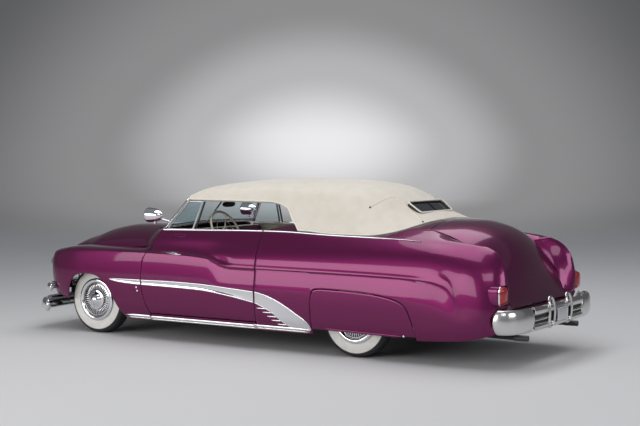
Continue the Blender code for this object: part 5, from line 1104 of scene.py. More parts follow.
def vent_windows():
    """Vent pane in each door with its frame, divider and rear post."""
    low_rear, low_front = (0.690, 0.750), (1.046, 0.746)
    high_rear, high_front = (0.668, 0.628), (0.865, 0.622)

    def make(side, sign):
        door = "door_" + side
        low = [(x, y, feature(BELT, x)[2] + 0.001) for x, y in (low_rear, low_front)]
        high = [(x, y, 1.338) for x, y in (high_rear, high_front)]
        corners = np.array([low[0], low[1], high[1], high[0]])
        middle = np.mean(corners, axis=0)
        inset = middle + (corners - middle) * 0.965
        plate = [[p + np.array([0, 0.0025, 0]) for p in row] for row in (inset[:2], inset[:1:-1])]
        back = [[p - np.array([0, 0.005, 0]) for p in row] for row in plate]
        pane = shell("vent_pane_" + side, flip(plate, sign), flip(back, sign), [GLASS_MAT])
        show(pane, "glass", "vent_window_" + side, on=door)
        divider = [inset[0] + (inset[1] - inset[0]) * 0.10, inset[3] + (inset[2] - inset[3]) * 0.14]
        for name, run, radius, mat, sides, slot in (
            ("vent_frame_", inset, 0.0065, CHROME, 12, "chrome"),
            ("vent_divider_", divider, 0.0100, PLATE, 12, "chrome"),
            ("vent_post_", inset[::3], 0.0080, SEAL, 10, "black_steel")):
            show(tube(name + side, flip([run], sign)[0], radius, mat, sides), slot, on=door)
    for_sides(make)


# Cowl structure and hinges

FIREWALL_X = 1.262
FLOOR_Z = 0.300


def hinge_pieces():
    """Firewall, hinge posts and the leaves of every hinge."""
    show(box("firewall_sheet", (FIREWALL_X, -0.58, 0.30), (FIREWALL_X + 0.015, 0.58, 1.066), BLACK,
             0.003), "black_steel", "cowl")
    for side, sign in SIDES:
        leaf_y = HOOD_LEAF_Y + HINGE_LEAF + FIT
        fixed = [side_box("hinge_post_" + side, sign, (POST_X[0], POST_Y[0], FLOOR_Z),
                          (POST_X[1], POST_Y[1], 0.890), PAINT),
                 side_box("kick_panel_" + side, sign, (POST_X[1] - 0.006, 0.570, FLOOR_Z),
                          (FIREWALL_X + 0.009, POST_Y[1] - 0.004, 0.880), BLACK),
                 side_box("post_leaf_" + side, sign, (POST_X[0] - 0.030, 0.712, LEAF_Z + FIT),
                          (POST_X[0] + 0.010, 0.735, LEAF_Z + FIT + HINGE_LEAF), BLACK),
                 side_box("cowl_leaf_" + side, sign, (FIREWALL_X + 0.008, leaf_y, 0.990),
                          (COWL_FRONT_X + 0.043, leaf_y + HINGE_LEAF, 1.038), BLACK),
                 side_box("deck_leaf_" + side, sign, (LID_FRONT_X - 0.055, LID_LEAF_Y, 1.130),
                          (LID_FRONT_X + 0.055, LID_LEAF_Y + HINGE_LEAF, 1.160), BLACK),
                 side_box("deck_leaf_foot_" + side, sign, (LID_FRONT_X + 0.010, LID_LEAF_Y, 1.130),
                          (LID_FRONT_X + 0.055, LID_LEAF_Y + HINGE_LEAF, 1.193), BLACK)]
        for piece in fixed:
            show(piece, "black_steel")
        show(side_box("door_leaf_" + side, sign, (POST_X[0] - 0.090, 0.712, LEAF_Z - HINGE_LEAF),
                      (POST_X[0] - 0.008, 0.772, LEAF_Z), BLACK), "body_paint", on="door_" + side)
        show(side_box("hood_leaf_" + side, sign, (COWL_FRONT_X - 0.047, HOOD_LEAF_Y, 0.995),
                      (COWL_FRONT_X + 0.073, HOOD_LEAF_Y + HINGE_LEAF, 1.057), BLACK), "body_paint",
             on="hood")
        low = LID_LEAF_Y + HINGE_LEAF + FIT
        lid = [side_box("lid_leaf_" + side, sign, (LID_FRONT_X - 0.055, low, 1.130),
                        (LID_FRONT_X - 0.012, low + HINGE_LEAF, 1.184), BLACK),
               side_box("lid_leaf_arm_" + side, sign, (LID_FRONT_X - 0.020, low, 1.130),
                        (LID_FRONT_X + 0.055, low + HINGE_LEAF, 1.166), BLACK)]
        for piece in lid:
            show(piece, "body_paint", on="trunk_lid")


# Wheels

WHITEWALL_R = (0.2125, 0.2985)


def tyre(name, centre, sign, body, node):
    """Tyre with a whitewall ring and five zigzag grooves."""
    upper = [(0.2015, 0.061), (0.207, 0.069), (0.213, 0.0745), (0.216, 0.0755), (0.219, 0.0765),
             (0.240, 0.0805), (0.262, 0.0820), (0.280, 0.0818), (0.295, 0.0795), (0.2975, 0.0785),
             (0.300, 0.0790), (0.308, 0.0765), (0.317, 0.0715), (0.325, 0.0630), (0.331, 0.0560),
             (0.3335, 0.050)]
    grooves = []
    for middle in (0.040, 0.020, 0.0, -0.020, -0.040):
        grooves += [(0.3346, middle + 0.003), (0.327, middle + 0.0022), (0.327, middle - 0.0022),
                    (0.3346, middle - 0.003)]
    profile = upper + grooves + [(r, -d) for r, d in upper[::-1]]
    first, last = len(upper), len(upper) + len(grooves)
    turn = turn_to((0, sign, 0))
    bm = bmesh.new()
    rings = []
    for k, (radius, depth) in enumerate(profile):
        zigzag = 0.0022 if first <= k < last else 0.0
        rings.append([bm.verts.new(Vector(centre) + turn @ Vector((radius * c, radius * s,
                                                                   depth + (zigzag if i % 2 else -zigzag))))
                      for i, (c, s) in enumerate(circle(120))])

    def is_white(k):
        (r, d), (next_r, next_d) = profile[k], profile[(k + 1) % len(profile)]
        return int(WHITEWALL_R[0] < (r + next_r) / 2 < WHITEWALL_R[1] and d > 0 and next_d > 0)
    join_rings(bm, rings, closed=True, pick=is_white)
    show(to_object(name, bm, [RUBBER, WHITEWALL], 50), "tyre", node, on=body)


def wheel(name, centre, sign, body, node):
    """Wheel disc with a finned cover; two rings of its profile and the groove behind the fins are dark."""
    axis = (0, sign, 0)
    cover = [(0.2005, 0.062), (0.206, 0.072), (0.2135, 0.079), (0.2145, 0.083), (0.211, 0.090),
             (0.202, 0.0965), (0.190, 0.0985), (0.180, 0.0965), (0.172, 0.091), (0.168, 0.084),
             (0.166, 0.080), (0.163, 0.080), (0.161, 0.0825), (0.158, 0.085), (0.152, 0.086)]
    groove = [(0.152, 0.086), (0.150, 0.080), (0.146, 0.0785), (0.104, 0.0815), (0.101, 0.084),
              (0.098, 0.0895)]
    dome = [(0.098, 0.0895), (0.094, 0.0915), (0.088, 0.0925), (0.080, 0.0935), (0.074, 0.0960),
            (0.069, 0.1010), (0.062, 0.1090), (0.053, 0.1175), (0.042, 0.1265), (0.030, 0.1340),
            (0.018, 0.1390), (0.008, 0.1412), (0, 0.1418)]
    profile = cover + groove[1:] + dome[1:]
    dark = [9, 10] + list(range(len(cover) - 1, len(cover) + len(groove) - 2))
    face = turned(name + "_cover", profile, centre, axis, [CHROME, SEAL], 96, lambda i: int(i in dark))
    fins = []
    for k in range(40):
        bm = bmesh.new()
        bmesh.ops.create_cube(bm, size=1.0)
        for vert in bm.verts:
            wide, lift = (0.0035, 0.0012) if vert.co.x < 0 else (0.0052, 0)
            vert.co = Vector((0.1255 + vert.co.x * 0.044, vert.co.y * 2 * wide,
                              0.0815 + vert.co.z * 0.009 + lift))
        bmesh.ops.bevel(bm, geom=list(bm.edges), offset=0.0015, segments=2, affect="EDGES", profile=0.5)
        bm.transform(Matrix.Translation(centre) @ turn_to(axis).to_4x4()
                     @ Matrix.Rotation(2 * math.pi * k / 40, 4, "Z"))
        fins.append(to_object("fin", bm, [CHROME]))
    rim = turned(name + "_rim", [(0.2000, 0.058), (0.1865, 0.045), (0.1865, -0.045), (0.2000, -0.058),
                                 (0.2000, -0.073), (0.1800, -0.069), (0.1500, 0.020), (0.150, 0.0265),
                                 (0, 0.0265)], centre, axis, [BLACK], 64)
    whole = merge(name, [face, rim] + fins)
    whole.data.set_sharp_from_angle(angle=math.radians(35))
    show(whole, "chrome", node, on=body)


def wheels():
    """Tyre and disc at each corner."""
    for axle, x in (("front", FRONT_AXLE_X), ("rear", REAR_AXLE_X)):
        for side, sign in SIDES:
            centre = (x, HALF_TRACK * sign, TYRE_RADIUS)
            body = f"wheel_{axle}_{side}"
            tyre(f"tyre_skin_{axle}_{side}", centre, sign, body, f"tyre_{axle}_{side}")
            wheel(f"wheel_disc_{axle}_{side}", centre, sign, body, body)


# Bright work

def sweep_bar(name, path, section, mat, round_ends=0.0):
    """Closed section of (outward, z) carried along a path seen from above."""
    path = [Vector((p[0], p[1], 0)) for p in path]
    length = [0.0]
    for a, b in zip(path, path[1:]):
        length.append(length[-1] + (b - a).length)
    mid_out = sum(p[0] for p in section) / len(section)
    mid_z = sum(p[1] for p in section) / len(section)
    bm = bmesh.new()
    rings = []
    for i, point in enumerate(path):
        ahead = path[min(i + 1, len(path) - 1)] - path[max(i - 1, 0)]
        out = Vector((ahead.y, -ahead.x, 0)).normalized()
        near = min(length[i], length[-1] - length[i])
        scale = 1.0
        if round_ends and near < round_ends:
            scale = max(0.06, math.sqrt(max(0.0, 1 - (1 - near / round_ends) ** 2)))
        rings.append([bm.verts.new(point + out * (mid_out + (d - mid_out) * (0.35 + 0.65 * scale))
                                   + Vector((0, 0, mid_z + (z - mid_z) * scale))) for d, z in section])
    join_rings(bm, rings)
    bm.faces.new(rings[0])
    bm.faces.new(rings[-1][::-1])
    return to_object(name, bm, [mat], 50)


def full_path(half, count):
    """Left half of a path made whole."""
    smooth = smooth_run(half, count)
    return [(p[0], -p[1]) for p in smooth[:0:-1]] + smooth


def bumper_section(low, high, depth, back, lip=0.012):
    """Half-round section of a bumper bar, hollow behind."""
    mid, height = (low + high) / 2, (high - low) / 2
    face = [(depth * math.cos(a), mid + height * math.sin(a)) for a in
            (math.radians(-90 + 180 * k / 24) for k in range(25))]
    inner = [(back, high - lip), (back + 0.005, high - lip - 0.004), (depth - 0.012, mid + height * 0.35),
             (depth - 0.008, mid), (depth - 0.012, mid - height * 0.35), (back + 0.005, low + lip + 0.004),
             (back, low + lip)]
    return face + inner


def guard(name, sign, low_z, high_z, y):
    """Upright bow beside the plate: a rounded ring of bar that leans back at its top and foot."""
    mid_y, mid_z = (y[0] + y[1]) / 2, (low_z + high_z) / 2
    wide, tall = (y[1] - y[0]) / 2, (high_z - low_z) / 2
    ring = []
    for c, s in circle(48):
        up = squared(s, GUARD_POWER)
        ring.append((GUARD_X - 0.018 * (1 - up * up), (mid_y + wide * squared(c, GUARD_POWER)) * sign,
                     mid_z + tall * up))
    return loop_tube(name, ring, 0.0150, SATIN, 14)


def bumpers():
    """Front and rear bumper bars with guards, arms, studs and the blank plate."""
    low_path = [(2.6885, 0.0), (2.680, 0.35), (2.645, 0.65), (2.553, 0.85), (2.425, 0.920)]
    high_path = [(2.600, 0.0), (2.598, 0.35), (2.582, 0.62), (2.530, 0.79), (2.455, 0.885), (2.385, 0.925)]
    pieces = [sweep_bar("bumper_low", full_path(low_path, 60),
                        bumper_section(0.190, 0.325, 0.0365, -0.012), CHROME, 0.055),
              sweep_bar("bumper_high", full_path(high_path, 60),
                        bumper_section(0.400, 0.480, 0.0275, -0.010), CHROME, 0.035)]
    for side, sign in SIDES:
        pieces += [side_box("front_arm_" + side, sign, (2.400, RAIL_Y[0], 0.302),
                            (2.678, RAIL_Y[1], 0.322), BLACK),
                   side_box("front_stay_" + side, sign, (2.592, RAIL_Y[0], 0.312),
                            (2.604, RAIL_Y[1], 0.450), BLACK)]
    show(merge("front_bumper_bright", pieces), "chrome", "front_bumper")
    rear = [(-2.675, 0.0), (-2.673, 0.40), (-2.663, 0.68), (-2.635, 0.83), (-2.575, 0.905), (-2.480, 0.928)]
    smooth = full_path(rear, 90)[::-1]
    centre = [p for p in smooth if abs(p[1]) < CAP_START]
    core, top, foot = (bumper_section(0.335, 0.500, 0.012, -0.014),
                       bumper_section(0.440, 0.520, 0.0295, -0.012, 0.006),
                       bumper_section(0.315, 0.375, 0.0240, -0.012, 0.006))
    pieces = [sweep_bar("rear_bar", centre, section, mat)
              for section, mat in ((core, SEAL), (top, SATIN), (foot, SATIN))]
    for sign in (1, -1):
        run = [p for p in smooth if p[1] * sign > CAP_START - 0.03]
        pieces.append(sweep_bar("bumper_cap", run, bumper_section(0.315, 0.520, 0.0295, -0.014), SATIN,
                                0.05))
        pieces.append(turned("cap_button", [(0, 0.010), (0.012, 0.009), (0.020, 0.004), (0.022, -0.004)],
                             (-2.668, 0.760 * sign, 0.418), (-1, 0.25 * sign, 0), [CHROME], 32))
    for side, sign in SIDES:
        pieces += [side_box("rear_arm_" + side, sign, (-2.655, RAIL_Y[0], 0.330),
                            (-2.420, RAIL_Y[1], 0.350), BLACK),
                   guard("guard_" + side, sign, 0.322, 0.570, (0.140, 0.255)),
                   sweep_bar("mid_bar", [p for p in smooth if 0.25 < p[1] * sign < CAP_START + 0.01],
                             bumper_section(0.392, 0.420, 0.024, 0.0, 0.004), SATIN),
                   turned("bar_stud", [(0, 0.012), (0.010, 0.010), (0.016, 0.004), (0.017, -0.010)],
                          (-2.692, 0.415 * sign, 0.482), (-1, 0, 0), [CHROME], 32)]
    show(merge("rear_bumper_bright", pieces), "chrome", "rear_bumper")
    plate = box("plate_blank", (-2.7203, -0.105, 0.350), (-2.7120, 0.105, 0.475), PLATE, 0.0015)
    rim = [(-2.7200, y, z) for y, z in ((-0.103, 0.352), (0.103, 0.352), (0.103, 0.473), (-0.103, 0.473))]
    ring = []
    for a, b in zip(rim, rim[1:] + rim[:1]):
        ring += [tuple(np.array(a) + (np.array(b) - np.array(a)) * k / 10) for k in range(10)]
    show(merge("plate_and_rim", [plate, loop_tube("plate_rim", ring, 0.0035, CHROME)]), "plate",
         "blank_plate")


def grille():
    """Three bars with teeth between them, bowed with the nose."""
    def row(z, x):
        return [(x - 0.030 * (y / 0.5)**2, y, z) for y in spread(-0.500, 0.500, 41)]
    pieces = [tube("grille_top", row(0.700, 2.510), 0.0155, CHROME, 16),
              tube("grille_low", row(0.445, 2.515), 0.0195, CHROME, 16),
              tube("grille_mid", row(0.572, 2.530), 0.0275, CHROME, 20)]
    steps = spread(0, 1, 15)
    sizes = [0.007 + 0.004 * math.sin(math.pi * t) for t in steps]
    for y in spread(-0.42, 0.42, 9):
        x = 2.506 - 0.030 * (y / 0.5)**2
        run = [(x + 0.006 * math.sin(math.pi * t), y, 0.445 + 0.255 * t) for t in steps]
        pieces.append(tube("tooth", run, sizes, CHROME, 12))
    for y in (-0.3, 0.3):
        pieces.append(box("stay", (2.3003, y - 0.01, 0.56), (2.51, y + 0.01, 0.58), BLACK))
    show(merge("grille_bright", pieces), "chrome", "grille")


# How far the lamp's face lies behind the CAD solid's
LAMP_RECESS = 0.026


def headlamps():
    """Bezel, reflector, bulb and glass."""
    def make(side, sign):
        centre = (LAMP_X - LAMP_RECESS, LAMP_Y * sign, LAMP_Z)
        bezel = turned("bezel_" + side, [(0.075, -0.050), (0.0995, -0.020), (0.0995, 0.020),
                                         (0.0985, 0.030), (0.0955, 0.040), (0.0915, 0.046),
                                         (0.0875, 0.0475), (0.0845, 0.045), (0.0825, 0.040),
                                         (0.0815, 0.030)], centre, (1, 0, 0), [CHROME], 80)
        bowl = turned("reflector_" + side, [(0.0815, 0.030), (0.070, 0.008), (0.050, -0.012),
                                            (0.025, -0.024), (0, -0.028)], centre, (1, 0, 0), [CHROME],
                      64)
        bulb = turned("bulb_" + side, [(0, 0.012), (0.008, 0.008), (0.010, 0.0), (0.008, -0.014),
                                       (0.006, -0.024)], centre, (1, 0, 0), [PLATE], 24)
        show(merge("headlamp_body_" + side, [bezel, bowl, bulb]), "chrome", "headlamp_" + side)
        fitted("lamp_glass_" + side, [(0.0818, 0.039), (0.066, 0.0500), (0.048, 0.0570), (0.026, 0.0612),
                                      (0, 0.0625), (0, 0.0585), (0.026, 0.0572), (0.048, 0.0530),
                                      (0.066, 0.0460), (0.0800, 0.036)], centre, (1, 0, 0), GLASS_MAT,
               64, "glass")
    for_sides(make)


def tail_lamps():
    """Painted pod, bright frame and domed red lens."""
    def make(side, sign):
        pod = stacked("tail_pod_" + side, [(-2.420, 0.97), (-2.490, 1.0), (-2.508, 1.0), (-2.511, 0.97)],
                      sign, PAINT)
        show(pod, "body_paint")
        frame_piece = stacked("tail_frame_" + side,
                              [(-2.500, 0.93), (-2.514, 0.985), (-2.520, 0.975), (-2.524, 0.945),
                               (-2.522, 0.90), (-2.512, 0.885)], sign, CHROME)
        show(frame_piece, "chrome", "tail_lamp_" + side)
        dome = [(-2.512, 0.89), (-2.526, 0.885), (-2.536, 0.86), (-2.543, 0.81), (-2.548, 0.72),
                (-2.5515, 0.52), (-2.553, 0.22)]
        lens = stacked("tail_lens_" + side, dome, sign, LENS)
        show(lens, "lens")
    for_sides(make)


def stacked(name, sections, sign, mat):
    """Tail lamp outlines at several x, joined into a solid."""
    bm = bmesh.new()
    rings = []
    for x, share in sections:
        rings.append([bm.verts.new((x, TAIL_Y * sign + TAIL_HALF[0] * share * squared(c, TAIL_POWER),
                                    TAIL_Z + TAIL_HALF[1] * share * squared(s, TAIL_POWER)))
                      for c, s in circle(48)])
    bm.faces.new(rings[0])
    bm.faces.new(rings[-1][::-1])
    join_rings(bm, rings)
    return to_object(name, bm, [mat])


def spotlights():
    """Lamp on a bent stem from each windshield pillar."""
    def make(side, sign):
        centre = (1.150, 0.800 * sign, 1.200)
        shell_piece = turned("spot_shell_" + side,
                             [(0, -0.0995), (0.006, -0.099), (0.013, -0.0955), (0.026, -0.0850),
                              (0.039, -0.0700), (0.051, -0.0490), (0.060, -0.0250), (0.0665, 0.0020),
                              (0.0700, 0.0300), (0.0722, 0.0560), (0.0728, 0.0690), (0.0722, 0.0770),
                              (0.0690, 0.0815), (0.0655, 0.0800), (0.0635, 0.0760)], centre, (1, 0, 0),
                             [CHROME], 72)
        bowl = turned("spot_bowl_" + side, [(0.0635, 0.0760), (0.055, 0.050), (0.035, 0.025),
                                            (0, 0.012)], centre, (1, 0, 0), [CHROME], 48)
        route = smooth_run([(1.021, 0.715, 1.134), (1.066, 0.745, 1.150), (1.110, 0.775, 1.165),
                            (1.150, 0.797, 1.178)], 24)
        stem = tube("spot_stem_" + side, flip([route], sign)[0], 0.0085, CHROME, 14)
        boss = turned("spot_boss_" + side, [(0, 0.016), (0.012, 0.014), (0.016, 0.006), (0.016, -0.004),
                                            (0.010, -0.010), (0, -0.010)], (1.150, 0.799 * sign, 1.128),
                      (0, 0, -1), [CHROME], 32)
        show(merge("spotlight_body_" + side, [shell_piece, bowl, stem, boss]), "chrome",
             "spotlight_" + side)
        fitted("spot_glass_" + side, [(0.0640, 0.0765), (0.050, 0.0855), (0.030, 0.0925), (0, 0.0955),
                                      (0, 0.0925), (0.030, 0.0895), (0.050, 0.0825), (0.0620, 0.0745)],
               centre, (1, 0, 0), GLASS_MAT, 48, "glass")
    for_sides(make)


def strip(name, run, sign, half_height, thick, body, mat=None):
    """Bright moulding of flat oval section along a run; half_height may be a list."""
    run = flip([run], sign)[0]
    sizes = half_height if isinstance(half_height, list) else [half_height] * len(run)
    piece = tube(name, run, sizes, mat or CHROME, 14, 1.0, (0, 1, 0))
    middle = [np.array(p) for p in run]
    for i, vert in enumerate(piece.data.vertices):
        ring = min(i // 14, len(middle) - 1)
        base = middle[ring][1]
        vert.co.y = base + (vert.co.y - base) * thick / max(sizes[ring], 1e-6)
    return show(piece, "chrome", on=body)


# Spear on the side: its upper and lower edge as (x, z); it widens rearwards into the gravel shield
SPEAR_TOP = [(1.605, 0.574), (1.207, 0.576), (0.866, 0.580), (0.514, 0.575), (0.171, 0.556),
             (-0.115, 0.538)]
SPEAR_LOW = [(1.605, 0.566), (1.466, 0.548), (1.207, 0.537), (0.866, 0.533), (0.514, 0.525),
             (0.171, 0.489), (-0.115, 0.443)]
BELT_TIP_X = -1.75
DOOR_EDGE_X = 1.203


def tapered(size, count, end, reach):
    """Sizes along a strip, thinned at both ends to a share of the size, over reach steps."""
    return [size * min(1.0, end + min(k, count - 1 - k) / reach) for k in range(count)]


def edge_of(table, x):
    """Height of an edge at x, from a table that runs rearwards."""
    return float(monotone([-p[0] for p in table], [p[1] for p in table], -x)[0, 0])


def spear_band(name, start, end, count, sign, body):
    """Hollow-faced bright band between the spear's edges, with a rolled line along each edge."""
    grid = []
    for x in spread(start, end, count):
        low, top = edge_of(SPEAR_LOW, x), edge_of(SPEAR_TOP, x)
        grid.append([side_xz(x, low + (top - low) * k, 0.0035 - 0.0025 * math.sin(math.pi * k))
                     for k in spread(0, 1, 11)])
    band = panel(name, flip(grid, sign), 0.004, (0, -sign, 0), CHROME, edge=0.0008)
    show(band, "chrome", on=body)
    for table, kind in ((SPEAR_TOP, "_upper_"), (SPEAR_LOW, "_lower_")):
        run = [side_xz(x, edge_of(table, x)) for x in spread(start, end, count)]
        sizes = [0.0062 * (min(1.0, 0.2 + k / 8) if start > 1.5 else 1.0) for k in range(count)]
        strip(name + kind + "edge", run, sign, sizes, 0.0038, body)


def trims():
    """Belt strips, spears, rocker mouldings and ornaments of both sides."""
    def make(side, sign):
        door = "door_" + side
        belt = [feature(BELT, s) + np.array([0, 0.0015, 0.002])
                for s in spread(1.045, DOOR_REAR_X + 0.004, 60)]
        strip("belt_strip_door_" + side, belt, sign, 0.0085, 0.006, door)
        rear = [feature(BELT, s) + np.array([0, 0.0015, 0.002])
                for s in spread(DOOR_REAR_X - 0.012, BELT_TIP_X, 70)]
        sizes = [0.0085 * min(1.0, (1 - t) * 3 + 0.12) for t in spread(0, 1, 70)]
        strip("belt_strip_quarter_" + side, rear, sign, sizes, 0.006, "body")
        spear_band("spear_fender_" + side, SPEAR_TOP[0][0], DOOR_EDGE_X + 0.010, 40, sign, "body")
        spear_band("spear_door_" + side, DOOR_EDGE_X - 0.004, DOOR_REAR_X + 0.006, 90, sign, door)
        for name, z, out, height, mat in (("rocker_bright_", 0.226, 0.0035, 0.0125, CHROME),
                                          ("rocker_dark_", 0.203, -0.002, 0.009, SATIN)):
            run = [side_xz(x, z, out) for x in spread(1.425, -0.690, 120)]
            clear = 0.9300 if mat is CHROME else 0.9120
            run = [(p[0], max(p[1], clear) if DOOR_REAR_X < p[0] < 1.12 else p[1], p[2]) for p in run]
            strip(name + side, run, sign, tapered(height, 120, 0.15, 5), 0.006, "body", mat)
        ornament(side, sign)
    for_sides(make)


def shield_inner(low, z):
    """Where the shield's lower edge passes a height."""
    xs = spread(-0.132, -0.640, 80)
    return min(xs, key=lambda x: abs(profile_at(low, x) - z))


def ornament(side, sign):
    """Small bright pieces: crest on the crease, keyed ring, two studs, skirt fold and stud."""
    door = "door_" + side
    run = [side_xz(x, edge_of([(0.92, 0.852), (0.72, 0.842)], x), 0.004) for x in spread(0.915, 0.725, 30)]
    sizes = [0.004 + 0.010 * math.sin(math.pi * t)**2 for t in spread(0, 1, 30)]
    strip("crest_bar_" + side, run, sign, sizes, 0.009, door)
    wing = [side_xz(x, 0.852 + 0.008 * math.sin(9 * (x - 0.75)), 0.006) for x in spread(0.86, 0.77, 16)]
    strip("crest_wing_" + side, wing, sign, 0.005, 0.012, door)
    ring = [side_xz(0.818 + 0.066 * c, 1.016 + 0.012 * s, 0.001) for c, s in circle(40)]
    show(loop_tube("door_pull_ring_" + side, flip([ring], sign)[0], 0.0026, PAINT, 8), "body_paint",
         on=door)
    for k, (x, z) in enumerate(((1.262, 0.504), (1.250, 0.472))):
        spot = side_xz(x, z)
        fitted(f"fender_stud_{side}_{k}", [(0, 0.006), (0.006, 0.0055), (0.010, 0.003), (0.011, -0.003)],
               (spot[0], spot[1] * sign, spot[2]), (0, sign, 0), CHROME, 24, "chrome")
    fold = [side_xz(x, 0.252 - 0.014 * (x + 0.80) / -0.85, 0.002) for x in spread(-0.835, -1.640, 60)]
    strip("skirt_fold_" + side, fold, sign, tapered(0.012, 60, 0.2, 6), 0.007, "body", PAINT)
    spot = side_xz(-1.653, 0.243)
    fitted("skirt_stud_" + side, [(0, 0.010), (0.007, 0.009), (0.011, 0.004), (0.012, -0.002)],
           (spot[0], spot[1] * sign, spot[2]), (0, sign, 0), CHROME, 24, "chrome")


def gravel_shields():
    """Bright shield before each rear wheel, with rolled edges and five teeth."""
    top = [(-0.712, 0.238), (-0.700, 0.262), (-0.664, 0.303), (-0.600, 0.343), (-0.500, 0.402),
           (-0.400, 0.455), (-0.300, 0.496), (-0.200, 0.525), (-0.132, 0.5365)]
    low = [(-0.712, 0.222), (-0.662, 0.218), (-0.483, 0.247), (-0.441, 0.270), (-0.291, 0.373),
           (-0.132, 0.440)]
    grid = []
    for s in spread(-0.710, -0.132, 60):
        a, b = profile_at(low, s), profile_at(top, s)
        row = []
        for share in spread(0, 1, 14):
            row.append(side_xz(s, a + (b - a) * share, 0.0035 - 0.0025 * math.sin(math.pi * share)))
        grid.append(row)

    def make(side, sign):
        piece = panel("shield_bright_" + side, flip(grid, sign), 0.004, (0, -sign, 0), CHROME, edge=0.0012)
        show(piece, "chrome", "gravel_shield_" + side)
        for table, kind in ((top, "upper"), (low, "lower")):
            run = [side_xz(s, profile_at(table, s)) for s in spread(-0.132, -0.700, 50)]
            strip(f"shield_{kind}_edge_{side}", run, sign, 0.0062, 0.0038, "body")
        for k in range(5):
            z = 0.392 - 0.034 * k
            inner = shield_inner(low, z)
            run = [side_xz(x, z) for x in spread(inner + 0.105, inner - 0.015, 12)]
            sizes = [0.0062 * math.sqrt(max(0.08, 1 - t**4)) for t in spread(-1, 1, 12)]
            strip(f"shield_tooth_{side}_{k}", run, sign, sizes, 0.0038, "body", CHROME)
    for_sides(make)


# Cabin

WHEEL_CENTRE = (0.620, 0.360, 1.045)
COLUMN_ANGLE = math.radians(28.0)


def steering():
    """Steering wheel with three spokes and a horn ring."""
    axis = Vector((-math.cos(COLUMN_ANGLE), 0, math.sin(COLUMN_ANGLE)))
    centre = Vector(WHEEL_CENTRE)
    turn = turn_to(axis)
    ring = [centre + turn @ Vector((0.205 * c, 0.205 * s, 0)) for c, s in circle(96)]
    rim = loop_tube("rim", ring, 0.0108, RESIN, 14)
    hub = turned("hub", [(0, -0.05), (0.020, -0.05), (0.027, -0.030), (0.032, -0.020), (0.034, -0.004),
                         (0.030, 0.004)], centre, axis, [RESIN], 48)
    button = turned("button", [(0.030, 0.004), (0.026, 0.010), (0.018, 0.014), (0.008, 0.0158),
                               (0, 0.016)], centre, axis, [CHROME], 48)
    horn = [centre - axis * 0.004 + turn @ Vector((0.120 * c, 0.120 * s, 0)) for c, s in circle(72)]
    pieces = [rim, hub, button, loop_tube("horn_ring", horn, 0.0035, CHROME, 10)]
    for k in range(3):
        a = math.radians(90 + 120 * k)
        out = turn @ Vector((math.cos(a), math.sin(a), 0))
        run = [centre - axis * (0.012 * (1 - t)) + out * (0.020 + 0.180 * t) for t in spread(0, 1, 12)]
        pieces.append(tube("spoke", run, [0.0085 - 0.003 * math.sin(math.pi * t)
                                          for t in spread(0, 1, 12)], RESIN, 12))
    wheel_piece = merge("steering_wheel_cream", pieces)
    wheel_piece.data.set_sharp_from_angle(angle=math.radians(40))
    show(wheel_piece, "wheel_rim", "steering_wheel", on="steering_wheel")


def dashboard():
    """Board, pad, dials, speaker bars, glove lid and knobs."""
    outline = [(1.064, 1.040), (0.980, 1.042), (0.958, 1.038), (0.945, 1.030), (0.935, 1.012),
               (0.930, 0.990), (0.930, 0.950), (0.935, 0.905), (0.945, 0.878), (0.965, 0.860),
               (0.995, 0.860), (0.995, 0.985), (1.064, 0.985)]
    turn = Matrix(((1, 0, 0, 0), (0, 0, -1, 0), (0, 1, 0, 0), (0, 0, 0, 1)))
    board = prism("dash_board", outline, -0.700, 0.700, PAINT, turn)
    show(board, "body_paint", "dashboard")
    show(box("dash_pad", (0.950, -0.690, 1.0405), (1.060, 0.690, 1.0445), LEATHER, 0.002), "leather")
    show(tube("dash_strip", [(0.930, y, 0.985) for y in spread(-0.69, 0.69, 30)], 0.005, CHROME, 12),
         "chrome")
    dial = turned("speed_dial", [(0, -0.006), (0.050, -0.006), (0.052, 0.004), (0.056, 0.006),
                                 (0.060, 0.002), (0.060, -0.006)], (0.932, 0.36, 0.930), (-1, 0, 0),
                  [SEAL, CHROME], 64, lambda i: 0 if i < 1 else 1)
    show(dial, "chrome")
    needle = box("dial_needle", (0.9285, 0.358, 0.905), (0.9295, 0.362, 0.955), RESIN, 0.0004)
    show(needle, "chrome")
    for k in range(4):
        y = 0.24 if k < 2 else 0.48
        z = 0.950 if k % 2 else 0.905
        small = turned(f"small_dial_{k}", [(0, -0.004), (0.016, -0.004), (0.017, 0.004), (0.020, 0.004),
                                           (0.021, -0.004)], (0.933, y, z), (-1, 0, 0), [SEAL, CHROME],
                       40, lambda i: 0 if i < 1 else 1)
        show(small, "chrome")
    for k in range(9):
        z = 0.885 + 0.011 * k
        show(box(f"speaker_bar_{k}", (0.9270, -0.085, z - 0.003), (0.9345, 0.085, z + 0.003), CHROME,
                 0.001), "chrome")
    show(box("glove_lid", (0.9285, -0.560, 0.893), (0.9335, -0.220, 0.968), PAINT, 0.004), "body_paint")
    for k, (y, z) in enumerate(((-0.39, 0.955), (0.12, 0.900), (0.155, 0.900), (0.60, 0.905),
                                (0.60, 0.945))):
        fitted(f"dash_knob_{k}", [(0, 0.022), (0.008, 0.020), (0.010, 0.014), (0.007, 0.006),
                                  (0.004, 0.0), (0.004, -0.004)], (0.930, y, z), (-1, 0, 0), RESIN, 24,
               "wheel_rim")


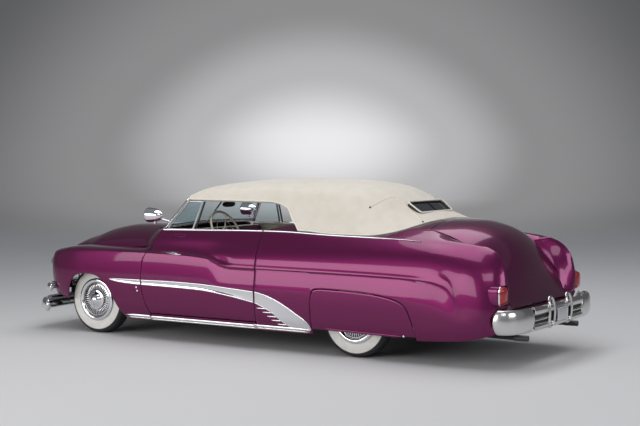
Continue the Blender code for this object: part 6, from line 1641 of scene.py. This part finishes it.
def cushion(name, outline, half_y, pleats):
    """Bench piece: an outline in X and Z drawn across the car, blown up as cloth, with sewn channels."""
    middle = np.mean(outline, axis=0)
    slack = SWELL_CAP
    bm = bmesh.new()
    rings = []
    for y in dense(spread(-half_y, half_y, pleats + 1), 6):
        near = min(1.0, (half_y - abs(y)) / END_ROUND)
        end = END_ROUND * (1 - math.sqrt(max(0.0, 1 - (1 - near) ** 2)))
        ring = []
        for x, z in outline:
            out = np.array([x, z]) - middle
            out = out / np.linalg.norm(out) * (end + slack)
            ring.append(bm.verts.new((x - out[0], y * (1 - slack / half_y), z - out[1])))
        rings.append(ring)
    join_rings(bm, rings)
    bm.faces.new(rings[0])
    bm.faces.new(rings[-1][::-1])
    piece = to_object(name, bm, [LEATHER], 70)
    swell(piece)
    for vert in piece.data.vertices:
        channel = (vert.co.y + half_y) / (2 * half_y) * pleats
        depth = CHANNEL_DEPTH * (1 - abs(math.sin(math.pi * channel)) ** 0.6)
        out = np.array([vert.co.x, vert.co.z]) - middle
        out = out / np.linalg.norm(out) * depth
        vert.co.x -= out[0]
        vert.co.z -= out[1]
    return piece


def swell(piece):
    """Blows a closed piece up as cloth, with no point moved further than the cap."""
    remesh = piece.modifiers.new("even", "REMESH")
    remesh.mode = "VOXEL"
    remesh.voxel_size = 0.014
    apply_modifiers(piece)
    start = [vert.co.copy() for vert in piece.data.vertices]
    cloth = piece.modifiers.new("cloth", "CLOTH")
    cloth.settings.use_pressure = True
    cloth.settings.uniform_pressure_force = 4.0
    cloth.settings.quality = 4
    cloth.settings.effector_weights.gravity = 0.0
    for number in range(1, 21):
        bpy.context.scene.frame_set(number)
    apply_modifiers(piece)
    bpy.context.scene.frame_set(1)
    for vert, first in zip(piece.data.vertices, start):
        move = vert.co - first
        if move.length > SWELL_CAP:
            vert.co = first + move * (SWELL_CAP / move.length)
    fine = piece.modifiers.new("fine", "SUBSURF")
    fine.levels = fine.render_levels = 1
    apply_modifiers(piece)
    piece.data.shade_smooth()


def rounded_loop(points, radius):
    """Closed outline with its corners rounded."""
    out = []
    n = len(points)
    for i in range(n):
        p, a, b = np.array(points[i]), np.array(points[i - 1]), np.array(points[(i + 1) % n])
        r = min(radius, np.linalg.norm(a - p) * 0.45, np.linalg.norm(b - p) * 0.45)
        start = p + (a - p) / np.linalg.norm(a - p) * r
        end = p + (b - p) / np.linalg.norm(b - p) * r
        for t in spread(0, 1, 7):
            out.append(tuple((1 - t)**2 * start + 2 * t * (1 - t) * p + t**2 * end))
    return out


def seats():
    """Front and rear bench, each a cushion and a backrest on a riser."""
    front_seat = [(0.540, 0.440), (0.552, 0.530), (0.490, 0.588), (0.100, 0.562), (0.085, 0.440)]
    front_back = [(0.125, 0.570), (0.035, 0.955), (-0.010, 0.992), (-0.060, 0.986), (-0.087, 0.950),
                  (-0.032, 0.400), (0.060, 0.400)]
    rear_seat = [(-0.282, 0.380), (-0.271, 0.510), (-0.330, 0.567), (-0.700, 0.545), (-0.700, 0.380)]
    rear_back = [(-0.680, 0.548), (-0.790, 0.960), (-0.830, 0.997), (-0.900, 1.001), (-0.977, 0.975),
                 (-0.977, 0.560)]
    show(side_box("seat_riser_front", 1, (-0.010, -0.600, 0.302), (0.480, 0.600, 0.430), BLACK),
         "black_steel", "front_seat")
    show(side_box("seat_riser_rear", 1, (-0.695, -0.600, 0.302), (-0.340, 0.600, 0.400), CARPET),
         "black_steel", "rear_seat")
    for name, outline, half_y, pleats in (("front_cushion", front_seat, 0.660, 20),
                                          ("front_backrest", front_back, 0.660, 20),
                                          ("rear_cushion", rear_seat, 0.675, 20),
                                          ("rear_backrest", rear_back, 0.580, 18)):
        piece = cushion(name, rounded_loop(outline, 0.045), half_y, pleats)
        show(piece, "leather")


def quarter_trim():
    """Dark panel inside each quarter, seen through the rear of the side window."""
    top = [(-0.080, 1.085), (-0.160, 1.105), (-0.260, 1.125), (-0.380, 1.146), (-0.460, 1.150)]
    for side, sign in SIDES:
        grid = []
        for x in spread(-0.080, -0.475, 30):
            high = edge_of(top, max(x, -0.460))
            grid.append([(x, (0.738 - 0.010 * k) * sign, 1.040 + (high - 1.040) * k)
                         for k in spread(0, 1, 10)])
        show(panel("quarter_trim_" + side, grid, 0.006, (0, -sign, 0), CARPET, edge=0.002), "leather")


LINER_FRONT_X, LINER_LOW_Z = -1.590, 0.440


def trunk_liners():
    """Carpeted boards along both sides of the trunk, bowed a little outwards."""
    for side, sign in SIDES:
        grid = []
        for x in spread(LINER_FRONT_X, -2.200, 14):
            high = 0.800 + 0.14 * (x - LINER_FRONT_X)
            grid.append([(x, (0.590 + 0.016 * math.sin(math.pi * k)) * sign,
                          LINER_LOW_Z + (high - LINER_LOW_Z) * k) for k in spread(0, 1, 9)])
        show(panel("trunk_liner_" + side, grid, 0.008, (0, -sign, 0), CARPET, edge=0.002), "leather")


def cabin_trim():
    """Carpets, pedals and the doors' inner trim."""
    show(box("front_carpet", (0.500, -0.700, 0.3005), (1.250, -0.175, 0.3120), CARPET, 0.003),
         "black_steel")
    show(box("front_carpet_left", (0.500, 0.175, 0.3005), (1.250, 0.700, 0.3120), CARPET, 0.003),
         "black_steel")
    for name, x, y, z in (("pedal_brake", 1.120, 0.330, 0.430), ("pedal_clutch", 1.120, 0.450, 0.430),
                          ("pedal_gas", 1.130, 0.210, 0.400)):
        pad = superbox(name, (x, y, z), (0.012, 0.030, 0.036), SEAL, 4)
        show(pad, "black_steel")
        show(tube(name + "_arm", [(x + 0.006, y, z), (x + 0.060, y, z + 0.06), (1.262, y, z + 0.160)],
                  0.006, BLACK, 8), "black_steel")

    def make(side, sign):
        body = "door_" + side

        def inner(x, z, inset=0.0):
            return (x, (door_wall_y(z) - inset) * sign, z)
        for k in range(16):
            x = 0.06 + 0.055 * k
            run = [inner(x, z, -0.001) for z in spread(0.40, 0.86, 12)]
            show(tube(f"door_pleat_{side}_{k}", run, 0.0055, LEATHER, 8), "leather", on=body)
        pull = [inner(0.40, 0.90, 0.0), inner(0.42, 0.905, 0.03), inner(0.58, 0.905, 0.03),
                inner(0.60, 0.90, 0.0)]
        show(tube("door_pull_" + side, smooth_run(pull, 24), 0.008, CHROME, 12), "chrome", on=body)
        crank = [inner(0.75, 0.78), inner(0.75, 0.78, 0.018), inner(0.83, 0.76, 0.022)]
        show(tube("door_crank_" + side, crank, 0.006, CHROME, 10), "chrome", on=body)
        show(tube("door_cap_" + side, [inner(x, 1.055, -0.004) for x in spread(-0.08, 0.98, 30)], 0.011,
                  LEATHER, 10), "leather", on=body)
    for_sides(make)


# Engine bay

CYLINDER_X = [1.52 + 0.095 * k for k in range(6)]
CLEANER_X, CLEANER_Y = 1.760, -0.170
DISTRIBUTOR_X, DISTRIBUTOR_Y = 1.780, 0.170
MANIFOLD_Y, MANIFOLD_Z = -0.225, 0.540
PULLEY_X = 2.110
FAN_SPOT = (2.150, 0.0, 0.620)
BATTERY_TOP_Z = 0.740


def engine_bay():
    """Straight-six engine with its ancillaries, fan, radiator and battery."""
    show(box("block", (1.440, -0.150, 0.400), (2.080, 0.150, 0.640), IRON, 0.02), "engine", "engine_block")
    pan = box("oil_pan", (1.480, -0.120, 0.350), (2.050, 0.120, 0.410), BLACK, 0.015)
    head = box("cylinder_head", (1.450, -0.110, 0.640), (2.070, 0.110, 0.705), IRON, 0.006)
    cover = box("valve_cover", (1.480, -0.070, 0.705), (2.040, 0.070, 0.770), CHROME, 0.02)
    show(merge("engine_main", [pan, head]), "engine")
    show(cover, "chrome")
    for k in range(4):
        fitted(f"cover_nut_{k}", [(0, 0.010), (0.007, 0.008), (0.009, 0.0), (0.009, -0.004)],
               (1.55 + 0.14 * k, 0.0, 0.770), (0, 0, 1), CHROME, 16, "chrome")
    fitted("air_cleaner", [(0, 0.080), (0.015, 0.078), (0.090, 0.070), (0.105, 0.062), (0.108, 0.050),
                           (0.108, 0.010), (0.098, 0.0), (0.030, -0.004), (0.028, -0.060), (0, -0.060)],
           (CLEANER_X, CLEANER_Y, 0.700), (0, 0, 1), SEAL, 48, "engine")
    fitted("cleaner_nut", [(0, 0.016), (0.009, 0.012), (0.010, 0.0)], (CLEANER_X, CLEANER_Y, 0.780),
           (0, 0, 1), CHROME, 16, "chrome")
    ports = []
    for x in CYLINDER_X:
        port = smooth_run([(x, -0.150, 0.600), (x, -0.200, 0.590), (x - 0.01, MANIFOLD_Y, MANIFOLD_Z)], 12)
        ports.append(tube("port", port, 0.017, IRON, 12))
    ports.append(tube("manifold", [(x, MANIFOLD_Y, MANIFOLD_Z) for x in (1.480, 2.020)], 0.024, IRON, 14))
    down = smooth_run([(1.560, MANIFOLD_Y, MANIFOLD_Z), (1.500, -0.240, 0.480), (1.430, -0.265, 0.380),
                       (1.310, -0.265, 0.240)], 20)
    ports.append(tube("down_pipe", down, 0.022, IRON, 14))
    show(merge("exhaust_manifold", ports), "engine")
    for k, x in enumerate(CYLINDER_X):
        fitted(f"spark_plug_{k}", [(0, 0.040), (0.006, 0.038), (0.006, 0.015), (0.011, 0.010),
                                   (0.011, -0.006)], (x, 0.112, 0.672), (0, 0.8, 0.6), PLATE, 12,
               "engine")
        lead = smooth_run([(x, 0.142, 0.695), (x + (DISTRIBUTOR_X - x) * 0.3, 0.190, 0.725),
                           (DISTRIBUTOR_X, DISTRIBUTOR_Y, 0.735), (DISTRIBUTOR_X, DISTRIBUTOR_Y, 0.700)],
                          20)
        show(tube(f"plug_lead_{k}", lead, 0.0035, SEAL, 8), "engine")
    fitted("distributor", [(0, 0.060), (0.012, 0.058), (0.030, 0.040), (0.034, 0.020), (0.030, 0.0),
                           (0.016, -0.010), (0.016, -0.060)], (DISTRIBUTOR_X, DISTRIBUTOR_Y, 0.640),
           (0, 0, 1), SEAL, 32, "engine")
    for name, spot, radius in (("fan_pulley", (PULLEY_X, 0.0, 0.620), 0.055),
                               ("crank_pulley", (PULLEY_X, 0.0, 0.440), 0.065),
                               ("generator_pulley", (PULLEY_X, 0.200, 0.580), 0.035)):
        fitted(name, [(0, 0.014), (radius * 0.5, 0.014), (radius, 0.012), (radius * 0.86, 0.0),
                      (radius, -0.012), (0, -0.014)], spot, (1, 0, 0), BLACK, 40, "engine")
    belt = smooth_loop([(PULLEY_X, 0.0, 0.672), (PULLEY_X, -0.052, 0.620), (PULLEY_X, -0.062, 0.440),
                        (PULLEY_X, 0.0, 0.376), (PULLEY_X, 0.070, 0.430), (PULLEY_X, 0.232, 0.560),
                        (PULLEY_X, 0.215, 0.612)], 60)
    show(loop_tube("fan_belt", belt, 0.0055, SEAL, 8), "engine")
    fitted("generator", [(0, 0.0), (0.045, 0.004), (0.050, 0.012), (0.050, 0.170), (0.042, 0.182),
                         (0, 0.184)], (2.090, 0.200, 0.580), (-1, 0, 0), IRON, 40, "engine")
    blades = []
    for k in range(4):
        a = math.radians(45 + 90 * k)
        bm = bmesh.new()
        bmesh.ops.create_cube(bm, size=1.0)
        bm.transform(Matrix.Translation(FAN_SPOT) @ Matrix.Rotation(a, 4, "X")
                     @ Matrix.Translation((0, 0, 0.095)) @ Matrix.Rotation(math.radians(28), 4, "Z")
                     @ Matrix.Diagonal((0.003, 0.062, 0.130, 1)))
        blades.append(to_object("blade", bm, [BLACK]))
    blades.append(turned("fan_hub", [(0, 0.012), (0.030, 0.010), (0.034, 0.0), (0.030, -0.030),
                                     (0, -0.030)], FAN_SPOT, (1, 0, 0), [BLACK], 32))
    show(merge("fan", blades), "engine")
    radiator()
    battery()


def smooth_loop(points, count):
    """Closed smooth curve through the points."""
    n = len(points)
    ring = points[-2:] + points + points[:3]
    t = np.linspace(2, 2 + n, count, endpoint=False)
    return [tuple(p) for p in along(ring, t)]


def radiator():
    """Finned core with tanks, cap and two hoses."""
    pieces = [box("radiator_core", (2.210, -0.300, 0.380), (2.262, 0.300, 0.715), BLACK, 0.004),
              box("radiator_tank", (2.200, -0.310, 0.715), (2.272, 0.310, 0.775), SEAL, 0.018),
              box("radiator_foot", (2.200, -0.310, 0.355), (2.272, 0.310, 0.385), SEAL, 0.008)]
    for k in range(28):
        y = -0.290 + 0.0215 * k
        pieces.append(box("core_fin", (2.2065, y, 0.388), (2.2100, y + 0.004, 0.712), IRON, 0.0005))
    show(merge("radiator", pieces), "engine")
    fitted("radiator_cap", [(0, 0.016), (0.022, 0.014), (0.026, 0.006), (0.026, 0.0)],
           (2.236, 0.0, 0.775), (0, 0, 1), CHROME, 32, "chrome")
    hose = smooth_run([(2.060, 0.040, 0.700), (2.120, 0.060, 0.735), (2.170, 0.080, 0.745),
                       (2.205, 0.090, 0.745)], 24)
    show(tube("radiator_hose", hose, 0.020, SEAL, 16), "engine")
    low = smooth_run([(2.080, -0.120, 0.460), (2.140, -0.160, 0.440), (2.180, -0.190, 0.420),
                      (2.205, -0.200, 0.415)], 24)
    show(tube("lower_hose", low, 0.020, SEAL, 16), "engine")


def battery():
    """Battery on its tray with plugs, posts and cable, and the master cylinder."""
    case = box("battery_case", (1.330, -0.430, 0.560), (1.500, -0.260, BATTERY_TOP_Z), SEAL, 0.006)
    show(case, "black_steel")
    show(box("battery_tray", (1.300, -0.446, 0.545), (1.520, -0.250, 0.560), BLACK, 0.002), "black_steel")
    for k in range(3):
        fitted(f"battery_plug_{k}", [(0, 0.010), (0.010, 0.009), (0.012, 0.0)],
               (1.365 + 0.05 * k, -0.345, BATTERY_TOP_Z), (0, 0, 1), SEAL, 16, "black_steel")
    for k, y in enumerate((-0.405, -0.285)):
        fitted(f"battery_post_{k}", [(0, 0.016), (0.008, 0.015), (0.009, 0.0)],
               (1.360, y, BATTERY_TOP_Z), (0, 0, 1), PLATE, 16, "black_steel")
    cable = smooth_run([(1.360, -0.405, 0.754), (1.330, -0.420, 0.720), (1.290, -0.380, 0.640),
                        (1.285, -0.300, 0.600)], 24)
    show(tube("battery_cable", cable, 0.006, SEAL, 10), "black_steel")
    show(turned("master_cylinder", [(0, 0.090), (0.024, 0.088), (0.026, 0.080), (0.026, 0.010),
                                    (0.034, 0.006), (0.034, 0.0), (0, 0.0)],
                (FIREWALL_X + 0.015, 0.330, 0.620), (1, 0, 0), [IRON], 32), "black_steel")


# Carried-over pieces

CAD_LOOKS = {
    "sill_L": PAINT, "sill_R": PAINT, "floor_pan": BLACK, "rear_body": BLACK, "chassis_frame": BLACK,
    "engine_bay_panels": BLACK, "knuckle_L": IRON, "knuckle_R": IRON, "front_suspension": BLACK,
    "rear_axle": BLACK, "exhaust_system": IRON, "steering_column": RESIN}


def carried_over():
    """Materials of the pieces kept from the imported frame, and the exhaust tips."""
    for name, mat in CAD_LOOKS.items():
        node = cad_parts[name]
        node.data.materials.clear()
        node.data.materials.append(mat)
    for side, sign in SIDES:
        fitted("exhaust_tip_" + side, [(0.0205, 0.0), (0.0245, 0.0), (0.0248, -0.010), (0.0248, -0.120),
                                       (0.0242, -0.120)], (-2.642, 0.570 * sign, 0.255), (-1, 0, 0.012),
               TIP, 40, "chrome")


# Stage, light and camera

CAMERA_SPOT = Vector((-6.905, 10.70, 1.83))
CAMERA_YAW, CAMERA_PITCH = math.radians(31.93), math.radians(2.76)
CAMERA_LENS = 73.5


def backdrop_material():
    """Pale floor and a wall that glows behind the car; camera, glossy and clear rays see the glow."""
    mat = shader("studio_floor", (0.70, 0.70, 0.71), 0.85)
    tree = mat.node_tree
    spot = add_node(tree, "NewGeometry", {}).outputs["Position"]
    shift = add_node(tree, "VectorMath", {0: spot, 1: GLOW_CENTRE}, operation="SUBTRACT")
    reach = add_node(tree, "VectorMath", {0: shift.outputs["Vector"]}, operation="LENGTH")
    scale = add_node(tree, "Math", {0: reach.outputs["Value"], 1: GLOW_REACH}, operation="DIVIDE")
    ramp = add_node(tree, "ValToRGB", {"Fac": scale.outputs["Value"]})
    ramp.color_ramp.interpolation = "EASE"
    ramp.color_ramp.elements[0].color = (0.95, 0.95, 0.95, 1)
    ramp.color_ramp.elements[1].color = (0.105, 0.106, 0.110, 1)
    for place, level in GLOW_STEPS:
        step = ramp.color_ramp.elements.new(place)
        step.color = (level, level, level * 1.02, 1)
    glow = add_node(tree, "Emission", {"Color": ramp.outputs["Color"]})
    rays = add_node(tree, "LightPath", {})
    seen = rays.outputs["Is Camera Ray"]
    for kind in ("Is Glossy Ray", "Is Transmission Ray"):
        seen = add_node(tree, "Math", {0: seen, 1: rays.outputs[kind]}, operation="MAXIMUM").outputs[0]
    split = add_node(tree, "SeparateXYZ", {0: spot})
    foot = {"Value": split.outputs["Z"], "From Min": WALL_FOOT[0], "From Max": WALL_FOOT[1]}
    height = add_node(tree, "MapRange", foot)
    share = add_node(tree, "Math", {0: seen, 1: height.outputs["Result"]}, operation="MULTIPLY")
    sides = {0: share.outputs["Value"], 1: tree.nodes["Principled BSDF"].outputs["BSDF"],
             2: glow.outputs["Emission"]}
    mix = add_node(tree, "MixShader", sides)
    tree.links.new(mix.outputs["Shader"], tree.nodes["Material Output"].inputs["Surface"])
    return mat


def stage():
    """Floor and wall in one sweep, four soft lights, the world's light and the photograph's camera."""
    profile = [(-60.0, 0.0), (-2.0, 0.0), (6.0, 0.0), (9.0, 0.0), (12.0, 0.15), (15.0, 0.8), (17.5, 2.2),
               (19.0, 4.5), (20.0, 9.0), (20.0, 30.0)]
    ahead = Vector((math.sin(CAMERA_YAW), -math.cos(CAMERA_YAW), 0))
    across = Vector((-ahead.y, ahead.x, 0))
    bm = bmesh.new()
    grid_faces(bm, [[ahead * d + across * w + Vector((0, 0, z)) for w in (-70, 70)] for d, z in profile])
    sweep = to_object("studio_floor", bm, [backdrop_material()], 60)
    sweep.location.z = -0.0005
    world = bpy.data.worlds.new("studio_world")
    world.use_nodes = True
    world.node_tree.nodes["Background"].inputs[0].default_value = (0.80, 0.83, 0.90, 1)
    world.node_tree.nodes["Background"].inputs[1].default_value = 0.26
    bpy.context.scene.world = world
    for name, spot, wide, high, power, colour in (
            ("key", (3.5, 10.0, 2.6), 10.0, 3.4, 400.0, (1.0, 0.98, 0.96)),
            ("side", (-6.0, 9.5, 5.5), 5.0, 2.0, 110.0, (1.0, 1.0, 1.0)),
            ("tail", (-10.0, 1.5, 3.2), 4.5, 2.2, 130.0, (1.0, 0.98, 1.0)),
            ("top", (-0.5, 0.0, 8.0), 12.0, 5.0, 430.0, (1.0, 1.0, 1.0))):
        data = bpy.data.lights.new(name, "AREA")
        data.shape = "RECTANGLE"
        data.size, data.size_y = wide, high
        data.energy = power
        data.color = colour
        aim(link(name, data), spot, Vector((0, 0, 0.6)) - Vector(spot))
    data = bpy.data.cameras.new("photo_camera")
    data.lens = CAMERA_LENS
    data.sensor_width = 36.0
    camera = link("photo_camera", data)
    aim(camera, CAMERA_SPOT, ahead * math.cos(CAMERA_PITCH) - Vector((0, 0, math.sin(CAMERA_PITCH))))
    bpy.context.scene.camera = camera
    bpy.context.scene.view_settings.view_transform = "Standard"


def aim(piece, spot, direction):
    """Sets a light or camera at its spot, looking along the direction, as part of the stage."""
    piece.location = spot
    piece.rotation_euler = direction.to_track_quat("-Z", "Y").to_euler()


front_fenders()
quarter_panels()
fender_skirts()
doors()
hood()
cowl()
deck()
hinge_pieces()
padded_top()
windshield()
vent_windows()
wheels()
bumpers()
grille()
headlamps()
tail_lamps()
spotlights()
trims()
gravel_shields()
steering()
dashboard()
seats()
quarter_trim()
trunk_liners()
cabin_trim()
engine_bay()
carried_over()
stage()
